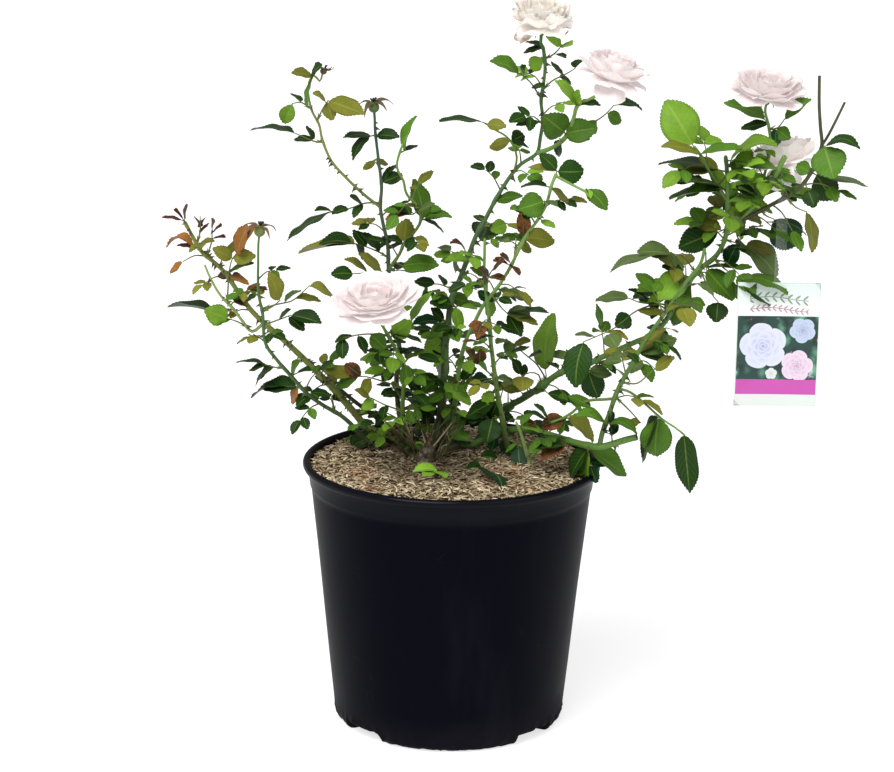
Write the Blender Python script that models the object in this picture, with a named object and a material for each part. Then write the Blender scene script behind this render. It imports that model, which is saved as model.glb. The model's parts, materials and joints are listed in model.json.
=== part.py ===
"""A climbing rose in a black nursery pot, with its care tag.

The pot stands on the ground with its axis on Z, and the front of the plant looks along -Y. The plant is
laid out as it is seen from a viewer's eye in front of the pot: a point is given by where its sight line
meets the plane through the pot's axis (across, up), and by how far it lies behind or before that plane.
Sizes are millimetres until a mesh is made.
"""

import math
from dataclasses import dataclass

import bmesh
import bpy
from mathutils import Matrix, Vector
from mathutils.bvhtree import BVHTree

MM = 0.001
EYE = Vector((-5.0, -2500.0, 978.0))

# The pot and what fills it
RIM_RADIUS = 139.0
RIM_HEIGHT = 252.5
FOOT_RADIUS = 101.0
WALL = 1.6
TURNED_SIDES = 30
NOTCH_ANGLES = (49.0, 131.0, 229.0, 311.0)
NOTCH_WIDTH = 44.0
NOTCH_HEIGHT = 9.5
NOTCH_INNER = 80.0
NOTCH_OUTER = 125.0
FLOOR = 4.2
MIX_TOP = 237.0
MULCH_TOP = 246.0
SEAT_GAP = 0.35
SOCKET_DEPTH = 22.0
SOCKET_EXTRA = 0.1
CROWN_PLACE = (-25, 251, 8)
CROWN_RADII = (10.0, 9.0, 15.0)
CROWN_LEAN = 24.0
CROWN_LIFT = 2.0

# Stems and leaves
CANE_SIDES = 5
TWIG_SIDES = 3
WOODY_RADIUS = 3.8
FOOT_RISE = 2.0
STALK_RADIUS = 0.8
STALK_SWING = 12.0
LEAF_THICKNESS = 1.0
LEAF_WIDTH_RATIO = 0.6
LEAF_BELLY = 0.45
SHORTEST_LEAF = 19.0
LEAST_PITCH = 1.06
LEAST_LENGTH_RATIO = 1.25
LEAF_CLEARANCE = 0.6
LEAF_ROOT = 1.0
PATH_STEPS = 8

# Blooms and hips
NECK_LENGTH = 7.0
CALYX_RADIUS = 3.2
CALYX_HEIGHT = 8.0
CALYX_FOOT = 1.6
SEPAL_DROOP = -6.0
SEPAL_WIDTH = 2.2
SEPAL_LENGTH_RATIO = 3.4
SEPAL_ROOT = 1.2
SEPAL_LOW = 1.6
HIP_RADIUS = 5.2
TINY_HIP_RADIUS = 3.2
HIP_HEIGHT_RATIO = 1.9
HIP_SEPAL_RISE = 5.0
PETAL_THICKNESS = 1.2
INNER_LIFT = 1.8
INNER_RADIUS_RATIO = 0.62
INNER_HEIGHT_RATIO = 0.9
OUTER_HEIGHT_RATIO = 0.55
PETAL_SCALLOP = 0.16


@dataclass(frozen=True)
class Stem:
    """A cane, shoot or twig: its route's points (across, up), thick end first, and its depth along the way.

    A rooted cane stands in the mulch. A shoot sits on its parent, and a twig is grown into it.
    """

    name: str
    thick: float
    thin: float
    route: tuple
    depths: tuple
    rooted: bool = True
    parent: str = ""


@dataclass(frozen=True)
class Spray:
    """A leaf on a stem: its stalk's points and its leaflets.

    A leaflet is (base across, base up, tip across, tip up, seen width) and, if it arches, the arch's rise.
    """

    stem: str
    stalk: tuple
    leaflets: tuple
    alone: str = ""


@dataclass(frozen=True)
class Head:
    """A bloom or a hip at a stem's end: the way its axis leans, and its petals' radius (0 for a hip)."""

    name: str
    stem: str
    lean_right: float
    lean_back: float
    petal_radius: float
    petal_height: float


STEMS = (
    Stem("cane_left_arch", 4.0, 1.6,
         ((-52, 262), (-78, 281), (-95, 300), (-120, 328), (-150, 358), (-183, 388), (-197, 407), (-213, 430),
          (-232, 447), (-240, 461), (-247, 474)), ((0.0, 62), (1.0, 5))),
    Stem("twig_left_arch", 1.6, 1.0,
         ((-176, 380), (-186, 372), (-195, 382), (-203, 393), (-215, 406), (-224, 422), (-229, 434)),
         ((0.0, 22), (1.0, -8)), False, "cane_left_arch"),
    Stem("cane_left_old", 2.6, 1.8, ((-50, 268), (-60, 280), (-72, 292), (-88, 304), (-108, 320)),
         ((0.0, 84), (1.0, 66))),
    Stem("cane_left_hip", 2.4, 1.0,
         ((-70, 258), (-80, 269), (-90, 280), (-103, 292), (-120, 302), (-135, 313), (-150, 330), (-163, 345),
          (-174, 362), (-176, 388), (-180, 410), (-180, 440), (-179, 462)), ((0.0, 48), (1.0, -32))),
    Stem("cane_star_hip", 2.8, 1.2,
         ((-44, 264), (-50, 300), (-52, 330), (-49, 350), (-52, 375), (-57, 400), (-60, 432), (-61, 455),
          (-66, 478), (-68, 492), (-67, 510), (-70, 535), (-73, 560), (-74, 578)), ((0.0, 70), (1.0, 42))),
    Stem("shoot_star_right", 1.6, 1.0,
         ((-60, 430), (-50, 447), (-46, 457), (-38, 466), (-31, 478), (-34, 491), (-44, 503), (-47, 515),
          (-53, 528), (-50, 543), (-44, 557)), ((0.0, 56), (1.0, 14)), False, "cane_star_hip"),
    Stem("shoot_star_left", 1.5, 0.9,
         ((-68, 490), (-83, 502), (-100, 518), (-113, 533), (-121, 552), (-124, 566), (-131, 580), (-134, 600),
          (-129, 611), (-121, 612)), ((0.0, 52), (1.0, 20)), False, "cane_star_hip"),
    Stem("cane_left_bloom", 2.6, 1.3,
         ((-46, 258), (-46, 290), (-46, 310), (-45, 335), (-50, 351), (-58, 366), (-66, 380), (-70, 391)),
         ((0.0, 48), (1.0, -18))),
    Stem("cane_main", 4.6, 1.5,
         ((-14, 262), (-12, 285), (-9, 310), (-8, 345), (-5, 378), (-2, 405), (6, 425), (13, 445), (20, 465),
          (28, 480), (38, 500), (50, 520), (60, 532), (74, 542), (77, 556), (79, 573), (77, 590), (79, 606),
          (80, 622), (78, 638), (76, 649)), ((0.0, 62), (0.6, 30), (1.0, 34))),
    Stem("shoot_main_right", 2.2, 1.4,
         ((74, 541), (85, 546), (95, 552), (103, 562), (107, 575), (110, 586), (119, 591), (129, 596),
          (138, 601)), ((0.0, 31), (1.0, -22)), False, "cane_main"),
    Stem("twig_main_left", 1.1, 0.8, ((53, 526), (56, 538), (52, 550), (45, 558), (36, 563), (27, 569)),
         ((0.0, 31), (1.0, 14)), False, "cane_main"),
    Stem("cane_slanting", 2.9, 1.4,
         ((-2, 262), (1, 290), (4, 320), (7, 345), (12, 366), (20, 384), (28, 400), (40, 416), (52, 436),
          (59, 452), (66, 466), (76, 480), (84, 496), (88, 512), (92, 523)), ((0.0, 62), (1.0, -24))),
    Stem("twig_slanting", 1.4, 1.0, ((92, 521), (104, 515), (118, 508), (126, 505)), ((0.0, -23), (1.0, -34)),
         False, "cane_slanting"),
    Stem("cane_upright", 2.9, 1.2,
         ((53, 254), (50, 275), (46, 295), (42, 315), (39, 335), (37, 350), (35, 365), (34, 380), (32, 395),
          (30, 412), (28, 432), (28, 448), (28, 462)), ((0.0, 28), (1.0, -34))),
    Stem("cane_right_arch", 3.6, 1.7,
         ((24, 262), (30, 278), (40, 293), (52, 303), (66, 311), (80, 321), (100, 336), (122, 343), (137, 351),
          (152, 358), (168, 366), (185, 374), (197, 388), (205, 404), (214, 420), (226, 436), (240, 448),
          (248, 464), (250, 485), (249, 505), (248, 525), (246, 541)), ((0.0, 62), (0.3, 26), (1.0, -46))),
    Stem("twig_big_leaf", 1.7, 1.2, ((249, 500), (242, 511), (236, 520), (230, 530), (224, 541), (217, 550)),
         ((0.0, -43), (1.0, -58)), False, "cane_right_arch"),
    Stem("shoot_cut", 1.8, 2.5,
         ((250, 470), (262, 482), (274, 496), (283, 508), (290, 520), (295, 531), (300, 542)),
         ((0.0, -38), (1.0, -60)), False, "cane_right_arch"),
    Stem("twig_top_bloom", 1.5, 1.2, ((276, 499), (281, 520), (285, 540), (286, 556), (284, 570), (281, 589)),
         ((0.0, -48), (1.0, -28)), False, "shoot_cut"),
    Stem("twig_hidden_bloom", 1.5, 1.2, ((283, 508), (292, 511), (299, 516), (303, 523)),
         ((0.0, -52), (1.0, -20)), False, "shoot_cut"),
    Stem("shoot_stubs", 2.0, 1.4,
         ((262, 482), (270, 486), (290, 497.5), (310, 508.5), (317, 516), (323, 525), (328, 536), (333, 552),
          (331, 570), (329, 590), (328, 616)), ((0.0, -42), (0.3, -70), (1.0, -82)), False, "shoot_cut"),
    Stem("twig_stub_right", 1.3, 1.1, ((333, 551), (339, 563), (345, 576), (352, 592)),
         ((0.0, -77), (1.0, -92)), False, "shoot_stubs"),
    Stem("cane_right_low", 3.6, 3.0,
         ((8, 259), (20, 266), (40, 277), (60, 281), (80, 279), (104, 272), (124, 267), (138, 265), (150, 268),
          (162, 272), (173, 275)), ((0.0, 46), (0.4, 22), (0.75, -60), (1.0, -72))),
    Stem("cane_right_back", 2.4, 1.4,
         ((138, 265), (141, 280), (146, 295), (151, 312), (156, 325), (166, 345), (172, 357), (183, 376),
          (194, 392), (204, 408), (214, 424), (226, 440), (230, 455)), ((0.0, -60), (1.0, -96)), False,
         "cane_right_low"),
    Stem("twig_right_drop", 1.3, 0.8,
         ((155, 322), (166, 318), (180, 307), (192, 296), (200, 290), (208, 285), (217, 278)),
         ((0.0, -72), (1.0, -92)), False, "cane_right_back"),
    Stem("twig_right_left", 1.5, 1.1,
         ((151, 312), (140, 311), (128, 310), (120, 306), (113, 299), (104, 293), (92, 288)),
         ((0.0, -70), (1.0, -36)), False, "cane_right_back"),
    Stem("sucker_right", 2.4, 1.1, ((73, 246), (71, 256), (68, 266), (65, 276), (60, 288)),
         ((0.0, 0), (1.0, -14))),
)

STEM_NAMED = {stem.name: stem for stem in STEMS}

SPRAYS = (
    Spray("cane_left_arch", ((-246, 472), (-248, 476)),
          ((-248, 474, -244, 491, 3), (-249, 476, -257, 485, 3), (-249, 475, -268, 478, 3))),
    Spray("cane_left_arch", ((-236, 455), (-233, 467), (-233, 480)),
          ((-233, 470, -238, 479, 3), (-233, 468, -228, 479, 3), (-232, 463, -225, 474, 3))),
    Spray("cane_left_arch", ((-226, 443), (-223, 455), (-222, 466)),
          ((-222, 465, -213, 471, 3), (-224, 459, -210, 460, 3), (-222, 466, -219, 476, 3))),
    Spray("cane_left_arch", ((-234, 450), (-238, 450)),
          ((-238, 450, -264, 450, 4, 8), (-237, 447, -255, 452, 4))),
    Spray("twig_left_arch", ((-209, 399), (-208, 413), (-207, 427), (-204, 440), (-198, 447)),
          ((-202, 446, -189, 472, 12), (-197, 448, -182, 471, 8), (-204, 441, -222, 450, 12),
           (-204, 441, -182, 443, 13), (-206, 427, -184, 436, 5), (-207, 426, -189, 416, 6)), "leaf_left_bronze"),
    Spray("twig_left_arch", ((-206, 397), (-203, 400)),
          ((-205, 401, -189, 396, 5), (-206, 404, -193, 405, 4))),
    Spray("twig_left_arch", ((-190, 376), (-199, 381), (-208, 384)),
          ((-208, 384, -230, 392, 18), (-206, 384, -222, 377, 6))),
    Spray("twig_left_arch", ((-203, 393), (-214, 391), (-222, 390)), ((-222, 390, -264, 394, 4),)),
    Spray("cane_left_hip", ((-176, 390), (-167, 396), (-160, 402)), ((-160, 402, -171, 428, 14),)),
    Spray("cane_left_hip", ((-177, 393), (-163, 398), (-150, 401), (-142, 407), (-133, 416)),
          ((-157, 400, -140, 411, 4), (-145, 403, -122, 401, 6), (-133, 416, -107, 397, 6, 6)),
          "leaf_left_olive"),
    Spray("cane_left_hip", ((-175, 377), (-160, 384), (-150, 388)),
          ((-150, 388, -122, 380, 12), (-152, 386, -138, 373, 10), (-163, 384, -150, 393, 4))),
    Spray("cane_left_hip", ((-156, 337), (-165, 338), (-175, 341)),
          ((-175, 342, -201, 342, 3), (-172, 340, -189, 334, 5), (-166, 338, -183, 320, 5, 3))),
    Spray("cane_left_hip", ((-150, 331), (-144, 333)), ((-146, 333, -131, 335, 4), (-150, 332, -141, 345, 6))),
    Spray("cane_left_hip", ((-141, 320), (-150, 319)),
          ((-144, 320, -176, 317, 14), (-160, 322, -187, 308, 5, 4), (-143, 318, -149, 303, 7))),
    Spray("cane_left_hip", ((-110, 297), (-111, 305), (-112, 311)), ((-112, 311, -132, 314, 7),)),
    Spray("cane_left_old", ((-104, 315), (-112, 323)), ((-110, 322, -128, 330, 7), (-109, 321, -118, 338, 7))),
    Spray("cane_star_hip", ((-73, 556), (-78, 556)),
          ((-76, 555, -102, 554, 6), (-78, 555, -93, 533, 8, 3), (-72, 556, -51, 555, 10))),
    Spray("cane_star_hip", ((-69, 513), (-66, 515)), ((-68, 514, -48, 521, 11), (-68, 517, -52, 530, 5))),
    Spray("cane_star_hip", ((-68, 494), (-82, 494), (-96, 489), (-112, 486)),
          ((-96, 490, -112, 483, 7), (-112, 487, -128, 486, 4), (-112, 485, -153, 458, 6), (-84, 494, -96, 500, 5),
           (-84, 494, -92, 480, 7)), "leaf_upper_long"),
    Spray("cane_star_hip", ((-61, 444), (-68, 448), (-80, 453), (-94, 457)),
          ((-68, 449, -87, 467, 8), (-72, 450, -57, 459, 4), (-94, 458, -124, 455, 12), (-90, 455, -143, 446, 7),
           (-92, 454, -84, 441, 6), (-80, 453, -93, 469, 9)), "leaf_star_dark"),
    Spray("cane_star_hip", ((-60, 428), (-75, 429), (-92, 428)),
          ((-66, 429, -88, 446, 9), (-80, 429, -101, 441, 6), (-92, 428, -113, 427, 12),
           (-76, 428, -92, 414, 7)), "leaf_star_olive"),
    Spray("shoot_star_right", ((-47, 455), (-46, 459)),
          ((-46, 458, -43, 480, 16), (-48, 457, -66, 462, 6), (-46, 457, -62, 451, 4))),
    Spray("shoot_star_right", ((-33, 488), (-38, 484)),
          ((-38, 484, -63, 478, 6), (-38, 486, -64, 487, 5), (-35, 486, -18, 494, 6))),
    Spray("shoot_star_right", ((-30, 478), (-28, 480)),
          ((-29, 480, -38, 517, 16), (-28, 482, -2, 481, 8, 3), (-27, 477, -10, 467, 3))),
    Spray("shoot_star_right", ((-54, 440), (-48, 436)), ((-48, 436, -14, 436, 16),)),
    Spray("shoot_star_right", ((-51, 541), (-46, 543)), ((-48, 543, -34, 548, 4), (-45, 556, -35, 575, 7))),
    Spray("shoot_star_left", ((-130, 610), (-131, 612)),
          ((-131, 612, -121, 620, 7), (-135, 603, -149, 612, 8), (-134, 597, -134, 583, 4))),
    Spray("shoot_star_left", ((-131, 580), (-140, 586), (-148, 585)),
          ((-148, 585, -156, 567, 13), (-140, 586, -150, 594, 4))),
    Spray("shoot_star_left", ((-124, 570), (-121, 580), (-116, 588)),
          ((-118, 586, -130, 594, 5), (-117, 587, -112, 570, 12), (-115, 588, -83, 576, 16)),
          "leaf_upper_olive"),
    Spray("shoot_star_left", ((-121, 549), (-130, 551), (-146, 558)),
          ((-131, 550, -147, 552, 6), (-130, 552, -136, 565, 5), (-147, 559, -186, 560, 4))),
    Spray("cane_left_bloom", ((-60, 369), (-75, 371), (-88, 370), (-102, 367)),
          ((-92, 370, -109, 362, 5), (-102, 367, -102, 347, 11), (-88, 370, -81, 352, 8),
           (-76, 371, -62, 357, 14))),
    Spray("cane_left_bloom", ((-50, 351), (-56, 352)), ((-56, 352, -86, 346, 10), (-52, 353, -27, 357, 5))),
    Spray("cane_left_bloom", ((-58, 366), (-56, 372)),
          ((-57, 376, -38, 384, 18), (-58, 372, -29, 363, 4))),
    Spray("cane_left_bloom", ((-61, 372), (-50, 378), (-39, 383)), ((-39, 383, -18, 413, 7),)),
    Spray("cane_left_bloom", ((-46, 337), (-44, 343)), ((-50, 345, -41, 323, 12),)),
    Spray("cane_left_bloom", ((-46, 318), (-62, 325), (-80, 330), (-92, 330)),
          ((-84, 331, -100, 342, 12), (-92, 331, -121, 337, 12), (-88, 329, -108, 319, 10),
           (-66, 326, -55, 337, 10), (-76, 328, -84, 312, 10)), "leaf_low_mottled"),
    Spray("cane_left_bloom", ((-47, 297), (-62, 303), (-76, 310)),
          ((-76, 310, -91, 317, 6), (-72, 308, -84, 299, 10), (-62, 303, -64, 290, 8))),
    Spray("cane_left_bloom", ((-47, 286), (-56, 280), (-64, 274)), ((-64, 274, -94, 262, 14),)),
    Spray("cane_main", ((36, 497), (37, 496)), ((40, 506, 62, 502, 9),)),
    Spray("cane_main", ((24, 473), (30, 478)), ((35, 483, 25, 460, 24), (29, 478, 18, 484, 6))),
    Spray("cane_main", ((25, 474), (38, 477), (48, 477)), ((48, 476, 33, 470, 13), (48, 477, 62, 471, 5))),
    Spray("cane_main", ((-3, 402), (-4, 407)), ((-4, 407, -19, 402, 7, 2), (-1, 408, 14, 402, 12))),
    Spray("cane_main", ((-3, 400), (2, 398)), ((2, 398, 6, 375, 10), (-4, 395, -22, 401, 12))),
    Spray("cane_main", ((1, 412), (-5, 416), (-14, 419), (-24, 419)),
          ((-17, 419, -37, 421, 9), (-24, 418, -35, 405, 12), (-8, 418, -14, 428, 5))),
    Spray("cane_main", ((13, 445), (14, 442)), ((14, 442, -8, 441, 8), (16, 456, -4, 457, 3, 5))),
    Spray("cane_main", ((12, 442), (4, 447), (-3, 450)), ((-3, 450, -14, 454, 6), (-2, 448, 2, 431, 4, -3))),
    Spray("cane_main", ((-5, 382), (-12, 386)),
          ((-10, 385, -38, 380, 9), (-8, 384, -21, 396, 9), (-6, 379, -21, 368, 12))),
    Spray("cane_main", ((-6, 370), (-4, 372)), ((-4, 371, -24, 348, 20), (-4, 366, -9, 325, 14))),
    Spray("cane_main", ((-9, 325), (-11, 329)),
          ((-8, 328, 17, 304, 13), (-12, 327, -30, 313, 10), (-12, 329, -40, 324, 12))),
    Spray("cane_main", ((-10, 303), (-12, 300)),
          ((-13, 299, -32, 297, 14), (-8, 303, 9, 269, 18), (-12, 307, -33, 306, 6))),
    Spray("twig_main_left", ((29, 568), (25, 570)), ((24, 570, -15, 570, 5), (28, 569, 46, 566, 10))),
    Spray("twig_main_left", ((51, 551), (50, 553)),
          ((50, 553, 62, 559, 14), (46, 555, 31, 547, 10), (53, 549, 66, 547, 4))),
    Spray("cane_main", ((79, 572), (76, 570)), ((77, 571, 55, 567, 6),)),
    Spray("cane_main", ((80, 600), (86, 608), (93, 612), (101, 616), (107, 620)),
          ((107, 620, 112, 628, 7), (96, 614, 85, 626, 4), (93, 612, 104, 606, 5))),
    Spray("cane_main", ((77, 592), (72, 600), (66, 608), (57, 615)),
          ((57, 615, 30, 625, 11), (69, 604, 80, 603, 6), (62, 611, 63, 622, 4))),
    Spray("cane_main", ((79, 627), (76, 630)), ((78, 628, 66, 621, 13),)),
    Spray("cane_main", ((79, 628), (88, 633), (95, 641)),
          ((95, 642, 104, 641, 6), (95, 642, 80, 649, 9), (88, 633, 98, 629, 4))),
    Spray("cane_main", ((78, 637), (76, 639)), ((77, 639, 62, 643, 4), (79, 636, 60, 633, 5))),
    Spray("shoot_main_right", ((100, 558), (99, 562)),
          ((99, 561, 79, 577, 24), (101, 561, 129, 566, 20), (101, 558, 122, 555, 10))),
    Spray("shoot_main_right", ((97, 554), (94, 556)), ((96, 554, 93, 540, 8),)),
    Spray("shoot_main_right", ((109, 585), (108, 590)),
          ((108, 589, 89, 608, 9), (109, 586, 111, 601, 10), (112, 588, 131, 586, 6))),
    Spray("shoot_main_right", ((106, 570), (118, 570), (128, 573), (137, 580), (143, 587)),
          ((137, 580, 150, 572, 11), (143, 588, 169, 582, 6, 3), (128, 573, 126, 562, 8)), "leaf_bloom_right"),
    Spray("cane_slanting", ((53, 438), (50, 438)),
          ((51, 438, 36, 441, 5), (53, 440, 42, 447, 4), (55, 440, 60, 428, 5))),
    Spray("cane_slanting", ((62, 458), (63, 464)), ((62, 468, 92, 460, 16), (69, 471, 60, 488, 12))),
    Spray("cane_slanting", ((82, 492), (82, 498)), ((82, 499, 58, 490, 21), (84, 500, 93, 493, 5))),
    Spray("cane_slanting", ((88, 510), (84, 512)), ((85, 512, 60, 510, 4), (89, 506, 106, 494, 6))),
    Spray("cane_slanting", ((77, 481), (79, 481)), ((79, 481, 92, 473, 6),)),
    Spray("cane_slanting", ((92, 522), (93, 526)),
          ((92, 527, 77, 541, 12), (90, 527, 66, 529, 6), (94, 525, 117, 526, 20))),
    Spray("twig_slanting", ((119, 508), (120, 510)), ((116, 512, 139, 490, 13), (100, 518, 124, 501, 6))),
    Spray("cane_slanting", ((58, 450), (57, 457), (50, 461)), ((52, 461, 39, 454, 3, 4), (57, 457, 71, 452, 9))),
    Spray("cane_slanting", ((36, 411), (43, 399), (50, 392)),
          ((50, 392, 78, 381, 8), (51, 394, 71, 391, 11), (50, 391, 63, 370, 12), (52, 394, 88, 393, 3)),
          "leaf_middle_fan"),
    Spray("cane_slanting", ((41, 417), (46, 412)), ((42, 415, 58, 403, 6), (47, 411, 74, 404, 8))),
    Spray("cane_upright", ((29, 420), (26, 419)), ((27, 419, 16, 418, 3),)),
    Spray("cane_upright", ((30, 416), (20, 427), (13, 430)), ((14, 430, 4, 424, 3),)),
    Spray("cane_upright", ((30, 418), (32, 427), (36, 434)),
          ((33, 427, 47, 423, 6), (30, 424, 22, 434, 5), (36, 433, 46, 441, 5))),
    Spray("cane_upright", ((31, 402), (29, 402)), ((29, 402, 37, 391, 11),)),
    Spray("cane_upright", ((35, 370), (38, 370)), ((36, 371, 24, 371, 3), (35, 367, 22, 366, 3))),
    Spray("cane_upright", ((40, 329), (34, 330)), ((34, 330, 19, 327, 13), (41, 326, 60, 320, 5, 3))),
    Spray("cane_upright", ((39, 331), (33, 336), (27, 341), (22, 346)),
          ((33, 336, 24, 343, 5), (22, 346, 12, 355, 7), (25, 343, 25, 358, 11))),
    Spray("cane_upright", ((43, 308), (40, 308)),
          ((41, 311, 28, 314, 13), (38, 306, 13, 292, 14), (42, 303, 36, 290, 12))),
    Spray("cane_upright", ((46, 292), (38, 292)), ((35, 291, 33, 268, 20),)),
    Spray("cane_upright", ((48, 285), (44, 286)), ((42, 286, 10, 287, 6, 3),)),
    Spray("cane_right_arch", ((84, 324), (86, 331), (78, 344), (70, 351), (58, 361), (49, 368)),
          ((49, 368, 54, 348, 10), (56, 363, 72, 366, 7), (50, 368, 40, 363, 6), (70, 352, 82, 355, 4)),
          "leaf_middle_long"),
    Spray("cane_right_arch", ((85, 325), (87, 333), (86, 338)), ((86, 338, 93, 393, 20),), "leaf_tall_pale"),
    Spray("cane_right_arch", ((82, 323), (80, 334), (72, 336), (65, 333)), ((65, 333, 65, 318, 18),)),
    Spray("cane_right_arch", ((124, 344), (126, 338)), ((127, 338, 148, 335, 11), (127, 336, 136, 313, 20))),
    Spray("cane_right_arch", ((84, 322), (88, 317)), ((89, 317, 113, 307, 10), (84, 316, 64, 312, 5))),
    Spray("cane_right_arch", ((101, 337), (97, 342)), ((100, 341, 88, 346, 4),)),
    Spray("cane_right_arch", ((203, 400), (190, 403), (178, 400), (166, 394), (150, 380), (132, 371), (121, 366)),
          ((119, 365, 115, 322, 23), (164, 393, 150, 381, 15), (172, 392, 197, 393, 7), (143, 374, 162, 368, 5),
           (132, 371, 113, 372, 4)), "leaf_right_long"),
    Spray("cane_right_arch", ((201, 397), (188, 402), (172, 404), (162, 408)),
          ((162, 408, 131, 405, 9), (165, 407, 188, 413, 7))),
    Spray("cane_right_arch", ((214, 420), (211, 432)), ((211, 434, 189, 407, 23), (213, 435, 191, 438, 10))),
    Spray("cane_right_arch", ((216, 424), (218, 432)), ((218, 430, 203, 383, 24),)),
    Spray("cane_right_arch", ((222, 432), (210, 448), (198, 450)),
          ((200, 452, 168, 451, 14), (196, 444, 144, 432, 7, 2))),
    Spray("cane_right_arch", ((249, 474), (242, 471)),
          ((241, 470, 206, 456, 22), (243, 478, 211, 481, 12), (241, 474, 216, 474, 5))),
    Spray("cane_right_arch", ((232, 442), (232, 436)), ((232, 435, 258, 407, 18), (236, 437, 267, 436, 4))),
    Spray("cane_right_arch", ((250, 462), (260, 461)), ((262, 460, 251, 440, 14), (257, 463, 268, 455, 5))),
    Spray("cane_right_arch", ((226, 436), (234, 420), (240, 410), (244, 406)), ((244, 406, 243, 386, 18),)),
    Spray("cane_right_arch", ((250, 495), (254, 497)),
          ((252, 498, 291, 489, 12), (256, 494, 281, 479, 10), (251, 492, 263, 464, 12))),
    Spray("cane_right_arch", ((249, 510), (243, 511)),
          ((242, 511, 213, 508, 10), (243, 507, 196, 501, 5), (244, 514, 194, 516, 5))),
    Spray("cane_right_arch", ((248, 528), (240, 529)),
          ((240, 529, 185, 533, 8), (236, 528, 221, 540, 8), (238, 524, 197, 522, 12))),
    Spray("cane_right_arch", ((247, 538), (252, 538)),
          ((250, 538, 293, 551, 9, 5), (252, 536, 294, 529, 9), (250, 536, 262, 520, 9))),
    Spray("twig_big_leaf", ((220, 547), (216, 551)), ((215, 552, 190, 592, 34),)),
    Spray("twig_big_leaf", ((224, 541), (222, 544)), ((222, 544, 187, 549, 8), (225, 545, 261, 548, 7))),
    Spray("twig_top_bloom", ((284, 572), (281, 575)), ((280, 576, 242, 590, 11), (282, 569, 259, 567, 8))),
    Spray("twig_top_bloom", ((285, 566), (292, 568), (298, 576)),
          ((298, 577, 322, 594, 10), (291, 567, 304, 558, 12), (290, 566, 291, 551, 9)), "leaf_top_bloom"),
    Spray("shoot_stubs", ((298, 502), (303, 507)), ((302, 507, 338, 506, 10),)),
    Spray("shoot_stubs", ((333, 548), (335, 552)), ((335, 552, 345, 522, 28), (336, 555, 368, 549, 8, 6))),
    Spray("shoot_stubs", ((324, 528), (330, 525)),
          ((328, 524, 346, 503, 22), (330, 527, 377, 515, 5), (324, 526, 311, 534, 12))),
    Spray("shoot_stubs", ((318, 519), (322, 512)), ((323, 511, 329, 495, 14),)),
    Spray("shoot_stubs", ((280, 492), (285, 487), (292, 484)), ((292, 483, 312, 458, 28),)),
    Spray("shoot_stubs", ((303, 505), (312, 495), (322, 491)), ((322, 491, 328, 453, 10),)),
    Spray("shoot_cut", ((258, 478), (260, 466), (268, 458)),
          ((268, 458, 297, 430, 21), (268, 459, 292, 451, 10), (262, 468, 286, 473, 5)), "leaf_above_tag"),
    Spray("cane_right_arch", ((238, 446), (250, 436), (264, 427)), ((264, 427, 308, 413, 10, 4), (268, 425, 292, 402, 12)),
          "leaf_over_tag"),
    Spray("twig_right_drop", ((192, 296), (193, 294)), ((193, 294, 191, 257, 26), (191, 295, 179, 250, 9))),
    Spray("twig_right_drop", ((215, 280), (218, 277)), ((217, 278, 224, 221, 24),)),
    Spray("cane_right_back", ((152, 314), (160, 306), (167, 299), (176, 289)), ((178, 288, 164, 285, 8),)),
    Spray("cane_right_back", ((157, 327), (172, 327), (183, 337), (188, 341)),
          ((187, 341, 206, 352, 10),)),
    Spray("cane_right_back", ((171, 355), (173, 356)),
          ((173, 354, 198, 352, 12), (174, 358, 207, 370, 18), (176, 364, 197, 379, 10))),
    Spray("cane_right_back", ((143, 287), (146, 288)), ((145, 287, 173, 277, 8, 4), (141, 290, 115, 294, 9, 3))),
    Spray("twig_right_left", ((108, 296), (106, 291)),
          ((108, 292, 132, 269, 12), (106, 292, 84, 284, 14), (104, 292, 100, 278, 9))),
    Spray("twig_right_left", ((92, 288), (90, 290)), ((91, 289, 69, 297, 4), (91, 291, 76, 305, 4))),
    Spray("cane_right_low", ((128, 266), (128, 263)),
          ((130, 263, 164, 237, 16), (127, 262, 123, 228, 14), (122, 263, 112, 235, 12))),
    Spray("cane_right_low", ((108, 271), (106, 266)), ((108, 267, 84, 251, 12), (100, 270, 78, 262, 8))),
    Spray("sucker_right", ((64, 280), (64, 284)), ((63, 284, 86, 277, 6), (61, 287, 75, 297, 6))),
    Spray("sucker_right", ((71, 256), (75, 256)), ((74, 256, 84, 262, 6),)),
)

HEADS = (
    Head("bloom_top", "cane_main", 2, -14, 31, 30),
    Head("bloom_right", "shoot_main_right", 14, -8, 33, 21),
    Head("bloom_far_right", "twig_top_bloom", 3, -16, 36, 26),
    Head("bloom_hidden", "twig_hidden_bloom", -12, 14, 26, 20),
    Head("bloom_left", "cane_left_bloom", -8, -18, 38, 22),
    Head("hip_dark", "cane_left_hip", 6, -6, 0, 0),
    Head("hip_star", "cane_star_hip", -4, -10, 0, 0),
    Head("hip_tiny", "shoot_star_left", 20, 8, 0, 0),
)

# Leaves that lie on the mulch: base and tip (across, up) and width
FALLEN_LEAVES = (
    ((33, 240), (48, 223), 14),
    ((28, 243), (13, 241), 12),
    ((27, 253), (43, 252), 12),
    ((-13, 239), (-31, 229), 15),
)

# The care tag: a card that hangs on a strap looped over the stub shoot
CARD_WIDTH = 75.0
CARD_HEIGHT = 115.0
CARD_THICKNESS = 0.6
STRAP_WIDTH = 10.0
STRAP_THICKNESS = 0.5
STRAP_HANG = 0.7
STRAP_LAP = 14.0
STRAP_SIDES = 16
LOOP_RADIUS = 3.9
BRANCH_RADIUS = 2.0
HOOK_PLACE = (300.0, 502.0)
HOOK_BEYOND = (306.0, 507.0)
TAG_TOP = (300.0, 425.0)

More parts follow.
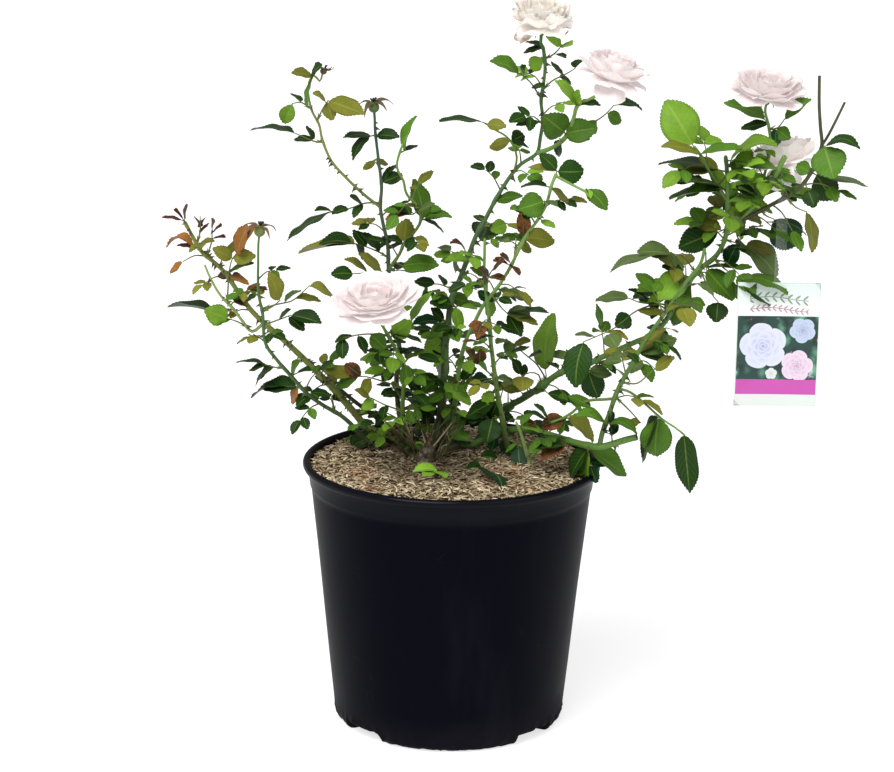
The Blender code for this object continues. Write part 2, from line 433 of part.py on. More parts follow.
COLOURS = {
    "pot": ((0.012, 0.013, 0.017), 0.38),
    "mix": ((0.05, 0.03, 0.02), 0.95),
    "mulch": ((0.52, 0.40, 0.25), 0.9),
    "wood": ((0.10, 0.07, 0.045), 0.85),
    "green_stem": ((0.11, 0.19, 0.06), 0.5),
    "leaf": ((0.06, 0.15, 0.03), 0.45),
    "petal": ((0.85, 0.74, 0.74), 0.6),
    "card": ((0.80, 0.84, 0.78), 0.35),
    "strap": ((0.85, 0.87, 0.88), 0.3),
}


def clear_scene():
    """Empty the file of its objects."""
    for thing in list(bpy.data.objects):
        bpy.data.objects.remove(thing, do_unlink=True)


def finish(name):
    """The material of a finish by its name."""
    found = bpy.data.materials.get(name)
    if found:
        return found
    colour, roughness = COLOURS[name]
    material = bpy.data.materials.new(name)
    material.use_nodes = True
    shader = material.node_tree.nodes["Principled BSDF"]
    shader.inputs["Base Color"].default_value = (*colour, 1.0)
    shader.inputs["Roughness"].default_value = roughness
    shader.inputs["Metallic"].default_value = 0.0
    return material


def seen(across, up, depth):
    """The point at a depth whose sight line meets the plane of the pot's axis at (across, up)."""
    return EYE + (Vector((across, 0.0, up)) - EYE) * ((depth - EYE.y) / -EYE.y)


def seen_on_level(across, up, level):
    """The point at a height whose sight line meets the plane of the pot's axis at (across, up)."""
    return EYE + (Vector((across, 0.0, up)) - EYE) * ((EYE.z - level) / (EYE.z - up))


def add_object(name, bm, finish_name):
    """Turn a bmesh in millimetres into an object in metres."""
    bmesh.ops.scale(bm, vec=(MM, MM, MM), verts=bm.verts)
    bmesh.ops.recalc_face_normals(bm, faces=bm.faces)
    mesh = bpy.data.meshes.new(name)
    bm.to_mesh(mesh)
    bm.free()
    mesh.materials.append(finish(finish_name))
    mesh.shade_smooth()
    mesh.set_sharp_from_angle(angle=math.radians(40))
    thing = bpy.data.objects.new(name, mesh)
    bpy.context.scene.collection.objects.link(thing)
    return thing


def combine(thing, others, operation, solver="EXACT"):
    """Join other closed solids to an object, or cut them out of it, and remove them.

    The exact solver leaves open edges where many thin leaves and stems meet, so those use MANIFOLD.
    """
    group = bpy.data.collections.new("operands")
    for other in others:
        group.objects.link(other)
    boolean = thing.modifiers.new("combine", "BOOLEAN")
    boolean.operation = operation
    boolean.operand_type = "COLLECTION"
    boolean.collection = group
    boolean.solver = solver
    bpy.context.view_layer.update()
    evaluated = thing.evaluated_get(bpy.context.evaluated_depsgraph_get())
    result = bpy.data.meshes.new_from_object(evaluated)
    thing.modifiers.clear()
    thing.data = result
    for other in others:
        bpy.data.objects.remove(other, do_unlink=True)
    bpy.data.collections.remove(group)
    return thing


def turned(bm, profile, sides):
    """Turn a closed profile of (radius, height) round the Z axis; a point on the axis stays one vertex."""
    rings = []
    for radius, height in profile:
        if radius == 0.0:
            rings.append([bm.verts.new((0.0, 0.0, height))])
            continue
        turn = [2.0 * math.pi * k / sides for k in range(sides)]
        rings.append([bm.verts.new((radius * math.cos(a), radius * math.sin(a), height)) for a in turn])
    pairs = list(zip(rings, rings[1:]))
    if profile[0][0] != 0.0:
        pairs.append((rings[-1], rings[0]))
    for lower, upper in pairs:
        for k in range(sides):
            after = (k + 1) % sides
            corners = [lower[k % len(lower)], lower[after % len(lower)],
                       upper[after % len(upper)], upper[k % len(upper)]]
            bm.faces.new(list(dict.fromkeys(corners)))


def cylinder(name, centre, radius, low, high, sides=8):
    """An upright cylinder between two heights."""
    bm = bmesh.new()
    turned(bm, ((0.0, low), (radius, low), (radius, high), (0.0, high)), sides)
    bmesh.ops.translate(bm, vec=(centre.x, centre.y, 0.0), verts=bm.verts)
    return add_object(name, bm, "mix")


def tube_mesh(bm, points, radii, sides):
    """A closed round bar along points, with its own radius at each point."""
    rings = []
    side = Vector((0.37, 1.0, 0.21)).normalized()
    for k, point in enumerate(points):
        ahead = points[min(k + 1, len(points) - 1)] - points[max(k - 1, 0)]
        ahead.normalize()
        side = (side - ahead * side.dot(ahead)).normalized()
        across = ahead.cross(side)
        ring = []
        for n in range(sides):
            angle = 2.0 * math.pi * n / sides
            ring.append(bm.verts.new(point + (side * math.cos(angle) + across * math.sin(angle)) * radii[k]))
        rings.append(ring)
    for low, high in zip(rings, rings[1:]):
        for n in range(sides):
            after = (n + 1) % sides
            bm.faces.new((low[n], low[after], high[after], high[n]))
    bm.faces.new(rings[0][::-1])
    bm.faces.new(rings[-1])


def lozenge(bm, corners, crest, sink=Vector((0.0, 0.0, 0.0))):
    """A thin closed blade: four corners from base to tip and round, and a crest over its middle."""
    base, left, tip, right = [bm.verts.new(corner - sink) for corner in corners]
    top = bm.verts.new(crest)
    for first, second in ((base, left), (left, tip), (tip, right), (right, base)):
        bm.faces.new((first, second, top))
    bm.faces.new((tip, left, base))
    bm.faces.new((base, right, tip))


def leaflet_mesh(bm, base, tip, width, arch, swell=0.0):
    """A leaflet as a flat lozenge from its base to its tip, as wide as it is seen and rolled to its real width."""
    along = tip - base
    length = along.length
    ahead = along / length
    sight = ((base + tip) / 2.0 - EYE).normalized()
    across_seen = ahead.cross(sight).normalized()
    away = ahead.cross(across_seen).normalized()
    real_width = max(width, length * LEAF_WIDTH_RATIO)
    share = min(1.0, width / real_width)
    edge = across_seen * share + away * math.sqrt(max(0.0, 1.0 - share * share))
    edge.normalize()
    normal = ahead.cross(edge).normalized()
    middle = base + along * LEAF_BELLY + Vector((0.0, 0.0, arch))
    half = real_width / 2.0 + swell
    corners = [base - ahead * LEAF_ROOT, middle + edge * half, tip + ahead * swell, middle - edge * half]
    lozenge(bm, corners, middle + normal * (LEAF_THICKNESS + swell), swell * normal)


def tree_of(thing):
    """The surface of an object, for finding overlaps."""
    vertices = [vertex.co / MM for vertex in thing.data.vertices]
    return BVHTree.FromPolygons(vertices, [list(face.vertices) for face in thing.data.polygons])


def tree_of_bmesh(bm):
    """The surface of a bmesh, for finding overlaps."""
    bm.normal_update()
    return BVHTree.FromBMesh(bm)


def depth_along(depths, share):
    """The depth at a share of a stem's length."""
    for (start, first), (end, second) in zip(depths, depths[1:]):
        if share <= end:
            return first + (second - first) * (share - start) / (end - start)
    return depths[-1][1]


def stem_points(stem):
    """A stem's centre line in space, with its foot in the mulch if it is rooted."""
    lengths = [0.0]
    for (x0, z0), (x1, z1) in zip(stem.route, stem.route[1:]):
        lengths.append(lengths[-1] + math.hypot(x1 - x0, z1 - z0))
    shares = [length / lengths[-1] for length in lengths]
    depths = [depth_along(stem.depths, share) for share in shares]
    if stem.rooted:
        depths[0] = seen_on_level(*stem.route[0], MULCH_TOP).y
    start = None
    if stem.parent:
        x, z = stem.route[0]
        start = nearest_on_path(stem_points(STEM_NAMED[stem.parent]), Vector((x, 0.0, z)))
        shift = start.y - depths[0]
        depths = [depth + shift * (1.0 - share) for depth, share in zip(depths, shares)]
    points = [seen(x, z, depth) for (x, z), depth in zip(stem.route, depths)]
    if start:
        points[0] = start + (points[1] - start).normalized() * stem.thick * 0.5
    if stem.rooted:
        foot = points[0]
        points[0] = Vector((foot.x, foot.y, MULCH_TOP + stem.thick + FOOT_RISE))
        points.insert(0, Vector((foot.x, foot.y, MULCH_TOP - SOCKET_DEPTH)))
    head = next((head for head in HEADS if head.stem == stem.name), None)
    if head:
        points[-1:] = [points[-1] - head_axis(head) * NECK_LENGTH, points[-1]]
    return points


def stem_radii(stem, points):
    """A stem's radius at each point, tapering from its thick end to its thin one."""
    lengths = [0.0]
    for first, second in zip(points, points[1:]):
        lengths.append(lengths[-1] + (second - first).length)
    return [stem.thick + (stem.thin - stem.thick) * length / lengths[-1] for length in lengths]


def head_axis(head):
    """The way that a bloom or hip faces."""
    right = math.tan(math.radians(head.lean_right))
    back = math.tan(math.radians(head.lean_back))
    return Vector((right, back, 1.0)).normalized()


def stem_tube(stem, name, extra=0.0):
    """A stem as an object, grown all round by an extra radius."""
    points = stem_points(stem)
    radii = [radius + extra for radius in stem_radii(stem, points)]
    bm = bmesh.new()
    tube_mesh(bm, points, radii, sides_of(stem))
    wood = stem.rooted and stem.thick > WOODY_RADIUS
    return add_object(name, bm, "wood" if wood else "green_stem")


def seat_on(thing, parent):
    """Cut an object clear of the stem that carries it."""
    return combine(thing, [stem_tube(parent, "clearance", SEAT_GAP)], "DIFFERENCE", "MANIFOLD")


def seen_on_plane(point):
    """Where the sight line through a point meets the plane of the pot's axis."""
    return EYE + (point - EYE) * (-EYE.y / (point.y - EYE.y))


def nearest_on_path(points, place):
    """The point of a path that is seen nearest to a place on the plane."""
    best = points[0]
    least = 1e9
    for first, second in zip(points, points[1:]):
        for step in range(PATH_STEPS + 1):
            point = first.lerp(second, step / PATH_STEPS)
            gap = (seen_on_plane(point) - place).length
            if gap < least:
                best = point
                least = gap
    return best


def stalk_points(stem, spray, number):
    """A leaf stalk's centre line: it starts on the stem and swings before or behind it."""
    across, up = spray.stalk[0]
    start = nearest_on_path(stem_points(stem), Vector((across, 0.0, up)))
    swing = (STALK_SWING if number % 2 else -STALK_SWING) * min(1.0, (len(spray.stalk) - 1) / 2.0)
    points = [start]
    for k, (x, z) in enumerate(spray.stalk[1:], 1):
        points.append(seen(x, z, start.y + swing * k / (len(spray.stalk) - 1)))
    return points


def leaflet_ends(path, leaflet, number):
    """A leaflet's root on its stalk and its tip, pitched so that the leaflet has its real length."""
    x0, z0, x1, z1, width = leaflet[:5]
    root = nearest_on_path(path, Vector((x0, 0.0, z0)))
    shown = math.hypot(x1 - x0, z1 - z0)
    real = max(shown * LEAST_PITCH, SHORTEST_LEAF, width * LEAST_LENGTH_RATIO)
    run = math.sqrt(real * real - shown * shown)
    away = 1.0 if number % 2 else -1.0
    tip = seen(x1, z1, root.y + away * run)
    return root, tip


def spray_pieces(stem, spray, number, taken):
    """The solids of a leaf: its stalk and each leaflet that stays clear of what is already there."""
    path = stalk_points(stem, spray, number)
    stalk = bmesh.new()
    beyond = path[-1] + (path[-1] - path[-2]).normalized() * LEAF_ROOT
    tube_mesh(stalk, path[:-1] + [beyond], [STALK_RADIUS] * len(path), TWIG_SIDES)
    if any(tree_of_bmesh(stalk).overlap(tree) for tree in taken):
        stalk.free()
        return []
    pieces = [add_object("stalk", stalk, "leaf")]
    for k, leaflet in enumerate(spray.leaflets):
        arch = leaflet[5] if len(leaflet) > 5 else 0.0
        for turn in (0, 1):
            root, tip = leaflet_ends(path, leaflet, number + k + turn)
            bm = bmesh.new()
            leaflet_mesh(bm, root, tip, leaflet[4], arch, LEAF_CLEARANCE)
            blocked = any(tree_of_bmesh(bm).overlap(tree) for tree in taken)
            bm.free()
            if not blocked:
                bm = bmesh.new()
                leaflet_mesh(bm, root, tip, leaflet[4], arch)
                pieces.append(add_object("leaflet", bm, "leaf"))
                break
    return pieces


def turned_object(name, profile, finish_name):
    """A closed profile turned round the pot's axis, as an object."""
    bm = bmesh.new()
    turned(bm, profile, TURNED_SIDES)
    return add_object(name, bm, finish_name)


def foot_blocks(extra):
    """A block for each drain notch of the foot, grown all round by an extra width."""
    blocks = []
    for angle in NOTCH_ANGLES:
        bm = bmesh.new()
        bmesh.ops.create_cube(bm, size=1.0)
        size = (NOTCH_WIDTH + 2.0 * extra, NOTCH_OUTER - NOTCH_INNER + extra, 2.0 * (NOTCH_HEIGHT + extra))
        bmesh.ops.scale(bm, vec=size, verts=bm.verts)
        bmesh.ops.translate(bm, vec=(0.0, -(NOTCH_OUTER + NOTCH_INNER - extra) / 2.0, 0.0), verts=bm.verts)
        bmesh.ops.rotate(bm, matrix=Matrix.Rotation(math.radians(angle), 3, "Z"), verts=bm.verts)
        blocks.append(add_object("notch", bm, "pot"))
    return blocks


def make_pot():
    """The nursery pot: a thin turned wall with a rolled lip, and a foot whose drain notches keep the wall's thickness."""
    pot = turned_object("nursery_pot", (
        (0.0, 0.0), (FOOT_RADIUS, 0.0), (FOOT_RADIUS + 3.5, 1.5), (FOOT_RADIUS + 6.5, 6.0),
        (FOOT_RADIUS + 8.0, 13.0), (RIM_RADIUS - 8.5, 226.0), (RIM_RADIUS - 7.2, 229.0),
        (RIM_RADIUS - 5.0, 243.5), (RIM_RADIUS - 1.0, 245.5), (RIM_RADIUS, 248.0), (RIM_RADIUS - 0.8, 251.5),
        (RIM_RADIUS - 3.0, RIM_HEIGHT), (RIM_RADIUS - 5.6, RIM_HEIGHT), (0.0, RIM_HEIGHT)), "pot")
    combine(pot, foot_blocks(0.0), "DIFFERENCE")
    hollow = turned_object("hollow", (
        (0.0, FLOOR), (FOOT_RADIUS + 3.5, FLOOR + 0.3), (FOOT_RADIUS + 8.0 - WALL, 13.5),
        (RIM_RADIUS - 8.5 - WALL, 226.0), (RIM_RADIUS - 8.8, 229.5), (RIM_RADIUS - 6.8, 249.0),
        (RIM_RADIUS - 5.6, RIM_HEIGHT + 2.0), (0.0, RIM_HEIGHT + 2.0)), "pot")
    combine(hollow, foot_blocks(WALL), "DIFFERENCE")
    return combine(pot, [hollow], "DIFFERENCE")


def make_fill():
    """The potting mix and the rice-hull mulch, with a socket for each rooted cane and for the crown."""
    mix = turned_object("potting_mix", (
        (0.0, FLOOR + SEAT_GAP), (FOOT_RADIUS + 2.6, FLOOR + 2.0 * SEAT_GAP), (FOOT_RADIUS + 5.6, 14.0),
        (RIM_RADIUS - 10.8, 226.0), (RIM_RADIUS - 9.6, MIX_TOP), (0.0, MIX_TOP)), "mix")
    combine(mix, foot_blocks(WALL + SEAT_GAP), "DIFFERENCE")
    mulch = turned_object("rice_hull_mulch", (
        (0.0, MIX_TOP + SEAT_GAP), (RIM_RADIUS - 9.6, MIX_TOP + SEAT_GAP),
        (RIM_RADIUS - 8.6, MULCH_TOP), (0.0, MULCH_TOP)), "mulch")
    rooted = [stem for stem in STEMS if stem.rooted]
    floor = MULCH_TOP - SOCKET_DEPTH - SEAT_GAP
    for thing in (mix, mulch):
        sockets = [cylinder("socket", stem_points(stem)[0], stem.thick + SEAT_GAP + SOCKET_EXTRA, floor,
                            RIM_HEIGHT) for stem in rooted]
        sockets.append(crown("crown_socket", SEAT_GAP, "mix"))
        combine(thing, sockets, "DIFFERENCE")
    return [mix, mulch]


def crown(name, extra, finish_name):
    """The woody crown: a squat knob, half in the mulch."""
    bm = bmesh.new()
    bmesh.ops.create_icosphere(bm, subdivisions=2, radius=1.0)
    bmesh.ops.scale(bm, vec=[radius + extra for radius in CROWN_RADII], verts=bm.verts)
    bmesh.ops.rotate(bm, matrix=Matrix.Rotation(math.radians(CROWN_LEAN), 3, "Y"), verts=bm.verts)
    place = seen(*CROWN_PLACE)
    bmesh.ops.translate(bm, vec=(place.x, place.y, MULCH_TOP + CROWN_LIFT), verts=bm.verts)
    return add_object(name, bm, finish_name)


def placed(bm, origin, axis):
    """Move a bmesh made round +Z at the origin so that it stands on a point and faces an axis."""
    turn = Vector((0.0, 0.0, 1.0)).rotation_difference(axis).to_matrix()
    bmesh.ops.rotate(bm, matrix=turn, verts=bm.verts)
    bmesh.ops.translate(bm, vec=origin, verts=bm.verts)


def sepal(bm, ring_radius, height, angle, length, width, rise):
    """A narrow sepal that leaves the hip's shoulder outward and up or down."""
    out = Vector((math.cos(angle), math.sin(angle), 0.0))
    across = Vector((-out.y, out.x, 0.0))
    base = out * (ring_radius - SEPAL_ROOT) + Vector((0.0, 0.0, height))
    tip = out * (ring_radius + length) + Vector((0.0, 0.0, height + rise))
    middle = base.lerp(tip, 0.4)
    normal = (tip - base).cross(across).normalized()
    lozenge(bm, (base, middle + across * width, tip, middle - across * width), middle + normal)


def make_calyx(head, foot, axis, hip_radius, hip_height, sepal_rise):
    """The hip under a bloom, with five sepals."""
    bm = bmesh.new()
    turned(bm, ((0.0, SEAT_GAP), (CALYX_FOOT, SEAT_GAP), (hip_radius, hip_height * 0.5),
                (hip_radius * 0.8, hip_height), (0.0, hip_height)), 8)
    placed(bm, foot, axis)
    hip = add_object(head.name + "_calyx" if head.petal_radius else head.name, bm, "green_stem")
    sepals = []
    for k in range(5):
        bm = bmesh.new()
        angle = 2.0 * math.pi * (k + 0.3) / 5.0
        sepal(bm, hip_radius * 0.8, hip_height - SEPAL_LOW, angle, hip_radius * SEPAL_LENGTH_RATIO, SEPAL_WIDTH,
              sepal_rise)
        placed(bm, foot, axis)
        sepals.append(add_object("sepal", bm, "green_stem"))
    return combine(hip, sepals, "UNION", "MANIFOLD")


def petal_dish(name, foot, axis, low, radius, height, lobes, flare):
    """A whorl of petals as one thin dish with a scalloped edge, over its foot by a low height."""
    steps = ((0.12, 0.0), (0.6, 0.3), (1.0, 1.0))
    sides = lobes * 3
    bm = bmesh.new()
    layers = []
    for lift in (0.0, PETAL_THICKNESS):
        rings = [[bm.verts.new((0.0, 0.0, low + lift))]]
        for out, up in steps:
            ring = []
            for k in range(sides):
                angle = 2.0 * math.pi * k / sides
                scallop = 1.0 - PETAL_SCALLOP * out * (k % 3 == 0)
                reach = radius * out ** flare * scallop
                ring.append(bm.verts.new((reach * math.cos(angle), reach * math.sin(angle),
                                          low + lift + height * up * scallop)))
            rings.append(ring)
        layers.append(rings)
    for rings in layers:
        for lower, upper in zip(rings, rings[1:]):
            for k in range(sides):
                after = (k + 1) % sides
                corners = [lower[k % len(lower)], lower[after % len(lower)], upper[after], upper[k]]
                bm.faces.new(list(dict.fromkeys(corners)))
    for k in range(sides):
        after = (k + 1) % sides
        bm.faces.new((layers[0][-1][k], layers[0][-1][after], layers[1][-1][after], layers[1][-1][k]))
    placed(bm, foot, axis)
    return add_object(name, bm, "petal")


def make_head(head, stem):
    """A bloom's calyx, outer petals and inner petals, or a hip alone."""
    foot = stem_points(stem)[-1]
    axis = head_axis(head)
    if not head.petal_radius:
        size = TINY_HIP_RADIUS if head.name == "hip_tiny" else HIP_RADIUS
        return [make_calyx(head, foot, axis, size, size * HIP_HEIGHT_RATIO, HIP_SEPAL_RISE)]
    parts = [make_calyx(head, foot, axis, CALYX_RADIUS, CALYX_HEIGHT, SEPAL_DROOP)]
    low = CALYX_HEIGHT + SEAT_GAP
    parts.append(petal_dish(head.name + "_outer_petals", foot, axis, low, head.petal_radius,
                            head.petal_height * OUTER_HEIGHT_RATIO, 5, 1.0))
    parts.append(petal_dish(head.name + "_inner_petals", foot, axis, low + INNER_LIFT,
                            head.petal_radius * INNER_RADIUS_RATIO,
                            head.petal_height * INNER_HEIGHT_RATIO, 4, 0.7))
    return parts


def make_fallen_leaf(number, base, tip, width):
    """A leaf that lies on the mulch."""
    bm = bmesh.new()
    first = seen_on_level(*base, MULCH_TOP + SEAT_GAP)
    last = seen_on_level(*tip, MULCH_TOP + SEAT_GAP)
    along = (last - first).normalized()
    across = along.cross(Vector((0.0, 0.0, 1.0))).normalized() * (width / 2.0)
    middle = first.lerp(last, LEAF_BELLY)
    lozenge(bm, (first, middle + across, last, middle - across), middle + Vector((0.0, 0.0, LEAF_THICKNESS)))
    return add_object("fallen_leaf_%d" % number, bm, "leaf")


def box_between(name, low, high, place, finish_name):
    """A box between two corners that are given from a place."""
    bm = bmesh.new()
    bmesh.ops.create_cube(bm, size=1.0)
    bmesh.ops.scale(bm, vec=high - low, verts=bm.verts)
    bmesh.ops.translate(bm, vec=place + (low + high) / 2.0, verts=bm.verts)
    return add_object(name, bm, finish_name)


def strap_loop(hook, along):
    """The strap's loop: a short sleeve that hangs round the branch at a point, in the branch's direction."""
    bm = bmesh.new()
    outer = LOOP_RADIUS + STRAP_THICKNESS
    half = STRAP_WIDTH / 2.0
    turned(bm, ((LOOP_RADIUS, -half), (outer, -half), (outer, half), (LOOP_RADIUS, half)), STRAP_SIDES)
    level = Matrix.Rotation(math.radians(90), 3, "Y")
    slope = Matrix.Rotation(-math.asin(along.z), 3, "Y")
    heading = Matrix.Rotation(math.atan2(along.y, along.x), 3, "Z")
    bmesh.ops.rotate(bm, matrix=heading @ slope @ level, verts=bm.verts)
    bmesh.ops.translate(bm, vec=hook - Vector((0.0, 0.0, loop_drop())), verts=bm.verts)
    return add_object("tag_strap", bm, "strap")


def loop_drop():
    """How far the loop's centre hangs below the branch's."""
    return LOOP_RADIUS - BRANCH_RADIUS - STRAP_HANG


def make_tag(branch):
    """The care tag's card and its strap, whose loop hangs on a branch."""
    path = stem_points(branch)
    hook = nearest_on_path(path, Vector((HOOK_PLACE[0], 0.0, HOOK_PLACE[1])))
    beyond = nearest_on_path(path, Vector((HOOK_BEYOND[0], 0.0, HOOK_BEYOND[1])))
    along = (beyond - hook).normalized()
    place = Vector((hook.x, hook.y, 0.0))
    card_top = seen(TAG_TOP[0], TAG_TOP[1], hook.y).z
    loop_foot = hook.z - loop_drop() - LOOP_RADIUS - STRAP_THICKNESS / 4.0
    half = STRAP_WIDTH / 2.0
    strip = box_between("strip", Vector((-half, -STRAP_THICKNESS / 2.0, card_top - STRAP_LAP)),
                        Vector((half, STRAP_THICKNESS / 2.0, loop_foot)), place, "strap")
    strap = combine(strap_loop(hook, along), [strip], "UNION", "MANIFOLD")
    front = -STRAP_THICKNESS / 2.0 - SEAT_GAP
    card = box_between("care_tag", Vector((-CARD_WIDTH / 2.0, front - CARD_THICKNESS, card_top - CARD_HEIGHT)),
                       Vector((CARD_WIDTH / 2.0, front, card_top)), place, "card")
    return [strap, card]


def grown_into(stem):
    """The name of the solid that a stem belongs to: its parent's for a twig, otherwise its own."""
    return stem.parent if stem.name.startswith("twig_") else stem.name


def sides_of(stem):
    """A stem's number of sides: fewer on the thin ones."""
    return CANE_SIDES if stem.rooted else CANE_SIDES - 1


def make_stems():
    """The solid of each cane and shoot, with its twigs, and each shoot clear of what carries it."""
    solids = {stem.name: stem_tube(stem, stem.name) for stem in STEMS if grown_into(stem) == stem.name}
    for name, solid in solids.items():
        if STEM_NAMED[name].parent:
            seat_on(solid, STEM_NAMED[STEM_NAMED[name].parent])
        twigs = [stem_tube(stem, "twig") for stem in STEMS if grown_into(stem) == name != stem.name]
        if twigs:
            combine(solid, twigs, "UNION", "MANIFOLD")
    return solids


def make_plant():
    """Every stem, head and leaf, each clear of the rest."""
    solids = make_stems()
    others = []
    for head in HEADS:
        others += make_head(head, STEM_NAMED[head.stem])
    others += make_tag(STEM_NAMED["shoot_stubs"])
    others += [make_fallen_leaf(k, *leaf) for k, leaf in enumerate(FALLEN_LEAVES, 1)]
    others.append(crown("rose_crown", 0.0, "wood"))
    others += make_fill()
    others.append(make_pot())
    trees = {name: tree_of(thing) for name, thing in solids.items()}
    fixed = [tree_of(thing) for thing in others]
    grown = {name: [] for name in solids}
    leaf_trees = {name: [] for name in solids}
    for number, spray in enumerate(SPRAYS):
        stem = STEM_NAMED[spray.stem]
        owner = grown_into(stem)
        taken = fixed + [tree for name, tree in trees.items() if name != owner]
        taken += [tree for group in leaf_trees.values() for tree in group]
        pieces = spray_pieces(stem, spray, number, taken)
        if not pieces:
            continue
        if spray.alone and len(pieces) > 1:
            leaf = combine(pieces[0], pieces[1:], "UNION", "MANIFOLD")
            leaf.name = spray.alone
            seat_on(leaf, stem)
            fixed.append(tree_of(leaf))
            continue
        grown[owner] += pieces
        leaf_trees[owner] += [tree_of(piece) for piece in pieces]
    for name, pieces in grown.items():
        if pieces:
            combine(solids[name], pieces, "UNION", "MANIFOLD")


def main():
    """Build the potted rose."""
    clear_scene()
    make_plant()


main()
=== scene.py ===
"""The looks of a climbing rose in a black nursery pot, with its care tag.

The pot stands on the ground with its axis on Z, and the front of the plant looks along -Y. The plant is
laid out as it is seen from a viewer's eye in front of the pot: a point is given by where its sight line
meets the plane through the pot's axis (across, up), and by how far it lies behind or before that plane.
Sizes are millimetres until a mesh is made.
"""

import json
import logging
import math
import random
from collections.abc import Sequence
from dataclasses import dataclass, field
from enum import Enum
from functools import lru_cache

import bmesh
import bpy
import numpy as np
from mathutils import Matrix, Vector, noise

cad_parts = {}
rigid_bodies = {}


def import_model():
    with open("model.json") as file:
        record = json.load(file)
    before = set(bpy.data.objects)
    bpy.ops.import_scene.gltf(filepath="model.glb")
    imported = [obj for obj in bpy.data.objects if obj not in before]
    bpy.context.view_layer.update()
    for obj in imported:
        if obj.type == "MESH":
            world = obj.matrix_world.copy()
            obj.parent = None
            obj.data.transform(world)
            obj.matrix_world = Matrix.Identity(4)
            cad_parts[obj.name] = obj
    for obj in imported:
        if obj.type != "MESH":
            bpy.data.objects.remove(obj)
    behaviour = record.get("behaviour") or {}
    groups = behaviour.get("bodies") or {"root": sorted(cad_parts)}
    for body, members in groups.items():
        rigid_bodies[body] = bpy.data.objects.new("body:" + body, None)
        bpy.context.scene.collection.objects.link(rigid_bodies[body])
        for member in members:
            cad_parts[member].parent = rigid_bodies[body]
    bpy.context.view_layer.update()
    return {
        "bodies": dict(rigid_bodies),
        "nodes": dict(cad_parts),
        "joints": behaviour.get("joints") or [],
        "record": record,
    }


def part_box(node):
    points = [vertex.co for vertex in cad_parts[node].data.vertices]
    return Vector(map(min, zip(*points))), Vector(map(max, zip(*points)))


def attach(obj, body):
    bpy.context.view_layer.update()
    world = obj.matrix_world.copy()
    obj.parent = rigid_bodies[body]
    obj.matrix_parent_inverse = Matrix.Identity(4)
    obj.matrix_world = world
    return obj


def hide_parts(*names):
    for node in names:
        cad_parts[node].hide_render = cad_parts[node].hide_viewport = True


Socket = bpy.types.NodeSocket
Thing = bpy.types.Object
Rgb = tuple[float, float, float]
Pair = tuple[float, float]

LOG = logging.getLogger("rose")
MM = 0.001
WHITE = (1.0, 1.0, 1.0, 1.0)
FULL_TURN = 6.28
GOLDEN_ANGLE = 2.4
EYE = Vector((-5.0, -2500.0, 978.0))
ROOT = "root"

# The pot and what fills it
RIM_RADIUS = 139.0
RIM_HEIGHT = 252.5
FOOT_RADIUS = 101.0
MULCH_TOP = 246.0
MULCH_RADIUS = 130.2
SOCKET_DEPTH = 22.0

# Leaves
STALK_SWING = 12.0
SHORTEST_LEAF = 19.0
OVER_TAG = "leaf_over_tag"
OVER_TAG_LEAD = -30.0
LEAST_PITCH = 1.06
LEAST_LENGTH_RATIO = 1.25
LEAF_WIDTH_RATIO = 0.6
PATH_STEPS = 8
NECK_LENGTH = 7.0
FOOT_RISE = 2.0


def srgb(red: float, green: float, blue: float) -> Rgb:
    """A linear colour from the usual 0 to 255 screen values."""
    shares = (value / 255.0 for value in (red, green, blue))
    return tuple(share / 12.92 if share <= 0.04045 else ((share + 0.055) / 1.055) ** 2.4 for share in shares)


@dataclass(frozen=True)
class LeafTone:
    """A leaflet's colour on its upper side, and how much of it has turned rusty at the edge."""

    upper: Rgb
    rust: float = 0.0


class Tone(Enum):
    """The colours of this rose's leaflets."""

    DARK = LeafTone(srgb(27, 58, 12))
    MID = LeafTone(srgb(72, 110, 30))
    BRIGHT = LeafTone(srgb(110, 150, 44))
    OLIVE = LeafTone(srgb(114, 116, 40), 0.3)
    GREY = LeafTone(srgb(84, 104, 56))
    TEAL = LeafTone(srgb(9, 54, 22))
    BRONZE = LeafTone(srgb(150, 98, 44), 0.5)
    BROWN = LeafTone(srgb(66, 46, 28), 0.8)
    RED = LeafTone(srgb(84, 32, 32), 0.5)


TONE_LETTERS = {
    "k": Tone.DARK, "m": Tone.MID, "B": Tone.BRIGHT, "o": Tone.OLIVE, "g": Tone.GREY,
    "t": Tone.TEAL, "b": Tone.BRONZE, "n": Tone.BROWN, "r": Tone.RED,
}


@dataclass(frozen=True)
class BarkTone:
    """A stem's colour at its foot and at its tip."""

    low: Rgb
    high: Rgb


class Bark(Enum):
    """The barks of this rose's canes and shoots."""

    OLIVE = BarkTone(srgb(106, 124, 56), srgb(130, 140, 58))
    OLD = BarkTone(srgb(78, 64, 44), srgb(62, 60, 36))
    DUSKY = BarkTone(srgb(66, 68, 38), srgb(60, 66, 36))
    DEEP = BarkTone(srgb(74, 106, 44), srgb(84, 124, 46))
    BLUISH = BarkTone(srgb(70, 78, 46), srgb(52, 86, 60))
    GREY_GREEN = BarkTone(srgb(70, 84, 50), srgb(70, 112, 54))
    GREEN = BarkTone(srgb(92, 112, 52), srgb(96, 142, 52))
    FRESH = BarkTone(srgb(104, 140, 62), srgb(120, 158, 78))
    PALE = BarkTone(srgb(150, 166, 104), srgb(136, 166, 88))


@dataclass(frozen=True)
class Stem:
    """A cane, shoot or twig: its route's points (across, up), thick end first, and its depth along the way.

    A cane with no parent stands in the mulch. A shoot sits on its parent, and a twig is grown into it.
    """

    name: str
    thick: float
    thin: float
    route: tuple[Pair, ...]
    depths: tuple[Pair, ...]
    bark: Bark = Bark.GREEN
    parent: str = ""


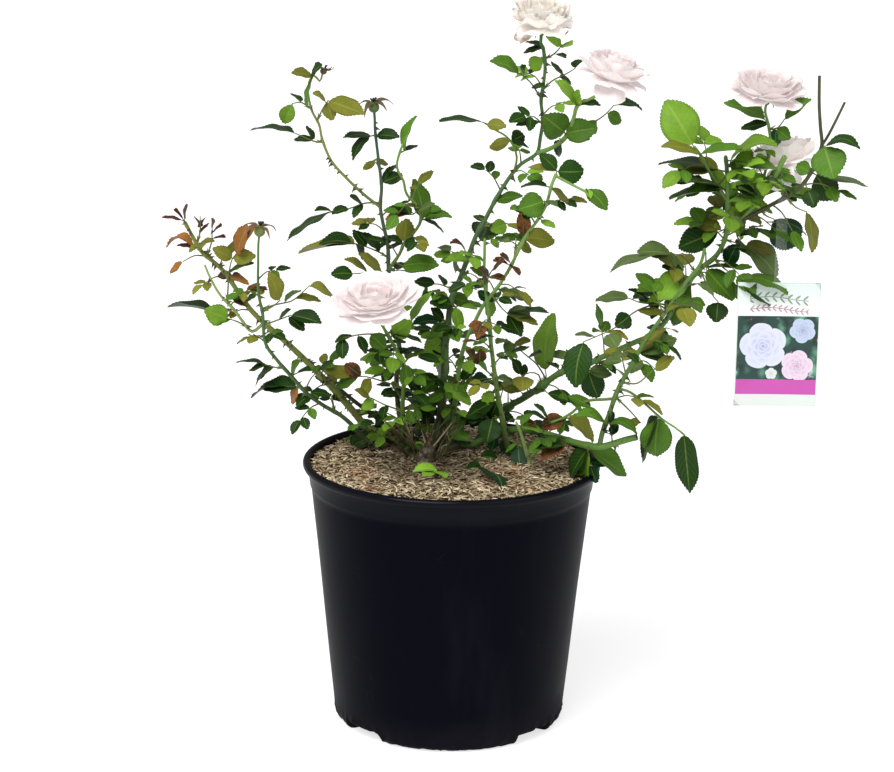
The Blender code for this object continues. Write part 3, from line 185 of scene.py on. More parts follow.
@dataclass(frozen=True)
class Spray:
    """A leaf on a stem: a letter for each leaflet's tone, its stalk's points, its leaflets and its own name.

    A leaflet is (base across, base up, tip across, tip up, seen width) and, if it arches, the arch's rise.
    """

    stem: str
    tones: str
    stalk: tuple[Pair, ...]
    leaflets: tuple[tuple[float, ...], ...]
    alone: str = ""


@dataclass(frozen=True)
class Cluster:
    """Smaller leaves that grow all round a stretch of a stem: how many, their leaflets' length and tones."""

    stem: str
    low: float
    high: float
    count: int
    size: float
    tones: str


@dataclass(frozen=True)
class Head:
    """A bloom or a hip at a stem's end, and how far its axis leans to the right and back in degrees."""

    name: str
    stem: str
    lean_right: float
    lean_back: float


STEMS = (
    Stem("cane_left_arch", 4.0, 1.6, ((-52, 262), (-78, 281), (-95, 300), (-120, 328), (-150, 358),
         (-183, 388), (-197, 407), (-213, 430), (-232, 447), (-240, 461), (-247, 474)), ((0.0, 62),
         (1.0, 5)), Bark.OLIVE),
    Stem("twig_left_arch", 1.6, 1.0, ((-176, 380), (-186, 372), (-195, 382), (-203, 393), (-215, 406),
         (-224, 422), (-229, 434)), ((0.0, 22), (1.0, -8)), Bark.PALE, "cane_left_arch"),
    Stem("cane_left_old", 2.6, 1.8, ((-50, 268), (-60, 280), (-72, 292), (-88, 304), (-108, 320)),
         ((0.0, 84), (1.0, 66)), Bark.OLD),
    Stem("cane_left_hip", 2.4, 1.0, ((-70, 258), (-80, 269), (-90, 280), (-103, 292), (-120, 302),
         (-135, 313), (-150, 330), (-163, 345), (-174, 362), (-176, 388), (-180, 410), (-180, 440),
         (-179, 462)), ((0.0, 48), (1.0, -32)), Bark.GREY_GREEN),
    Stem("cane_star_hip", 2.8, 1.2, ((-44, 264), (-50, 300), (-52, 330), (-49, 350), (-52, 375), (-57, 400),
         (-60, 432), (-61, 455), (-66, 478), (-68, 492), (-67, 510), (-70, 535), (-73, 560), (-74, 578)),
         ((0.0, 70), (1.0, 42)), Bark.BLUISH),
    Stem("shoot_star_right", 1.6, 1.0, ((-60, 430), (-50, 447), (-46, 457), (-38, 466), (-31, 478),
         (-34, 491), (-44, 503), (-47, 515), (-53, 528), (-50, 543), (-44, 557)), ((0.0, 56), (1.0, 14)),
         parent="cane_star_hip"),
    Stem("shoot_star_left", 1.5, 0.9, ((-68, 490), (-83, 502), (-100, 518), (-113, 533), (-121, 552),
         (-124, 566), (-131, 580), (-134, 600), (-129, 611), (-121, 612)), ((0.0, 52), (1.0, 20)),
         Bark.OLIVE, "cane_star_hip"),
    Stem("cane_left_bloom", 2.6, 1.3, ((-46, 258), (-46, 290), (-46, 310), (-45, 335), (-50, 351),
         (-58, 366), (-66, 380), (-70, 391)), ((0.0, 48), (1.0, -18))),
    Stem("cane_main", 4.6, 1.5, ((-14, 262), (-12, 285), (-9, 310), (-8, 345), (-5, 378), (-2, 405),
         (6, 425), (13, 445), (20, 465), (28, 480), (38, 500), (50, 520), (60, 532), (74, 542), (77, 556),
         (79, 573), (77, 590), (79, 606), (80, 622), (78, 638), (76, 649)), ((0.0, 62), (0.6, 30),
         (1.0, 34)), Bark.GREY_GREEN),
    Stem("shoot_main_right", 2.2, 1.4, ((74, 541), (85, 546), (95, 552), (103, 562), (107, 575), (110, 586),
         (119, 591), (129, 596), (138, 601)), ((0.0, 31), (1.0, -22)), Bark.FRESH, "cane_main"),
    Stem("twig_main_left", 1.1, 0.8, ((53, 526), (56, 538), (52, 550), (45, 558), (36, 563), (27, 569)),
         ((0.0, 31), (1.0, 14)), parent="cane_main"),
    Stem("cane_slanting", 2.9, 1.4, ((-2, 262), (1, 290), (4, 320), (7, 345), (12, 366), (20, 384),
         (28, 400), (40, 416), (52, 436), (59, 452), (66, 466), (76, 480), (84, 496), (88, 512), (92, 523)),
         ((0.0, 62), (1.0, -24)), Bark.FRESH),
    Stem("twig_slanting", 1.4, 1.0, ((92, 521), (104, 515), (118, 508), (126, 505)), ((0.0, -23),
         (1.0, -34)), Bark.FRESH, "cane_slanting"),
    Stem("cane_upright", 2.9, 1.2, ((53, 254), (50, 275), (46, 295), (42, 315), (39, 335), (37, 350),
         (35, 365), (34, 380), (32, 395), (30, 412), (28, 432), (28, 448), (28, 462)), ((0.0, 28),
         (1.0, -34))),
    Stem("cane_right_arch", 3.6, 1.7, ((24, 262), (30, 278), (40, 293), (52, 303), (66, 311), (80, 321),
         (100, 336), (122, 343), (137, 351), (152, 358), (168, 366), (185, 374), (197, 388), (205, 404),
         (214, 420), (226, 436), (240, 448), (248, 464), (250, 485), (249, 505), (248, 525), (246, 541)),
         ((0.0, 62), (0.3, 26), (1.0, -46)), Bark.DEEP),
    Stem("twig_big_leaf", 1.7, 1.2, ((249, 500), (242, 511), (236, 520), (230, 530), (224, 541), (217, 550)),
         ((0.0, -43), (1.0, -58)), parent="cane_right_arch"),
    Stem("shoot_cut", 1.8, 2.5, ((250, 470), (262, 482), (274, 496), (283, 508), (290, 520), (295, 531),
         (300, 542)), ((0.0, -38), (1.0, -60)), Bark.FRESH, "cane_right_arch"),
    Stem("twig_top_bloom", 1.5, 1.2, ((276, 499), (281, 520), (285, 540), (286, 556), (284, 570),
         (281, 589)), ((0.0, -48), (1.0, -28)), Bark.FRESH, "shoot_cut"),
    Stem("twig_hidden_bloom", 1.5, 1.2, ((283, 508), (292, 511), (299, 516), (303, 523)), ((0.0, -52),
         (1.0, -20)), Bark.FRESH, "shoot_cut"),
    Stem("shoot_stubs", 2.0, 1.4, ((262, 482), (270, 486), (290, 497.5), (310, 508.5), (317, 516),
         (323, 525), (328, 536), (333, 552), (331, 570), (329, 590), (328, 616)), ((0.0, -42), (0.3, -70),
         (1.0, -82)), Bark.DUSKY, "shoot_cut"),
    Stem("twig_stub_right", 1.3, 1.1, ((333, 551), (339, 563), (345, 576), (352, 592)), ((0.0, -77),
         (1.0, -92)), Bark.DUSKY, "shoot_stubs"),
    Stem("cane_right_low", 3.6, 3.0, ((8, 259), (20, 266), (40, 277), (60, 281), (80, 279), (104, 272),
         (124, 267), (138, 265), (150, 268), (162, 272), (173, 275)), ((0.0, 46), (0.4, 22), (0.75, -60),
         (1.0, -72)), Bark.DEEP),
    Stem("cane_right_back", 2.4, 1.4, ((138, 265), (141, 280), (146, 295), (151, 312), (156, 325),
         (166, 345), (172, 357), (183, 376), (194, 392), (204, 408), (214, 424), (226, 440), (230, 455)),
         ((0.0, -60), (1.0, -96)), Bark.DEEP, "cane_right_low"),
    Stem("twig_right_drop", 1.3, 0.8, ((155, 322), (166, 318), (180, 307), (192, 296), (200, 290),
         (208, 285), (217, 278)), ((0.0, -72), (1.0, -92)), parent="cane_right_back"),
    Stem("twig_right_left", 1.5, 1.1, ((151, 312), (140, 311), (128, 310), (120, 306), (113, 299),
         (104, 293), (92, 288)), ((0.0, -70), (1.0, -36)), parent="cane_right_back"),
    Stem("sucker_right", 2.4, 1.1, ((73, 246), (71, 256), (68, 266), (65, 276), (60, 288)), ((0.0, 0),
         (1.0, -14)), Bark.PALE),
)

# The leaves that are placed one by one: a stem, then its sprays' fields
LEAVES = (
    ("cane_left_arch",
     ("rrr", ((-246, 472), (-248, 476)), ((-248, 474, -244, 491, 3), (-249, 476, -257, 485, 3),
      (-249, 475, -268, 478, 3))),
     ("rrr", ((-236, 455), (-233, 467), (-233, 480)), ((-233, 470, -238, 479, 3), (-233, 468, -228, 479, 3),
      (-232, 463, -225, 474, 3))),
     ("rrr", ((-226, 443), (-223, 455), (-222, 466)), ((-222, 465, -213, 471, 3), (-224, 459, -210, 460, 3),
      (-222, 466, -219, 476, 3))),
     ("br", ((-234, 450), (-238, 450)), ((-238, 450, -264, 450, 4, 8), (-237, 447, -255, 452, 4)))),
    ("twig_left_arch",
     ("bboomb", ((-209, 399), (-208, 413), (-207, 427), (-204, 440), (-198, 447)),
      ((-202, 446, -189, 472, 12), (-197, 448, -182, 471, 8), (-204, 441, -222, 450, 12),
      (-204, 441, -182, 443, 13), (-206, 427, -184, 436, 5), (-207, 426, -189, 416, 6)), "leaf_left_bronze"),
     ("nk", ((-206, 397), (-203, 400)), ((-205, 401, -189, 396, 5), (-206, 404, -193, 405, 4))),
     ("Bm", ((-190, 376), (-199, 381), (-208, 384)), ((-208, 384, -230, 392, 18),
      (-206, 384, -222, 377, 6))),
     ("k", ((-203, 393), (-214, 391), (-222, 390)), ((-222, 390, -264, 394, 4),))),
    ("cane_left_hip",
     ("o", ((-176, 390), (-167, 396), (-160, 402)), ((-160, 402, -171, 428, 14),)),
     ("goo", ((-177, 393), (-163, 398), (-150, 401), (-142, 407), (-133, 416)), ((-157, 400, -140, 411, 4),
      (-145, 403, -122, 401, 6), (-133, 416, -107, 397, 6, 6)), "leaf_left_olive"),
     ("kkk", ((-175, 377), (-160, 384), (-150, 388)), ((-150, 388, -122, 380, 12),
      (-152, 386, -138, 373, 10), (-163, 384, -150, 393, 4))),
     ("kkk", ((-156, 337), (-165, 338), (-175, 341)), ((-175, 342, -201, 342, 3), (-172, 340, -189, 334, 5),
      (-166, 338, -183, 320, 5, 3))),
     ("km", ((-150, 331), (-144, 333)), ((-146, 333, -131, 335, 4), (-150, 332, -141, 345, 6))),
     ("kkb", ((-141, 320), (-150, 319)), ((-144, 320, -176, 317, 14), (-160, 322, -187, 308, 5, 4),
      (-143, 318, -149, 303, 7))),
     ("k", ((-110, 297), (-111, 305), (-112, 311)), ((-112, 311, -132, 314, 7),))),
    ("cane_left_old",
     ("ko", ((-104, 315), (-112, 323)), ((-110, 322, -128, 330, 7), (-109, 321, -118, 338, 7)))),
    ("cane_star_hip",
     ("kkk", ((-73, 556), (-78, 556)), ((-76, 555, -102, 554, 6), (-78, 555, -93, 533, 8, 3),
      (-72, 556, -51, 555, 10))),
     ("kk", ((-69, 513), (-66, 515)), ((-68, 514, -48, 521, 11), (-68, 517, -52, 530, 5))),
     ("kkkkk", ((-68, 494), (-82, 494), (-96, 489), (-112, 486)), ((-96, 490, -112, 483, 7),
      (-112, 487, -128, 486, 4), (-112, 485, -153, 458, 6), (-84, 494, -96, 500, 5),
      (-84, 494, -92, 480, 7))),
     ("kkkokk", ((-61, 444), (-68, 448), (-80, 453), (-94, 457)), ((-68, 449, -87, 467, 8),
      (-72, 450, -57, 459, 4), (-94, 458, -124, 455, 12), (-90, 455, -143, 446, 7), (-92, 454, -84, 441, 6),
      (-80, 453, -93, 469, 9)), "leaf_star_dark"),
     ("ooko", ((-60, 428), (-75, 429), (-92, 428)), ((-66, 429, -88, 446, 9), (-80, 429, -101, 441, 6),
      (-92, 428, -113, 427, 12), (-76, 428, -92, 414, 7)), "leaf_star_olive")),
    ("shoot_star_right",
     ("okk", ((-47, 455), (-46, 459)), ((-46, 458, -43, 480, 16), (-48, 457, -66, 462, 6),
      (-46, 457, -62, 451, 4))),
     ("bkg", ((-33, 488), (-38, 484)), ((-38, 484, -63, 478, 6), (-38, 486, -64, 487, 5),
      (-35, 486, -18, 494, 6))),
     ("mmk", ((-30, 478), (-28, 480)), ((-29, 480, -38, 517, 16), (-28, 482, -2, 481, 8, 3),
      (-27, 477, -10, 467, 3))),
     ("m", ((-54, 440), (-48, 436)), ((-48, 436, -14, 436, 16),)),
     ("km", ((-51, 541), (-46, 543)), ((-48, 543, -34, 548, 4), (-45, 556, -35, 575, 7)))),
    ("shoot_star_left",
     ("kom", ((-130, 610), (-131, 612)), ((-131, 612, -121, 620, 7), (-135, 603, -149, 612, 8),
      (-134, 597, -134, 583, 4))),
     ("Bk", ((-131, 580), (-140, 586), (-148, 585)), ((-148, 585, -156, 567, 13),
      (-140, 586, -150, 594, 4))),
     ("ooo", ((-124, 570), (-121, 580), (-116, 588)), ((-118, 586, -130, 594, 5), (-117, 587, -112, 570, 12),
      (-115, 588, -83, 576, 16)), "leaf_upper_olive"),
     ("kkk", ((-121, 549), (-130, 551), (-146, 558)), ((-131, 550, -147, 552, 6), (-130, 552, -136, 565, 5),
      (-147, 559, -186, 560, 4)))),
    ("cane_left_bloom",
     ("kkkm", ((-60, 369), (-75, 371), (-88, 370), (-102, 367)), ((-92, 370, -109, 362, 5),
      (-102, 367, -102, 347, 11), (-88, 370, -81, 352, 8), (-76, 371, -62, 357, 14))),
     ("Bk", ((-50, 351), (-56, 352)), ((-56, 352, -86, 346, 10), (-52, 353, -27, 357, 5))),
     ("Bk", ((-58, 366), (-56, 372)), ((-57, 376, -38, 384, 18), (-58, 372, -29, 363, 4))),
     ("B", ((-61, 372), (-50, 378), (-39, 383)), ((-39, 383, -18, 413, 7),)),
     ("m", ((-46, 337), (-44, 343)), ((-50, 345, -41, 323, 12),)),
     ("nomko", ((-46, 318), (-62, 325), (-80, 330), (-92, 330)), ((-84, 331, -100, 342, 12),
      (-92, 331, -121, 337, 12), (-88, 329, -108, 319, 10), (-66, 326, -55, 337, 10),
      (-76, 328, -84, 312, 10)), "leaf_low_mottled"),
     ("oBk", ((-47, 297), (-62, 303), (-76, 310)), ((-76, 310, -91, 317, 6), (-72, 308, -84, 299, 10),
      (-62, 303, -64, 290, 8))),
     ("k", ((-47, 286), (-56, 280), (-64, 274)), ((-64, 274, -94, 262, 14),))),
    ("cane_main",
     ("m", ((36, 497), (37, 496)), ((40, 506, 62, 502, 9),)),
     ("kk", ((24, 473), (30, 478)), ((35, 483, 25, 460, 24), (29, 478, 18, 484, 6))),
     ("Bo", ((25, 474), (38, 477), (48, 477)), ((48, 476, 33, 470, 13), (48, 477, 62, 471, 5))),
     ("om", ((-3, 402), (-4, 407)), ((-4, 407, -19, 402, 7, 2), (-1, 408, 14, 402, 12))),
     ("Bk", ((-3, 400), (2, 398)), ((2, 398, 6, 375, 10), (-4, 395, -22, 401, 12))),
     ("kmk", ((1, 412), (-5, 416), (-14, 419), (-24, 419)), ((-17, 419, -37, 421, 9),
      (-24, 418, -35, 405, 12), (-8, 418, -14, 428, 5))),
     ("Br", ((13, 445), (14, 442)), ((14, 442, -8, 441, 8), (16, 456, -4, 457, 3, 5))),
     ("gk", ((12, 442), (4, 447), (-3, 450)), ((-3, 450, -14, 454, 6), (-2, 448, 2, 431, 4, -3))),
     ("tkm", ((-5, 382), (-12, 386)), ((-10, 385, -38, 380, 9), (-8, 384, -21, 396, 9),
      (-6, 379, -21, 368, 12))),
     ("Bm", ((-6, 370), (-4, 372)), ((-4, 371, -24, 348, 20), (-4, 366, -9, 325, 14))),
     ("Bmk", ((-9, 325), (-11, 329)), ((-8, 328, 17, 304, 13), (-12, 327, -30, 313, 10),
      (-12, 329, -40, 324, 12))),
     ("kmk", ((-10, 303), (-12, 300)), ((-13, 299, -32, 297, 14), (-8, 303, 9, 269, 18),
      (-12, 307, -33, 306, 6)))),
    ("twig_main_left",
     ("ko", ((29, 568), (25, 570)), ((24, 570, -15, 570, 5), (28, 569, 46, 566, 10))),
     ("kok", ((51, 551), (50, 553)), ((50, 553, 62, 559, 14), (46, 555, 31, 547, 10),
      (53, 549, 66, 547, 4)))),
    ("cane_main",
     ("k", ((79, 572), (76, 570)), ((77, 571, 55, 567, 6),)),
     ("kkk", ((80, 600), (86, 608), (93, 612), (101, 616), (107, 620)), ((107, 620, 112, 628, 7),
      (96, 614, 85, 626, 4), (93, 612, 104, 606, 5))),
     ("mkk", ((77, 592), (72, 600), (66, 608), (57, 615)), ((57, 615, 30, 625, 11), (69, 604, 80, 603, 6),
      (62, 611, 63, 622, 4))),
     ("B", ((79, 627), (76, 630)), ((78, 628, 66, 621, 13),)),
     ("BBk", ((79, 628), (88, 633), (95, 641)), ((95, 642, 104, 641, 6), (95, 642, 80, 649, 9),
      (88, 633, 98, 629, 4))),
     ("kk", ((78, 637), (76, 639)), ((77, 639, 62, 643, 4), (79, 636, 60, 633, 5)))),
    ("shoot_main_right",
     ("mmo", ((100, 558), (99, 562)), ((99, 561, 79, 577, 24), (101, 561, 129, 566, 20),
      (101, 558, 122, 555, 10))),
     ("t", ((97, 554), (94, 556)), ((96, 554, 93, 540, 8),)),
     ("BBk", ((109, 585), (108, 590)), ((108, 589, 89, 608, 9), (109, 586, 111, 601, 10),
      (112, 588, 131, 586, 6))),
     ("mkm", ((106, 570), (118, 570), (128, 573), (137, 580), (143, 587)), ((137, 580, 150, 572, 11),
      (143, 588, 169, 582, 6, 3), (128, 573, 126, 562, 8)), "leaf_bloom_right")),
    ("cane_slanting",
     ("nnn", ((53, 438), (50, 438)), ((51, 438, 36, 441, 5), (53, 440, 42, 447, 4), (55, 440, 60, 428, 5))),
     ("on", ((62, 458), (63, 464)), ((62, 468, 92, 460, 16), (69, 471, 60, 488, 12))),
     ("mg", ((82, 492), (82, 498)), ((82, 499, 58, 490, 21), (84, 500, 93, 493, 5))),
     ("ko", ((88, 510), (84, 512)), ((85, 512, 60, 510, 4), (89, 506, 106, 494, 6))),
     ("B", ((77, 481), (79, 481)), ((79, 481, 92, 473, 6),)),
     ("kok", ((92, 522), (93, 526)), ((92, 527, 77, 541, 12), (90, 527, 66, 529, 6),
      (94, 525, 117, 526, 20)))),
    ("twig_slanting",
     ("mB", ((119, 508), (120, 510)), ((116, 512, 139, 490, 13), (100, 518, 124, 501, 6)))),
    ("cane_slanting",
     ("go", ((58, 450), (57, 457), (50, 461)), ((52, 461, 39, 454, 3, 4), (57, 457, 71, 452, 9))),
     ("ogkk", ((36, 411), (43, 399), (50, 392)), ((50, 392, 78, 381, 8), (51, 394, 71, 391, 11),
      (50, 391, 63, 370, 12), (52, 394, 88, 393, 3)), "leaf_middle_fan"),
     ("gg", ((41, 417), (46, 412)), ((42, 415, 58, 403, 6), (47, 411, 74, 404, 8)))),
    ("cane_upright",
     ("m", ((29, 420), (26, 419)), ((27, 419, 16, 418, 3),)),
     ("k", ((30, 416), (20, 427), (13, 430)), ((14, 430, 4, 424, 3),)),
     ("nnn", ((30, 418), (32, 427), (36, 434)), ((33, 427, 47, 423, 6), (30, 424, 22, 434, 5),
      (36, 433, 46, 441, 5))),
     ("B", ((31, 402), (29, 402)), ((29, 402, 37, 391, 11),)),
     ("kk", ((35, 370), (38, 370)), ((36, 371, 24, 371, 3), (35, 367, 22, 366, 3))),
     ("tg", ((40, 329), (34, 330)), ((34, 330, 19, 327, 13), (41, 326, 60, 320, 5, 3))),
     ("mnn", ((39, 331), (33, 336), (27, 341), (22, 346)), ((33, 336, 24, 343, 5), (22, 346, 12, 355, 7),
      (25, 343, 25, 358, 11))),
     ("Bkk", ((43, 308), (40, 308)), ((41, 311, 28, 314, 13), (38, 306, 13, 292, 14),
      (42, 303, 36, 290, 12))),
     ("k", ((46, 292), (38, 292)), ((35, 291, 33, 268, 20),)),
     ("g", ((48, 285), (44, 286)), ((42, 286, 10, 287, 6, 3),))),
    ("cane_right_arch",
     ("gogk", ((84, 324), (86, 331), (78, 344), (70, 351), (58, 361), (49, 368)), ((49, 368, 54, 348, 10),
      (56, 363, 72, 366, 7), (50, 368, 40, 363, 6), (70, 352, 82, 355, 4)), "leaf_middle_long"),
     ("B", ((85, 325), (87, 333), (86, 338)), ((86, 338, 93, 393, 20),), "leaf_tall_pale"),
     ("o", ((82, 323), (80, 334), (72, 336), (65, 333)), ((65, 333, 65, 318, 18),)),
     ("gk", ((124, 344), (126, 338)), ((127, 338, 148, 335, 11), (127, 336, 136, 313, 20))),
     ("kg", ((84, 322), (88, 317)), ((89, 317, 113, 307, 10), (84, 316, 64, 312, 5))),
     ("k", ((101, 337), (97, 342)), ((100, 341, 88, 346, 4),)),
     ("kkoog", ((203, 400), (190, 403), (178, 400), (166, 394), (150, 380), (132, 371), (121, 366)),
      ((119, 365, 115, 322, 23), (164, 393, 150, 381, 15), (172, 392, 197, 393, 7), (143, 374, 162, 368, 5),
      (132, 371, 113, 372, 4)), "leaf_right_long"),
     ("gk", ((201, 397), (188, 402), (172, 404), (162, 408)), ((162, 408, 131, 405, 9),
      (165, 407, 188, 413, 7))),
     ("Bk", ((214, 420), (211, 432)), ((211, 434, 189, 407, 23), (213, 435, 191, 438, 10))),
     ("m", ((216, 424), (218, 432)), ((218, 430, 203, 383, 24),)),
     ("gg", ((222, 432), (210, 448), (198, 450)), ((200, 452, 168, 451, 14), (196, 444, 144, 432, 7, 2))),
     ("kog", ((249, 474), (242, 471)), ((241, 470, 206, 456, 22), (243, 478, 211, 481, 12),
      (241, 474, 216, 474, 5))),
     ("mk", ((232, 442), (232, 436)), ((232, 435, 258, 407, 18), (236, 437, 267, 436, 4))),
     ("tk", ((250, 462), (260, 461)), ((262, 460, 251, 440, 14), (257, 463, 268, 455, 5))),
     ("k", ((226, 436), (234, 420), (240, 410), (244, 406)), ((244, 406, 243, 386, 18),)),
     ("BoB", ((250, 495), (254, 497)), ((252, 498, 291, 489, 12), (256, 494, 281, 479, 10),
      (251, 492, 263, 464, 12))),
     ("mmg", ((249, 510), (243, 511)), ((242, 511, 213, 508, 10), (243, 507, 196, 501, 5),
      (244, 514, 194, 516, 5))),
     ("koo", ((248, 528), (240, 529)), ((240, 529, 185, 533, 8), (236, 528, 221, 540, 8),
      (238, 524, 197, 522, 12))),
     ("Bmm", ((247, 538), (252, 538)), ((250, 538, 293, 551, 9, 5), (252, 536, 294, 529, 9),
      (250, 536, 262, 520, 9)))),
    ("twig_big_leaf",
     ("B", ((220, 547), (216, 551)), ((215, 552, 190, 592, 31),)),
     ("om", ((224, 541), (222, 544)), ((222, 544, 187, 549, 8), (225, 545, 261, 548, 7)))),
    ("twig_top_bloom",
     ("mk", ((284, 572), (281, 575)), ((280, 576, 242, 590, 11), (282, 569, 259, 567, 8))),
     ("mmt", ((285, 566), (292, 568), (298, 576)), ((298, 577, 322, 594, 10), (291, 567, 304, 558, 12),
      (290, 566, 291, 551, 9)), "leaf_top_bloom")),
    ("shoot_stubs",
     ("m", ((298, 502), (303, 507)), ((302, 507, 338, 506, 10),)),
     ("mk", ((333, 548), (335, 552)), ((335, 552, 345, 522, 28), (336, 555, 368, 549, 8, 6))),
     ("kgm", ((324, 528), (330, 525)), ((328, 524, 346, 503, 22), (330, 527, 377, 515, 5),
      (324, 526, 311, 534, 12))),
     ("k", ((318, 519), (322, 512)), ((323, 511, 329, 495, 14),)),
     ("t", ((280, 492), (285, 487), (292, 484)), ((292, 483, 312, 458, 28),)),
     ("o", ((303, 505), (312, 495), (322, 491)), ((322, 491, 328, 453, 10),))),
    ("shoot_cut",
     ("gok", ((258, 478), (260, 466), (268, 458)), ((268, 458, 297, 430, 21), (268, 459, 292, 451, 10),
      (262, 468, 286, 473, 5)), "leaf_above_tag")),
    ("cane_right_arch",
     ("mk", ((238, 446), (250, 436), (264, 427)), ((264, 427, 308, 413, 10, 4), (268, 425, 292, 402, 12)),
      "leaf_over_tag")),
    ("twig_right_drop",
     ("mk", ((192, 296), (193, 294)), ((193, 294, 191, 257, 26), (191, 295, 179, 250, 9))),
     ("k", ((215, 280), (218, 277)), ((217, 278, 224, 221, 19),))),
    ("cane_right_back",
     ("o", ((152, 314), (160, 306), (167, 299), (176, 289)), ((178, 288, 164, 285, 8),)),
     ("o", ((157, 327), (172, 327), (183, 337), (188, 341)), ((187, 341, 206, 352, 10),)),
     ("kgo", ((171, 355), (173, 356)), ((173, 354, 198, 352, 12), (174, 358, 207, 370, 18),
      (176, 364, 197, 379, 10))),
     ("mm", ((143, 287), (146, 288)), ((145, 287, 173, 277, 8, 4), (141, 290, 115, 294, 9, 3)))),
    ("twig_right_left",
     ("onB", ((108, 296), (106, 291)), ((108, 292, 132, 269, 12), (106, 292, 84, 284, 14),
      (104, 292, 100, 278, 9))),
     ("kk", ((92, 288), (90, 290)), ((91, 289, 69, 297, 4), (91, 291, 76, 305, 4)))),
    ("cane_right_low",
     ("mBk", ((128, 266), (128, 263)), ((130, 263, 164, 237, 16), (127, 262, 123, 228, 14),
      (122, 263, 112, 235, 12))),
     ("nk", ((108, 271), (106, 266)), ((108, 267, 84, 251, 12), (100, 270, 78, 262, 8)))),
    ("sucker_right",
     ("Bm", ((64, 280), (64, 284)), ((63, 284, 86, 277, 6), (61, 287, 75, 297, 6))),
     ("m", ((71, 256), (75, 256)), ((74, 256, 84, 262, 6),))),
)
SPRAYS = tuple(Spray(stem, *leaf) for stem, *leaves in LEAVES for leaf in leaves)

STEM_NAMED = {stem.name: stem for stem in STEMS}

HEADS = (
    Head("bloom_top", "cane_main", 2, -14), Head("bloom_right", "shoot_main_right", 14, -8),
    Head("bloom_far_right", "twig_top_bloom", 3, -16), Head("bloom_hidden", "twig_hidden_bloom", -12, 14),
    Head("bloom_left", "cane_left_bloom", -8, -18), Head("hip_dark", "cane_left_hip", 6, -6),
    Head("hip_star", "cane_star_hip", -4, -10), Head("hip_tiny", "shoot_star_left", 20, 8),
)
HEAD_NAMED = {head.name: head for head in HEADS}

# Leaves that lie on the mulch: base and tip (across, up), width and tone
FALLEN_LEAVES = (
    ((33, 240), (48, 223), 14, Tone.TEAL),
    ((28, 243), (13, 241), 12, Tone.DARK),
    ((27, 253), (43, 252), 12, Tone.DARK),
    ((-13, 239), (-31, 229), 15, Tone.BRIGHT),
)


def seen(across: float, up: float, depth: float) -> Vector:
    """The point at a depth whose sight line meets the plane of the pot's axis at (across, up)."""
    return EYE + (Vector((across, 0.0, up)) - EYE) * ((depth - EYE.y) / -EYE.y)


def seen_on_level(across: float, up: float, level: float) -> Vector:
    """The point at a height whose sight line meets the plane of the pot's axis at (across, up)."""
    return EYE + (Vector((across, 0.0, up)) - EYE) * ((EYE.z - level) / (EYE.z - up))


def seen_on_plane(point: Vector) -> Vector:
    """Where the sight line through a point meets the plane of the pot's axis."""
    return EYE + (point - EYE) * (-EYE.y / (point.y - EYE.y))


def sprays_of(stem: Stem) -> list[tuple[int, Spray]]:
    """The leaves on a stem, each with its place in the list of all."""
    return [(number, spray) for number, spray in enumerate(SPRAYS) if spray.stem == stem.name]


def depth_along(depths: Sequence[Pair], share: float) -> float:
    """The depth at a share of a stem's length."""
    for (start, first), (end, second) in zip(depths, depths[1:]):
        if share <= end:
            return first + (second - first) * (share - start) / (end - start)
    return depths[-1][1]


def nearest_on_path(points: Sequence[Vector], place: Vector) -> Vector:
    """The point of a path that is seen nearest to a place on the plane."""
    best = points[0]
    least = 1e9
    for first, second in zip(points, points[1:]):
        for step in range(PATH_STEPS + 1):
            point = first.lerp(second, step / PATH_STEPS)
            gap = (seen_on_plane(point) - place).length
            if gap < least:
                best = point
                least = gap
    return best


def head_axis(head: Head) -> Vector:
    """The way that a bloom or hip faces."""
    right = math.tan(math.radians(head.lean_right))
    back = math.tan(math.radians(head.lean_back))
    return Vector((right, back, 1.0)).normalized()


@lru_cache(maxsize=None)
def stem_points(stem: Stem) -> tuple[Vector, ...]:
    """A stem's centre line in space, with its foot in the mulch if it has no parent."""
    lengths = [0.0]
    for (x0, z0), (x1, z1) in zip(stem.route, stem.route[1:]):
        lengths.append(lengths[-1] + math.hypot(x1 - x0, z1 - z0))
    shares = [length / lengths[-1] for length in lengths]
    depths = [depth_along(stem.depths, share) for share in shares]
    start = None
    if not stem.parent:
        depths[0] = seen_on_level(*stem.route[0], MULCH_TOP).y
    else:
        x, z = stem.route[0]
        start = nearest_on_path(stem_points(STEM_NAMED[stem.parent]), Vector((x, 0.0, z)))
        shift = start.y - depths[0]
        depths = [depth + shift * (1.0 - share) for depth, share in zip(depths, shares)]
    points = [seen(x, z, depth) for (x, z), depth in zip(stem.route, depths)]
    if start:
        points[0] = start + (points[1] - start).normalized() * stem.thick * 0.5
    else:
        foot = points[0]
        points[0] = Vector((foot.x, foot.y, MULCH_TOP + stem.thick + FOOT_RISE))
        points.insert(0, Vector((foot.x, foot.y, MULCH_TOP - SOCKET_DEPTH)))
    head = next((head for head in HEADS if head.stem == stem.name), None)
    if head:
        points[-1:] = [points[-1] - head_axis(head) * NECK_LENGTH, points[-1]]
    return tuple(points)


def stalk_points(stem: Stem, spray: Spray, number: int) -> list[Vector]:
    """A leaf stalk's centre line: it starts on the stem and swings before or behind it."""
    across, up = spray.stalk[0]
    start = nearest_on_path(stem_points(stem), Vector((across, 0.0, up)))
    swing = (STALK_SWING if number % 2 else -STALK_SWING) * min(1.0, (len(spray.stalk) - 1) / 2.0)
    if spray.alone == OVER_TAG:
        swing = OVER_TAG_LEAD
    points = [start]
    for k, (x, z) in enumerate(spray.stalk[1:], 1):
        points.append(seen(x, z, start.y + swing * k / (len(spray.stalk) - 1)))
    return points


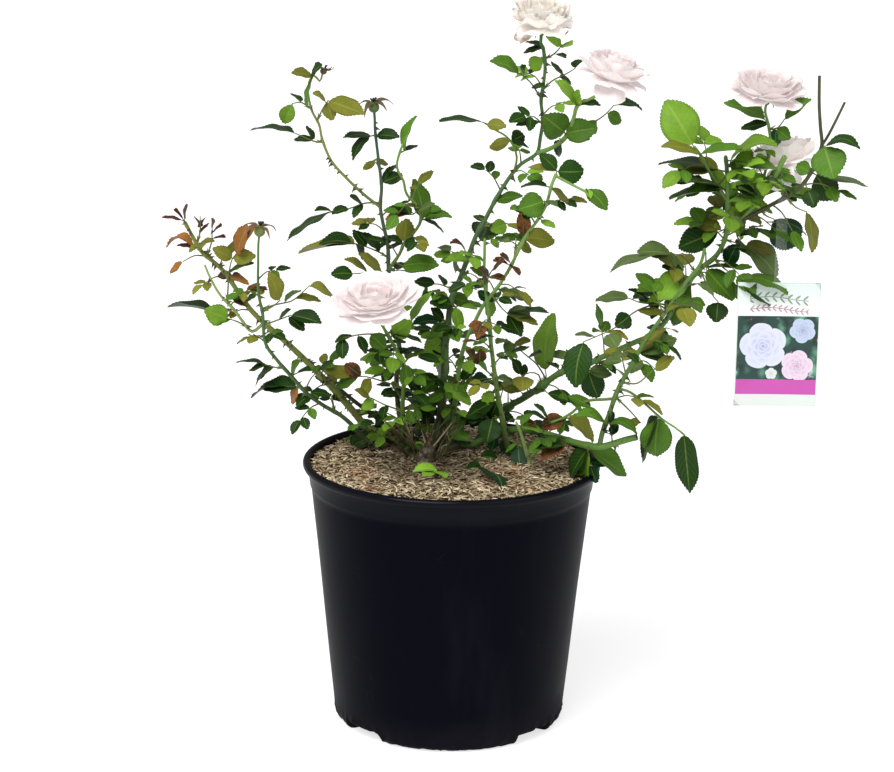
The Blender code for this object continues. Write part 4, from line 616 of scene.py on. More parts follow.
def leaflet_ends(path: Sequence[Vector], leaflet: Sequence[float], away: float) -> tuple[Vector, Vector]:
    """A leaflet's root on its stalk and its tip, pitched so that the leaflet has its real length."""
    x0, z0, x1, z1, width = leaflet[:5]
    root = nearest_on_path(path, Vector((x0, 0.0, z0)))
    shown = math.hypot(x1 - x0, z1 - z0)
    real = max(shown * LEAST_PITCH, SHORTEST_LEAF, width * LEAST_LENGTH_RATIO)
    run = math.sqrt(real * real - shown * shown)
    return root, seen(x1, z1, root.y + away * run)


def link(name: str, data: bpy.types.ID) -> Thing:
    """A new object with its data, in the scene."""
    thing = bpy.data.objects.new(name, data)
    bpy.context.scene.collection.objects.link(thing)
    return thing


def solid_of(stem: Stem) -> str:
    """The name of the CAD node that a stem belongs to: its parent's for a twig, otherwise its own."""
    return stem.parent if stem.name.startswith("twig_") else stem.name


def smooth_path(points: Sequence[Vector], step: float) -> np.ndarray:
    """A smooth curve through points, sampled about every step millimetres.

    Args:
        points: the points that the curve passes through.
        step: the wanted distance between samples.

    Returns:
        The samples, one row each.
    """
    knots = np.array([list(point) for point in points])
    ends = np.vstack([2 * knots[0] - knots[1], knots, 2 * knots[-1] - knots[-2]])
    rows = []
    for k in range(1, len(ends) - 2):
        before, first, second, after = ends[k - 1:k + 3]
        count = max(1, round(float(np.linalg.norm(second - first)) / step))
        for t in np.arange(count) / count:
            rows.append(0.5 * (2 * first + (second - before) * t
                               + (2 * before - 5 * first + 4 * second - after) * t * t
                               + (3 * first - before - 3 * second + after) * t ** 3))
    rows.append(knots[-1])
    return np.array(rows)


def lengths_along(path: np.ndarray) -> np.ndarray:
    """The distance from the start of a path to each of its points."""
    return np.concatenate([[0.0], np.cumsum(np.linalg.norm(np.diff(path, axis=0), axis=1))])


def ring_faces(rings: int, sides: int) -> list[tuple[int, ...]]:
    """The faces between rings of points, each ring joined to the next."""
    return [(row * sides + k, row * sides + (k + 1) % sides, (row + 1) * sides + (k + 1) % sides,
             (row + 1) * sides + k) for row in range(rings - 1) for k in range(sides)]


@dataclass
class Shell:
    """Collects the surfaces of one piece: points in millimetres, each with a UV place and a colour."""

    points: list[np.ndarray] = field(default_factory=list)
    places: list[np.ndarray] = field(default_factory=list)
    colours: list[np.ndarray] = field(default_factory=list)
    faces: list[tuple[int, ...]] = field(default_factory=list)
    count: int = 0

    def add(self, points: np.ndarray, faces: Sequence, colour: np.ndarray,
            places: np.ndarray | None = None) -> None:
        """Add a closed surface.

        Args:
            points: its points, one row each.
            faces: its faces, as indices of those points.
            colour: one colour with alpha for all, or a row for each point.
            places: the UV place of each point, or None where the finish needs none.
        """
        size = len(points)
        self.points.append(points)
        self.places.append(np.zeros((size, 2)) if places is None else places)
        self.colours.append(np.broadcast_to(np.asarray(colour, dtype=float), (size, 4)))
        self.faces.extend(tuple(index + self.count for index in face) for face in faces)
        self.count += size

    def tube(self, path: np.ndarray, radii: np.ndarray, sides: int, colours: np.ndarray,
             cap: Sequence[float] | None = None) -> None:
        """Add a closed round bar along a path.

        Args:
            path: its centre line.
            radii: its radius at each point of the path.
            sides: how many sides it has.
            colours: one colour with alpha for all, or a row for each point of the path.
            cap: the colour of its far end's face, or None for the bar's own.
        """
        ahead = np.gradient(path, axis=0)
        ahead /= np.linalg.norm(ahead, axis=1)[:, None] + 1e-9
        side = np.array([0.37, 1.0, 0.21])
        angles = 2.0 * math.pi * np.arange(sides) / sides
        rings = []
        for point, way, radius in zip(path, ahead, radii):
            side = side - way * side.dot(way)
            side /= np.linalg.norm(side)
            across = np.cross(way, side)
            rings.append(point + radius * (np.cos(angles)[:, None] * side + np.sin(angles)[:, None] * across))
        faces = ring_faces(len(path), sides)
        foot = len(path) * sides
        last = foot - sides
        for k in range(sides):
            after = (k + 1) % sides
            faces += [(after, k, foot), (last + k, last + after, foot + 1)]
        colours = np.broadcast_to(colours, (len(path), 4))
        end = colours[-1] if cap is None else np.array([*cap, 1.0])
        self.add(np.vstack([*rings, path[:1], path[-1:]]), faces,
                 np.vstack([np.repeat(colours, sides, axis=0), colours[:1], end[None, :]]))

    def blade(self, grid: np.ndarray, thickness: float, upper: np.ndarray, under: np.ndarray) -> None:
        """Add a thin closed blade, such as a leaflet, petal or sepal.

        Args:
            grid: the points of its upper side, in rows from base to tip.
            thickness: its thickness away from its edge.
            upper: its colour with alpha on the upper side, one or a grid of them.
            under: the same for its under side.
        """
        rows, columns = grid.shape[:2]
        along = np.gradient(grid, axis=0)
        across = np.gradient(grid, axis=1)
        normal = np.cross(across, along)
        normal /= np.linalg.norm(normal, axis=2)[:, :, None] + 1e-9
        index = np.arange(rows * columns).reshape(rows, columns)
        low = index.copy()
        inner = (rows - 2) * (columns - 2)
        low[1:-1, 1:-1] = rows * columns + np.arange(inner).reshape(rows - 2, columns - 2)
        below = (grid - normal * thickness)[1:-1, 1:-1].reshape(-1, 3)
        faces = []
        for table, turned in ((index, False), (low, True)):
            corners = np.stack([table[:-1, :-1], table[:-1, 1:], table[1:, 1:], table[1:, :-1]], axis=-1)
            quads = corners.reshape(-1, 4)
            faces += [tuple(quad[::-1]) if turned else tuple(quad) for quad in quads.tolist()]
        v, u = np.meshgrid(np.linspace(0, 1, rows), np.linspace(0, 1, columns), indexing="ij")
        places = np.stack([u, v], axis=-1)
        top = np.broadcast_to(upper, (rows, columns, 4)).reshape(-1, 4)
        back = np.broadcast_to(under, (rows, columns, 4))[1:-1, 1:-1].reshape(-1, 4)
        self.add(np.vstack([grid.reshape(-1, 3), below]), faces, np.vstack([top, back]),
                 np.vstack([places.reshape(-1, 2), places[1:-1, 1:-1].reshape(-1, 2)]))

    def mesh(self, name: str, sharp: float = 40.0) -> Thing:
        """The piece as an object in metres, shaded smooth up to a sharp angle in degrees."""
        data = bpy.data.meshes.new(name)
        data.from_pydata((np.vstack(self.points) * MM).tolist(), [], self.faces)
        corners = np.empty(len(data.loops), dtype=np.int32)
        data.loops.foreach_get("vertex_index", corners)
        layer = data.uv_layers.new(name="UVMap")
        layer.uv.foreach_set("vector", np.vstack(self.places)[corners].astype(np.float32).ravel())
        tone = data.color_attributes.new("tone", "FLOAT_COLOR", "POINT")
        tone.data.foreach_set("color", np.vstack(self.colours).astype(np.float32).ravel())
        data.shade_smooth()
        data.set_sharp_from_angle(angle=math.radians(sharp))
        return link(name, data)


class Value:
    """A number socket of a material or a geometry tree that takes part in Python expressions."""

    def __init__(self, tree: "Tree", socket: Socket) -> None:
        """Wrap a socket of a tree."""
        self.tree = tree
        self.socket = socket

    def math(self, operation: str, other: "Value | float | None" = None, swapped: bool = False) -> "Value":
        """One of the Math node's operations on this value.

        Args:
            operation: the node's operation.
            other: the second term, or None where it has one.
            swapped: whether the other term comes first.

        Returns:
            The result.
        """
        terms = [self] if other is None else [other, self] if swapped else [self, other]
        made = self.tree.node("ShaderNodeMath", {"operation": operation}, dict(enumerate(terms)))
        return Value(self.tree, made.outputs[0])

    def __add__(self, other: "Value | float") -> "Value":
        """This value plus another."""
        return self.math("ADD", other)

    def __sub__(self, other: "Value | float") -> "Value":
        """This value less another."""
        return self.math("SUBTRACT", other)

    def __rsub__(self, other: float) -> "Value":
        """Another value less this one."""
        return self.math("SUBTRACT", other, swapped=True)

    def __mul__(self, other: "Value | float") -> "Value":
        """This value times another."""
        return self.math("MULTIPLY", other)

    def __truediv__(self, other: "Value | float") -> "Value":
        """This value divided by another."""
        return self.math("DIVIDE", other)

    def __abs__(self) -> "Value":
        """The size of this value without its sign."""
        return self.math("ABSOLUTE")

    __radd__ = __add__
    __rmul__ = __mul__

    def fade(self, low: float, high: float) -> "Value":
        """A smooth step: 0 where this value is at or below low and 1 at or above high, or the reverse."""
        made = self.tree.node("ShaderNodeMapRange", {"interpolation_type": "SMOOTHSTEP"},
                              {"Value": self, "From Min": low, "From Max": high})
        return Value(self.tree, made.outputs["Result"])


Colour = Socket | Rgb


class Tree:
    """A node tree with short ways to make its nodes."""

    def __init__(self, tree: bpy.types.NodeTree) -> None:
        """Start from a tree."""
        self.tree = tree

    def node(self, kind: str, settings: dict | None = None, inputs: dict | None = None) -> bpy.types.Node:
        """Make a node.

        Args:
            kind: the node's type.
            settings: its settings, set first.
            inputs: the value or link of each socket, by the socket's name or index.

        Returns:
            The node.
        """
        made = self.tree.nodes.new(kind)
        for name, setting in (settings or {}).items():
            setattr(made, name, setting)
        for key, term in (inputs or {}).items():
            socket = made.inputs[key]
            if isinstance(term, Value):
                self.tree.links.new(term.socket, socket)
            elif isinstance(term, Socket):
                self.tree.links.new(term, socket)
            elif isinstance(term, tuple) and len(term) == 3 and socket.type == "RGBA":
                socket.default_value = (*term, 1.0)
            else:
                socket.default_value = term
        return made


class Paint(Tree):
    """A material whose colours and bumps are made by nodes."""

    def __init__(self, name: str, **shader: float | tuple) -> None:
        """Start a material.

        Args:
            name: its name.
            shader: the constant sockets of its shader, with _ for each space.
        """
        self.material = bpy.data.materials.new(name)
        self.material.use_nodes = True
        super().__init__(self.material.node_tree)
        self.shader = self.tree.nodes["Principled BSDF"]
        for key, setting in shader.items():
            self.shader.inputs[key.replace("_", " ").title().replace("Ior", "IOR")].default_value = setting

    def place(self, scale: tuple[float, float, float] = (1.0, 1.0, 1.0)) -> Socket:
        """The point's place on the object in metres, stretched by a scale."""
        origin = self.node("ShaderNodeTexCoord").outputs["Object"]
        return self.node("ShaderNodeMapping", None, {"Vector": origin, "Scale": scale}).outputs[0]

    def on_surface(self) -> tuple[Value, Value]:
        """The point's UV place: across and along the surface."""
        parts = self.node("ShaderNodeSeparateXYZ", None, {0: self.node("ShaderNodeUVMap").outputs[0]})
        return Value(self, parts.outputs[0]), Value(self, parts.outputs[1])

    def attribute(self, name: str) -> Value:
        """A named attribute's number."""
        return Value(self, self.node("ShaderNodeAttribute", {"attribute_name": name}).outputs["Fac"])

    def tone(self) -> tuple[Socket, Value]:
        """The surface's own colour and its alpha."""
        made = self.node("ShaderNodeAttribute", {"attribute_name": "tone"})
        return made.outputs["Color"], Value(self, made.outputs["Alpha"])

    def noise(self, scale: float, detail: float = 3.0, stretch: tuple[float, float, float] = (1.0, 1.0, 1.0),
              roughness: float = 0.55) -> Value:
        """A cloudy noise between 0 and 1, with so many clouds to the metre."""
        made = self.node("ShaderNodeTexNoise", None, {
            "Vector": self.place(stretch), "Scale": scale, "Detail": detail, "Roughness": roughness})
        return Value(self, made.outputs["Fac"])

    def cells(self, scale: float, stretch: tuple[float, float, float] = (1.0, 1.0, 1.0),
              feature: str = "F1") -> Value:
        """The distance to the nearest of scattered points, or to the edge of its cell."""
        made = self.node("ShaderNodeTexVoronoi", {"feature": feature}, {
            "Vector": self.place(stretch), "Scale": scale})
        return Value(self, made.outputs["Distance"])

    def mix(self, share: Value | float, first: Colour, second: Colour) -> Socket:
        """Two colours mixed by a share of the second."""
        return self.node("ShaderNodeMix", {"data_type": "RGBA"}, {0: share, 6: first, 7: second}).outputs[2]

    def shade(self, colour: Colour, factor: Value) -> Socket:
        """A colour made lighter or darker by a factor."""
        made = self.node("ShaderNodeVectorMath", {"operation": "SCALE"}, {0: colour, "Scale": factor})
        return made.outputs[0]

    def ramp(self, value: Value, stops: Sequence[tuple[float, Rgb]]) -> Socket:
        """A colour that follows a value through stops of (value, colour)."""
        made = self.node("ShaderNodeValToRGB", None, {0: value})
        elements = made.color_ramp.elements
        while len(elements) < len(stops):
            elements.new(1.0)
        for element, (position, colour) in zip(elements, stops):
            element.position = position
            element.color = (*colour, 1.0)
        return made.outputs[0]

    def finish(self, colour: Colour, roughness: Value | None = None, height: Value | None = None,
               depth: float = 0.0003, strength: float = 1.0) -> bpy.types.Material:
        """Join colour, roughness and bump height to the shader.

        Args:
            colour: the base colour.
            roughness: the roughness, or None to keep the shader's own.
            height: the bump's height between 0 and 1, or None.
            depth: the bump's depth in metres.
            strength: how strongly the bump shows.

        Returns:
            The material.
        """
        self.tree.links.new(colour, self.shader.inputs["Base Color"])
        if roughness is not None:
            self.tree.links.new(roughness.socket, self.shader.inputs["Roughness"])
        if height is not None:
            terms = {"Strength": strength, "Distance": depth, "Height": height}
            bump = self.node("ShaderNodeBump", None, terms)
            self.tree.links.new(bump.outputs[0], self.shader.inputs["Normal"])
        return self.material


class Growth(Tree):
    """A geometry tree that scatters copies of a small shape over a surface."""

    def __init__(self, name: str, numbers: dict[str, float], shape: str) -> None:
        """Start a tree.

        Args:
            name: its name.
            numbers: its named number inputs with their values.
            shape: the name of its input for the small shape.
        """
        group = bpy.data.node_groups.new(name, "GeometryNodeTree")
        super().__init__(group)
        face = group.interface
        face.new_socket("Geometry", in_out="INPUT", socket_type="NodeSocketGeometry")
        face.new_socket(shape, in_out="INPUT", socket_type="NodeSocketObject")
        for key in numbers:
            face.new_socket(key, in_out="INPUT", socket_type="NodeSocketFloat")
        face.new_socket("Geometry", in_out="OUTPUT", socket_type="NodeSocketGeometry")
        self.numbers = numbers
        self.shape = shape
        self.source = self.node("NodeGroupInput")

    def number(self, name: str) -> Value:
        """One of the named number inputs."""
        return Value(self, self.source.outputs[name])

    def random(self, low: Value | float, high: Value | float, seed: int) -> Value:
        """A random number between two others, for each point."""
        made = self.node("FunctionNodeRandomValue", {"data_type": "FLOAT"}, {2: low, 3: high, "Seed": seed})
        return Value(self, made.outputs[1])

    def scatter(self, points: Socket, turn: Socket, seed: int) -> Socket:
        """Stand a copy of the small shape on each point, turned, in sizes from Smallest to Largest."""
        shape = self.node("GeometryNodeObjectInfo", {"transform_space": "RELATIVE"},
                          {0: self.source.outputs[self.shape]}).outputs["Geometry"]
        size = self.random(self.number("Smallest"), self.number("Largest"), seed)
        terms = {"Points": points, "Instance": shape, "Rotation": turn, "Scale": size}
        return self.node("GeometryNodeInstanceOnPoints", None, terms).outputs[0]

    def apply(self, ground: Thing, shape: Thing, name: str, copies: Socket,
              material: bpy.types.Material) -> Thing:
        """Run the tree on a surface and keep what it makes as a plain mesh.

        Args:
            ground: the surface's object, which is removed.
            shape: the small shape's object, which is removed.
            name: the new piece's name.
            copies: the socket with the scattered copies.
            material: their material.

        Returns:
            The new piece.
        """
        real = self.node("GeometryNodeRealizeInstances", None, {0: copies}).outputs[0]
        dressed = self.node("GeometryNodeSetMaterial", None, {"Geometry": real, "Material": material})
        self.node("NodeGroupOutput", None, {0: dressed.outputs[0]})
        modifier = ground.modifiers.new(name, "NODES")
        modifier.node_group = self.tree
        for item in self.tree.interface.items_tree:
            if item.in_out == "INPUT" and item.name in self.numbers:
                modifier[item.identifier] = self.numbers[item.name]
            elif item.in_out == "INPUT" and item.name == self.shape:
                modifier[item.identifier] = shape
        graph = bpy.context.evaluated_depsgraph_get()
        data = bpy.data.meshes.new_from_object(ground.evaluated_get(graph), depsgraph=graph)
        data.name = name
        piece = link(name, data)
        for thing in (ground, shape):
            bpy.data.objects.remove(thing)
        return piece


@dataclass(frozen=True)
class LeafFinish:
    """Waxy leaf: a pale midrib, side veins, quilted skin, and rust from the margin in."""

    veins: float = 8.0
    slant: float = 2.6
    rust: Rgb = srgb(132, 78, 44)
    scorch: Rgb = srgb(58, 38, 26)

    def material(self) -> bpy.types.Material:
        """The leaf's material."""
        paint = Paint("waxy_leaf", specular_ior_level=0.12)
        tone, rusty = paint.tone()
        across, along = paint.on_surface()
        side = abs(across - 0.5) * 2.0
        beat = (along * self.veins - side * self.slant).math("FRACT")
        ridge = abs(beat - 0.5) * 2.0
        vein = ridge.fade(0.80, 1.0) * side.fade(1.0, 0.75)
        midrib = side.fade(0.08, 0.02)
        cloud = paint.noise(90.0, 4.0)
        fleck = paint.noise(420.0, 3.0)
        rim = side.fade(0.74, 1.0)
        light = (0.56 + cloud * 0.58 + fleck * 0.34) * (1.06 - rim * 0.36)
        colour = paint.shade(tone, light)
        colour = paint.mix(vein * 0.08 + midrib * 0.2, colour, srgb(170, 196, 92))
        reach = side * 0.55 + along * 0.2 + paint.noise(170.0, 5.0, roughness=0.7) * 0.75
        worn = (reach + rusty * 0.75).fade(1.18, 1.5)
        colour = paint.mix(worn * 0.85, colour, paint.mix(fleck.fade(0.45, 0.65), self.rust, self.scorch))
        spots = paint.cells(260.0).fade(0.16, 0.1) * paint.noise(40.0).fade(0.55, 0.68)
        colour = paint.mix(spots * 0.6, colour, self.scorch)
        roughness = 0.36 + cloud * 0.2 + worn * 0.25
        height = (1.0 - ridge * ridge) * 0.5 * side.fade(0.0, 0.2) - midrib * 0.5 + fleck * 0.35 + 0.5
        return paint.finish(colour, roughness, height, 0.0003, 0.4)


@dataclass(frozen=True)
class BarkFinish:
    """Smooth young bark: fine streaks along the stem, pores, and brown corky patches where it is woody."""

    cork: Rgb = srgb(74, 60, 40)
    pore: Rgb = srgb(168, 158, 128)
    blush: Rgb = srgb(120, 62, 44)

    def material(self) -> bpy.types.Material:
        """The bark's material."""
        paint = Paint("cane_bark", specular_ior_level=0.4)
        tone, woody = paint.tone()
        streak = paint.noise(900.0, 4.0, (1.0, 1.0, 0.16))
        cloud = paint.noise(55.0, 3.0)
        colour = paint.shade(tone, 0.62 + streak * 0.5 + cloud * 0.26)
        corky = (woody + streak * 0.5 + cloud * 0.4).fade(0.75, 1.25)
        colour = paint.mix(corky * 0.85, colour, paint.shade(self.cork, 0.5 + streak))
        colour = paint.mix(cloud.fade(0.56, 0.7) * 0.25, colour, self.blush)
        pores = paint.cells(420.0, (1.0, 1.0, 0.5)).fade(0.2, 0.1)
        colour = paint.mix(pores * 0.35, colour, self.pore)
        return paint.finish(colour, 0.42 + streak * 0.2 + corky * 0.15, streak * 0.7 + pores * 0.6, 0.0003)


@dataclass(frozen=True)
class PrickleFinish:
    """Prickles: red-brown horn, paler and greener in places."""

    horn: Rgb = srgb(64, 48, 28)
    young: Rgb = srgb(84, 84, 42)

    def material(self) -> bpy.types.Material:
        """The prickles' material."""
        paint = Paint("prickle_horn", specular_ior_level=0.45)
        cloud = paint.noise(60.0, 2.0)
        grain = paint.noise(900.0, 2.0)
        colour = paint.mix(cloud.fade(0.42, 0.6), self.horn, self.young)
        return paint.finish(paint.shade(colour, 0.6 + grain * 0.8), 0.35 + grain * 0.2, grain, 0.0001)


@dataclass(frozen=True)
class PetalFinish:
    """Petals: soft satin with fine veins along them, brown papery edges where they fade, and a faint painted
    glow that lifts their shade.
    """

    brown: Rgb = srgb(158, 112, 70)
    burnt: Rgb = srgb(92, 58, 36)

    def material(self) -> bpy.types.Material:
        """The petals' material."""
        # The faint white emission is a painted glow that lifts the petals' shade, standing in for light
        # passing through them.
        paint = Paint("rose_petal", specular_ior_level=0.1, emission_color=(1.0, 0.985, 0.98, 1.0),
                      emission_strength=0.11)
        tone, faded = paint.tone()
        across, along = paint.on_surface()
        fan = ((across - 0.5) * 46.0 / (0.35 + along)).math("SINE")
        fine = paint.noise(300.0, 4.0)
        cloud = paint.noise(60.0, 3.0)
        colour = paint.shade(tone, 0.93 + fine * 0.08 + fan * 0.015)
        colour = paint.mix(cloud.fade(0.45, 0.75) * 0.2, colour, srgb(244, 230, 232))
        edge = abs(across - 0.5) * 0.5 + along * 0.7
        worn = (edge + faded * 0.75 + fine * 0.55).fade(1.25, 1.55)
        colour = paint.mix(worn * 0.9, colour, paint.mix(cloud.fade(0.4, 0.6), self.brown, self.burnt))
        return paint.finish(colour, 0.5 + fine * 0.15, fan * 0.25 + fine * 0.5 + 0.5, 0.00025, 0.6)


@dataclass(frozen=True)
class PotFinish:
    """Blue-black satin moulded plastic: flow marks, scuffs, hairline scratches, a film of dust by the foot,
    and a painted highlight that lightens the lip band.
    """

    plastic: Rgb = (0.0012, 0.0014, 0.0042)
    scuff: Rgb = (0.014, 0.014, 0.02)
    dust_and_sheen_grey: Rgb = (0.010, 0.009, 0.0115)

    def material(self) -> bpy.types.Material:
        """The pot's material."""
        paint = Paint("pot_plastic", specular_ior_level=0.03, coat_roughness=0.16)
        cloud = paint.noise(14.0, 4.0)
        flow = paint.noise(26.0, 5.0, (1.0, 1.0, 0.22))
        speck = paint.noise(1300.0, 2.0)
        scratch = paint.cells(34.0, (1.0, 1.0, 2.4), "DISTANCE_TO_EDGE").fade(0.012, 0.0)
        scratch = scratch * paint.noise(21.0, 3.0).fade(0.6, 0.72)
        height = Value(paint, paint.node("ShaderNodeSeparateXYZ", None, {0: paint.place()}).outputs[2])
        # The lighter grey near the foot is dust; along the lip band, from 0.238 m up, it is a painted
        # highlight.
        low = height.fade(0.06, 0.0) * 0.7 + height.fade(0.238, 0.249) * 0.45
        dust_and_sheen = (cloud * 0.8 + speck * 0.5 + low).fade(0.85, 1.5)
        colour = paint.mix(dust_and_sheen * 0.55, self.plastic, self.dust_and_sheen_grey)
        colour = paint.mix(flow.fade(0.5, 0.75) * 0.16, colour, self.scuff)
        colour = paint.mix(scratch * 0.25, colour, self.scuff)
        paint.tree.links.new((height.fade(0.222, 0.236) * 0.13).socket, paint.shader.inputs["Coat Weight"])
        roughness = 0.33 + flow * 0.16 + dust_and_sheen * 0.22 + speck * 0.05
        return paint.finish(colour, roughness, flow * 0.6 + speck * 0.14 - scratch * 0.3, 0.0006, 0.5)


@dataclass(frozen=True)
class HullFinish:
    """Dry rice hulls: straw, cream and tan, the low-lying ones painted darker as shade between hulls and all
    varied at random, and dark litter round the crown.
    """

    crown: tuple[float, float, float] = (-0.02, -0.005, 0.235)
    litter: Rgb = srgb(52, 40, 22)

    def material(self) -> bpy.types.Material:
        """The hulls' material."""
        paint = Paint("rice_hull", specular_ior_level=0.3)
        shade = paint.attribute("shade")
        patch = paint.noise(22.0, 2.0)
        grain = paint.noise(1500.0, 2.0)
        # The dark end of this ramp is painted shade for low-lying hulls, mixed with random tone.
        colour = paint.ramp(shade * 0.85 + patch * 0.3 - 0.08, (
            (0.0, srgb(10, 7, 3)), (0.24, srgb(22, 16, 8)), (0.4, srgb(60, 46, 29)),
            (0.58, srgb(130, 110, 78)), (0.8, srgb(216, 198, 164)), (1.0, srgb(250, 240, 218))))
        colour = paint.mix(patch.fade(0.54, 0.66) * 0.45, colour, srgb(128, 76, 38))
        reach = Value(paint, paint.node("ShaderNodeVectorMath", {"operation": "DISTANCE"},
                                        {0: paint.place(), 1: self.crown}).outputs["Value"])
        damp = (reach + patch * 0.03).fade(0.1, 0.05)
        colour = paint.mix(damp * 0.72, colour, self.litter)
        return paint.finish(paint.shade(colour, 0.72 + grain * 0.55), 0.55 + grain * 0.2, grain, 0.0002)


@dataclass(frozen=True)
class SoilFinish:
    """Dark peat and bark mix with paler crumbs."""

    name: str
    dark: Rgb = srgb(44, 32, 24)
    crumb: Rgb = srgb(112, 84, 58)

    def material(self) -> bpy.types.Material:
        """The mix's material."""
        paint = Paint(self.name, specular_ior_level=0.2)
        clod = paint.cells(190.0)
        grain = paint.noise(420.0, 5.0, roughness=0.7)
        colour = paint.mix((grain + (1.0 - clod) * 0.3).fade(0.62, 0.95), self.dark, self.crumb)
        return paint.finish(colour, 0.8 + grain * 0.15, clod * 0.6 + grain * 0.5, 0.0015)


@dataclass(frozen=True)
class StrapFinish:
    """Milky clear plastic strip."""

    def material(self) -> bpy.types.Material:
        """The strap's material."""
        paint = Paint("clear_strap", alpha=0.06, specular_ior_level=0.5)
        cloud = paint.noise(120.0, 3.0)
        colour = paint.mix(cloud, srgb(214, 222, 222), srgb(240, 244, 244))
        return paint.finish(colour, 0.2 + cloud * 0.15, cloud, 0.0001)


@dataclass(frozen=True)
class FloorFinish:
    """A plain pale studio floor."""

    def material(self) -> bpy.types.Material:
        """The floor's material."""
        paint = Paint("pale_floor", specular_ior_level=0.1, roughness=0.9, emission_color=WHITE,
                      emission_strength=0.7)
        cloud = paint.noise(2.0, 2.0)
        return paint.finish(paint.mix(cloud, (0.44, 0.44, 0.44), (0.46, 0.46, 0.46)))


@dataclass(frozen=True)
class Rosette:
    """A printed flower: its middle and radius in millimetres from the card's lower left, and its turn."""

    across: float
    up: float
    radius: float
    turn: float
    rim: Rgb
    heart: Rgb


@dataclass(frozen=True)
class CardFinish:
    """Printed card: a pale header with a sprig, pale rosettes over leaves, a magenta band and a pale foot."""

    width: float = 75.0
    height: float = 115.0
    band_low: float = 11.0
    band_high: float = 25.0
    picture_high: float = 84.0
    rosettes: tuple[Rosette, ...] = (
        Rosette(25.0, 56.0, 22.0, 0.3, srgb(206, 210, 230), srgb(146, 142, 186)),
        Rosette(56.0, 38.0, 15.0, 1.4, srgb(218, 200, 216), srgb(160, 118, 152)),
        Rosette(60.0, 71.0, 12.0, 2.6, srgb(182, 194, 216), srgb(112, 118, 158)),
        Rosette(33.0, 30.5, 5.5, 0.8, srgb(210, 214, 212), srgb(160, 152, 170)),
    )

    def material(self) -> bpy.types.Material:
        """The card's material."""
        paint = Paint("printed_card", roughness=0.28, specular_ior_level=0.5)
        u, v = paint.on_surface()
        x = u * self.width
        z = v * self.height
        leafy = (paint.cells(95.0, (1.0, 1.0, 0.62)) + paint.noise(70.0) * 0.4).fade(0.28, 0.75)
        picture = paint.mix(leafy, srgb(96, 156, 124), srgb(20, 58, 50))
        picture = paint.mix(paint.noise(48.0, 2.0).fade(0.48, 0.6) * 0.8, picture, srgb(12, 28, 30))
        picture = paint.mix(paint.noise(75.0, 4.0).fade(0.6, 0.68) * 0.75, picture, srgb(186, 200, 206))
        for flower in self.rosettes:
            picture = self.printed(paint, picture, x, z, flower)
        header = paint.mix((z / self.height).fade(0.73, 1.0), srgb(228, 232, 230), srgb(212, 228, 222))
        header = paint.mix(self.sprig(x, z, 100.0, 7.0), header, srgb(86, 122, 84))
        header = paint.mix(self.sprig(x, z, 90.0, 5.0), header, srgb(160, 92, 122))
        colour = paint.mix(z.fade(self.picture_high - 0.2, self.picture_high + 0.2), picture, header)
        band = paint.mix(paint.noise(30.0), srgb(184, 66, 158), srgb(192, 82, 168))
        colour = paint.mix(z.fade(self.band_high + 0.2, self.band_high - 0.2), colour, band)
        foot = paint.mix(paint.noise(40.0), srgb(214, 218, 216), srgb(204, 214, 208))
        colour = paint.mix(z.fade(self.band_low + 0.2, self.band_low - 0.2), colour, foot)
        behind = paint.attribute("tone").fade(0.98, 0.9)
        rule = ((z / 5.0).math("FRACT") - 0.5).math("ABSOLUTE").fade(0.42, 0.46) * z.fade(30.0, 31.0)
        rule = rule * z.fade(86.0, 85.0) * abs(u - 0.5).fade(0.38, 0.36)
        plain = paint.mix(rule * 0.35, srgb(214, 218, 214), srgb(120, 140, 122))
        colour = paint.mix(behind, colour, plain)
        margin = abs(u - 0.5).fade(0.483, 0.488) + abs(v - 0.5).fade(0.490, 0.493)
        colour = paint.mix(margin, colour, srgb(206, 214, 206))
        return paint.finish(colour, None, paint.noise(260.0, 2.0), 0.00006)

    def printed(self, paint: Paint, under: Colour, x: Value, z: Value, flower: Rosette) -> Socket:
        """A rosette printed over what lies under it.

        Args:
            paint: the card's material.
            under: the colour under the flower.
            x: the place across the card in millimetres.
            z: the place up the card in millimetres.
            flower: the rosette.

        Returns:
            The colour with the flower on it.
        """
        right = x - flower.across
        up = z - flower.up
        reach = (right * right + up * up).math("SQRT") / flower.radius
        angle = up.math("ARCTAN2", right)
        grain = paint.noise(70.0, 2.0) - 0.5
        colour = under
        for level, size in enumerate((1.0, 0.82, 0.64, 0.47, 0.31, 0.17)):
            petals = abs((angle * (2.5 if level < 4 else 1.5) + flower.turn + level * 1.9).math("SINE"))
            edge = size * (1.0 - level * 0.03) * (petals.math("POWER", 0.6) * 0.2 + 0.8) + grain * 0.1
            depth = ((edge - reach) / (0.34 * size + 0.06)).fade(0.0, 1.0)
            petal = paint.mix(depth, flower.rim, paint.mix(0.25 + level * 0.13, flower.rim, flower.heart))
            colour = paint.mix((edge - reach).fade(0.0, 0.03), colour, petal)
        return colour

    def sprig(self, x: Value, z: Value, line: float, pitch: float) -> Value:
        """A mask for a sprig of the header: a curved stem with slanting leaves in pairs.

        Args:
            x: the place across the card in millimetres.
            z: the place up the card in millimetres.
            line: the stem's height on the card.
            pitch: the distance between its leaves.

        Returns:
            The mask.
        """
        off = z - (line + ((x - 12.0) / 11.0).math("SINE") * 1.8)
        rise = abs(off)
        stem = rise.fade(0.45, 0.2)
        beat = ((x - rise * 0.9) / pitch).math("FRACT") - 0.5
        out = rise - pitch * 0.36
        leaf = (beat * beat * 26.0 + out * out / (pitch * pitch * 0.1)).fade(1.0, 0.85)
        inside = x.fade(11.0, 12.0) * x.fade(65.0, 64.0)
        return (stem + leaf * 0.8) * inside


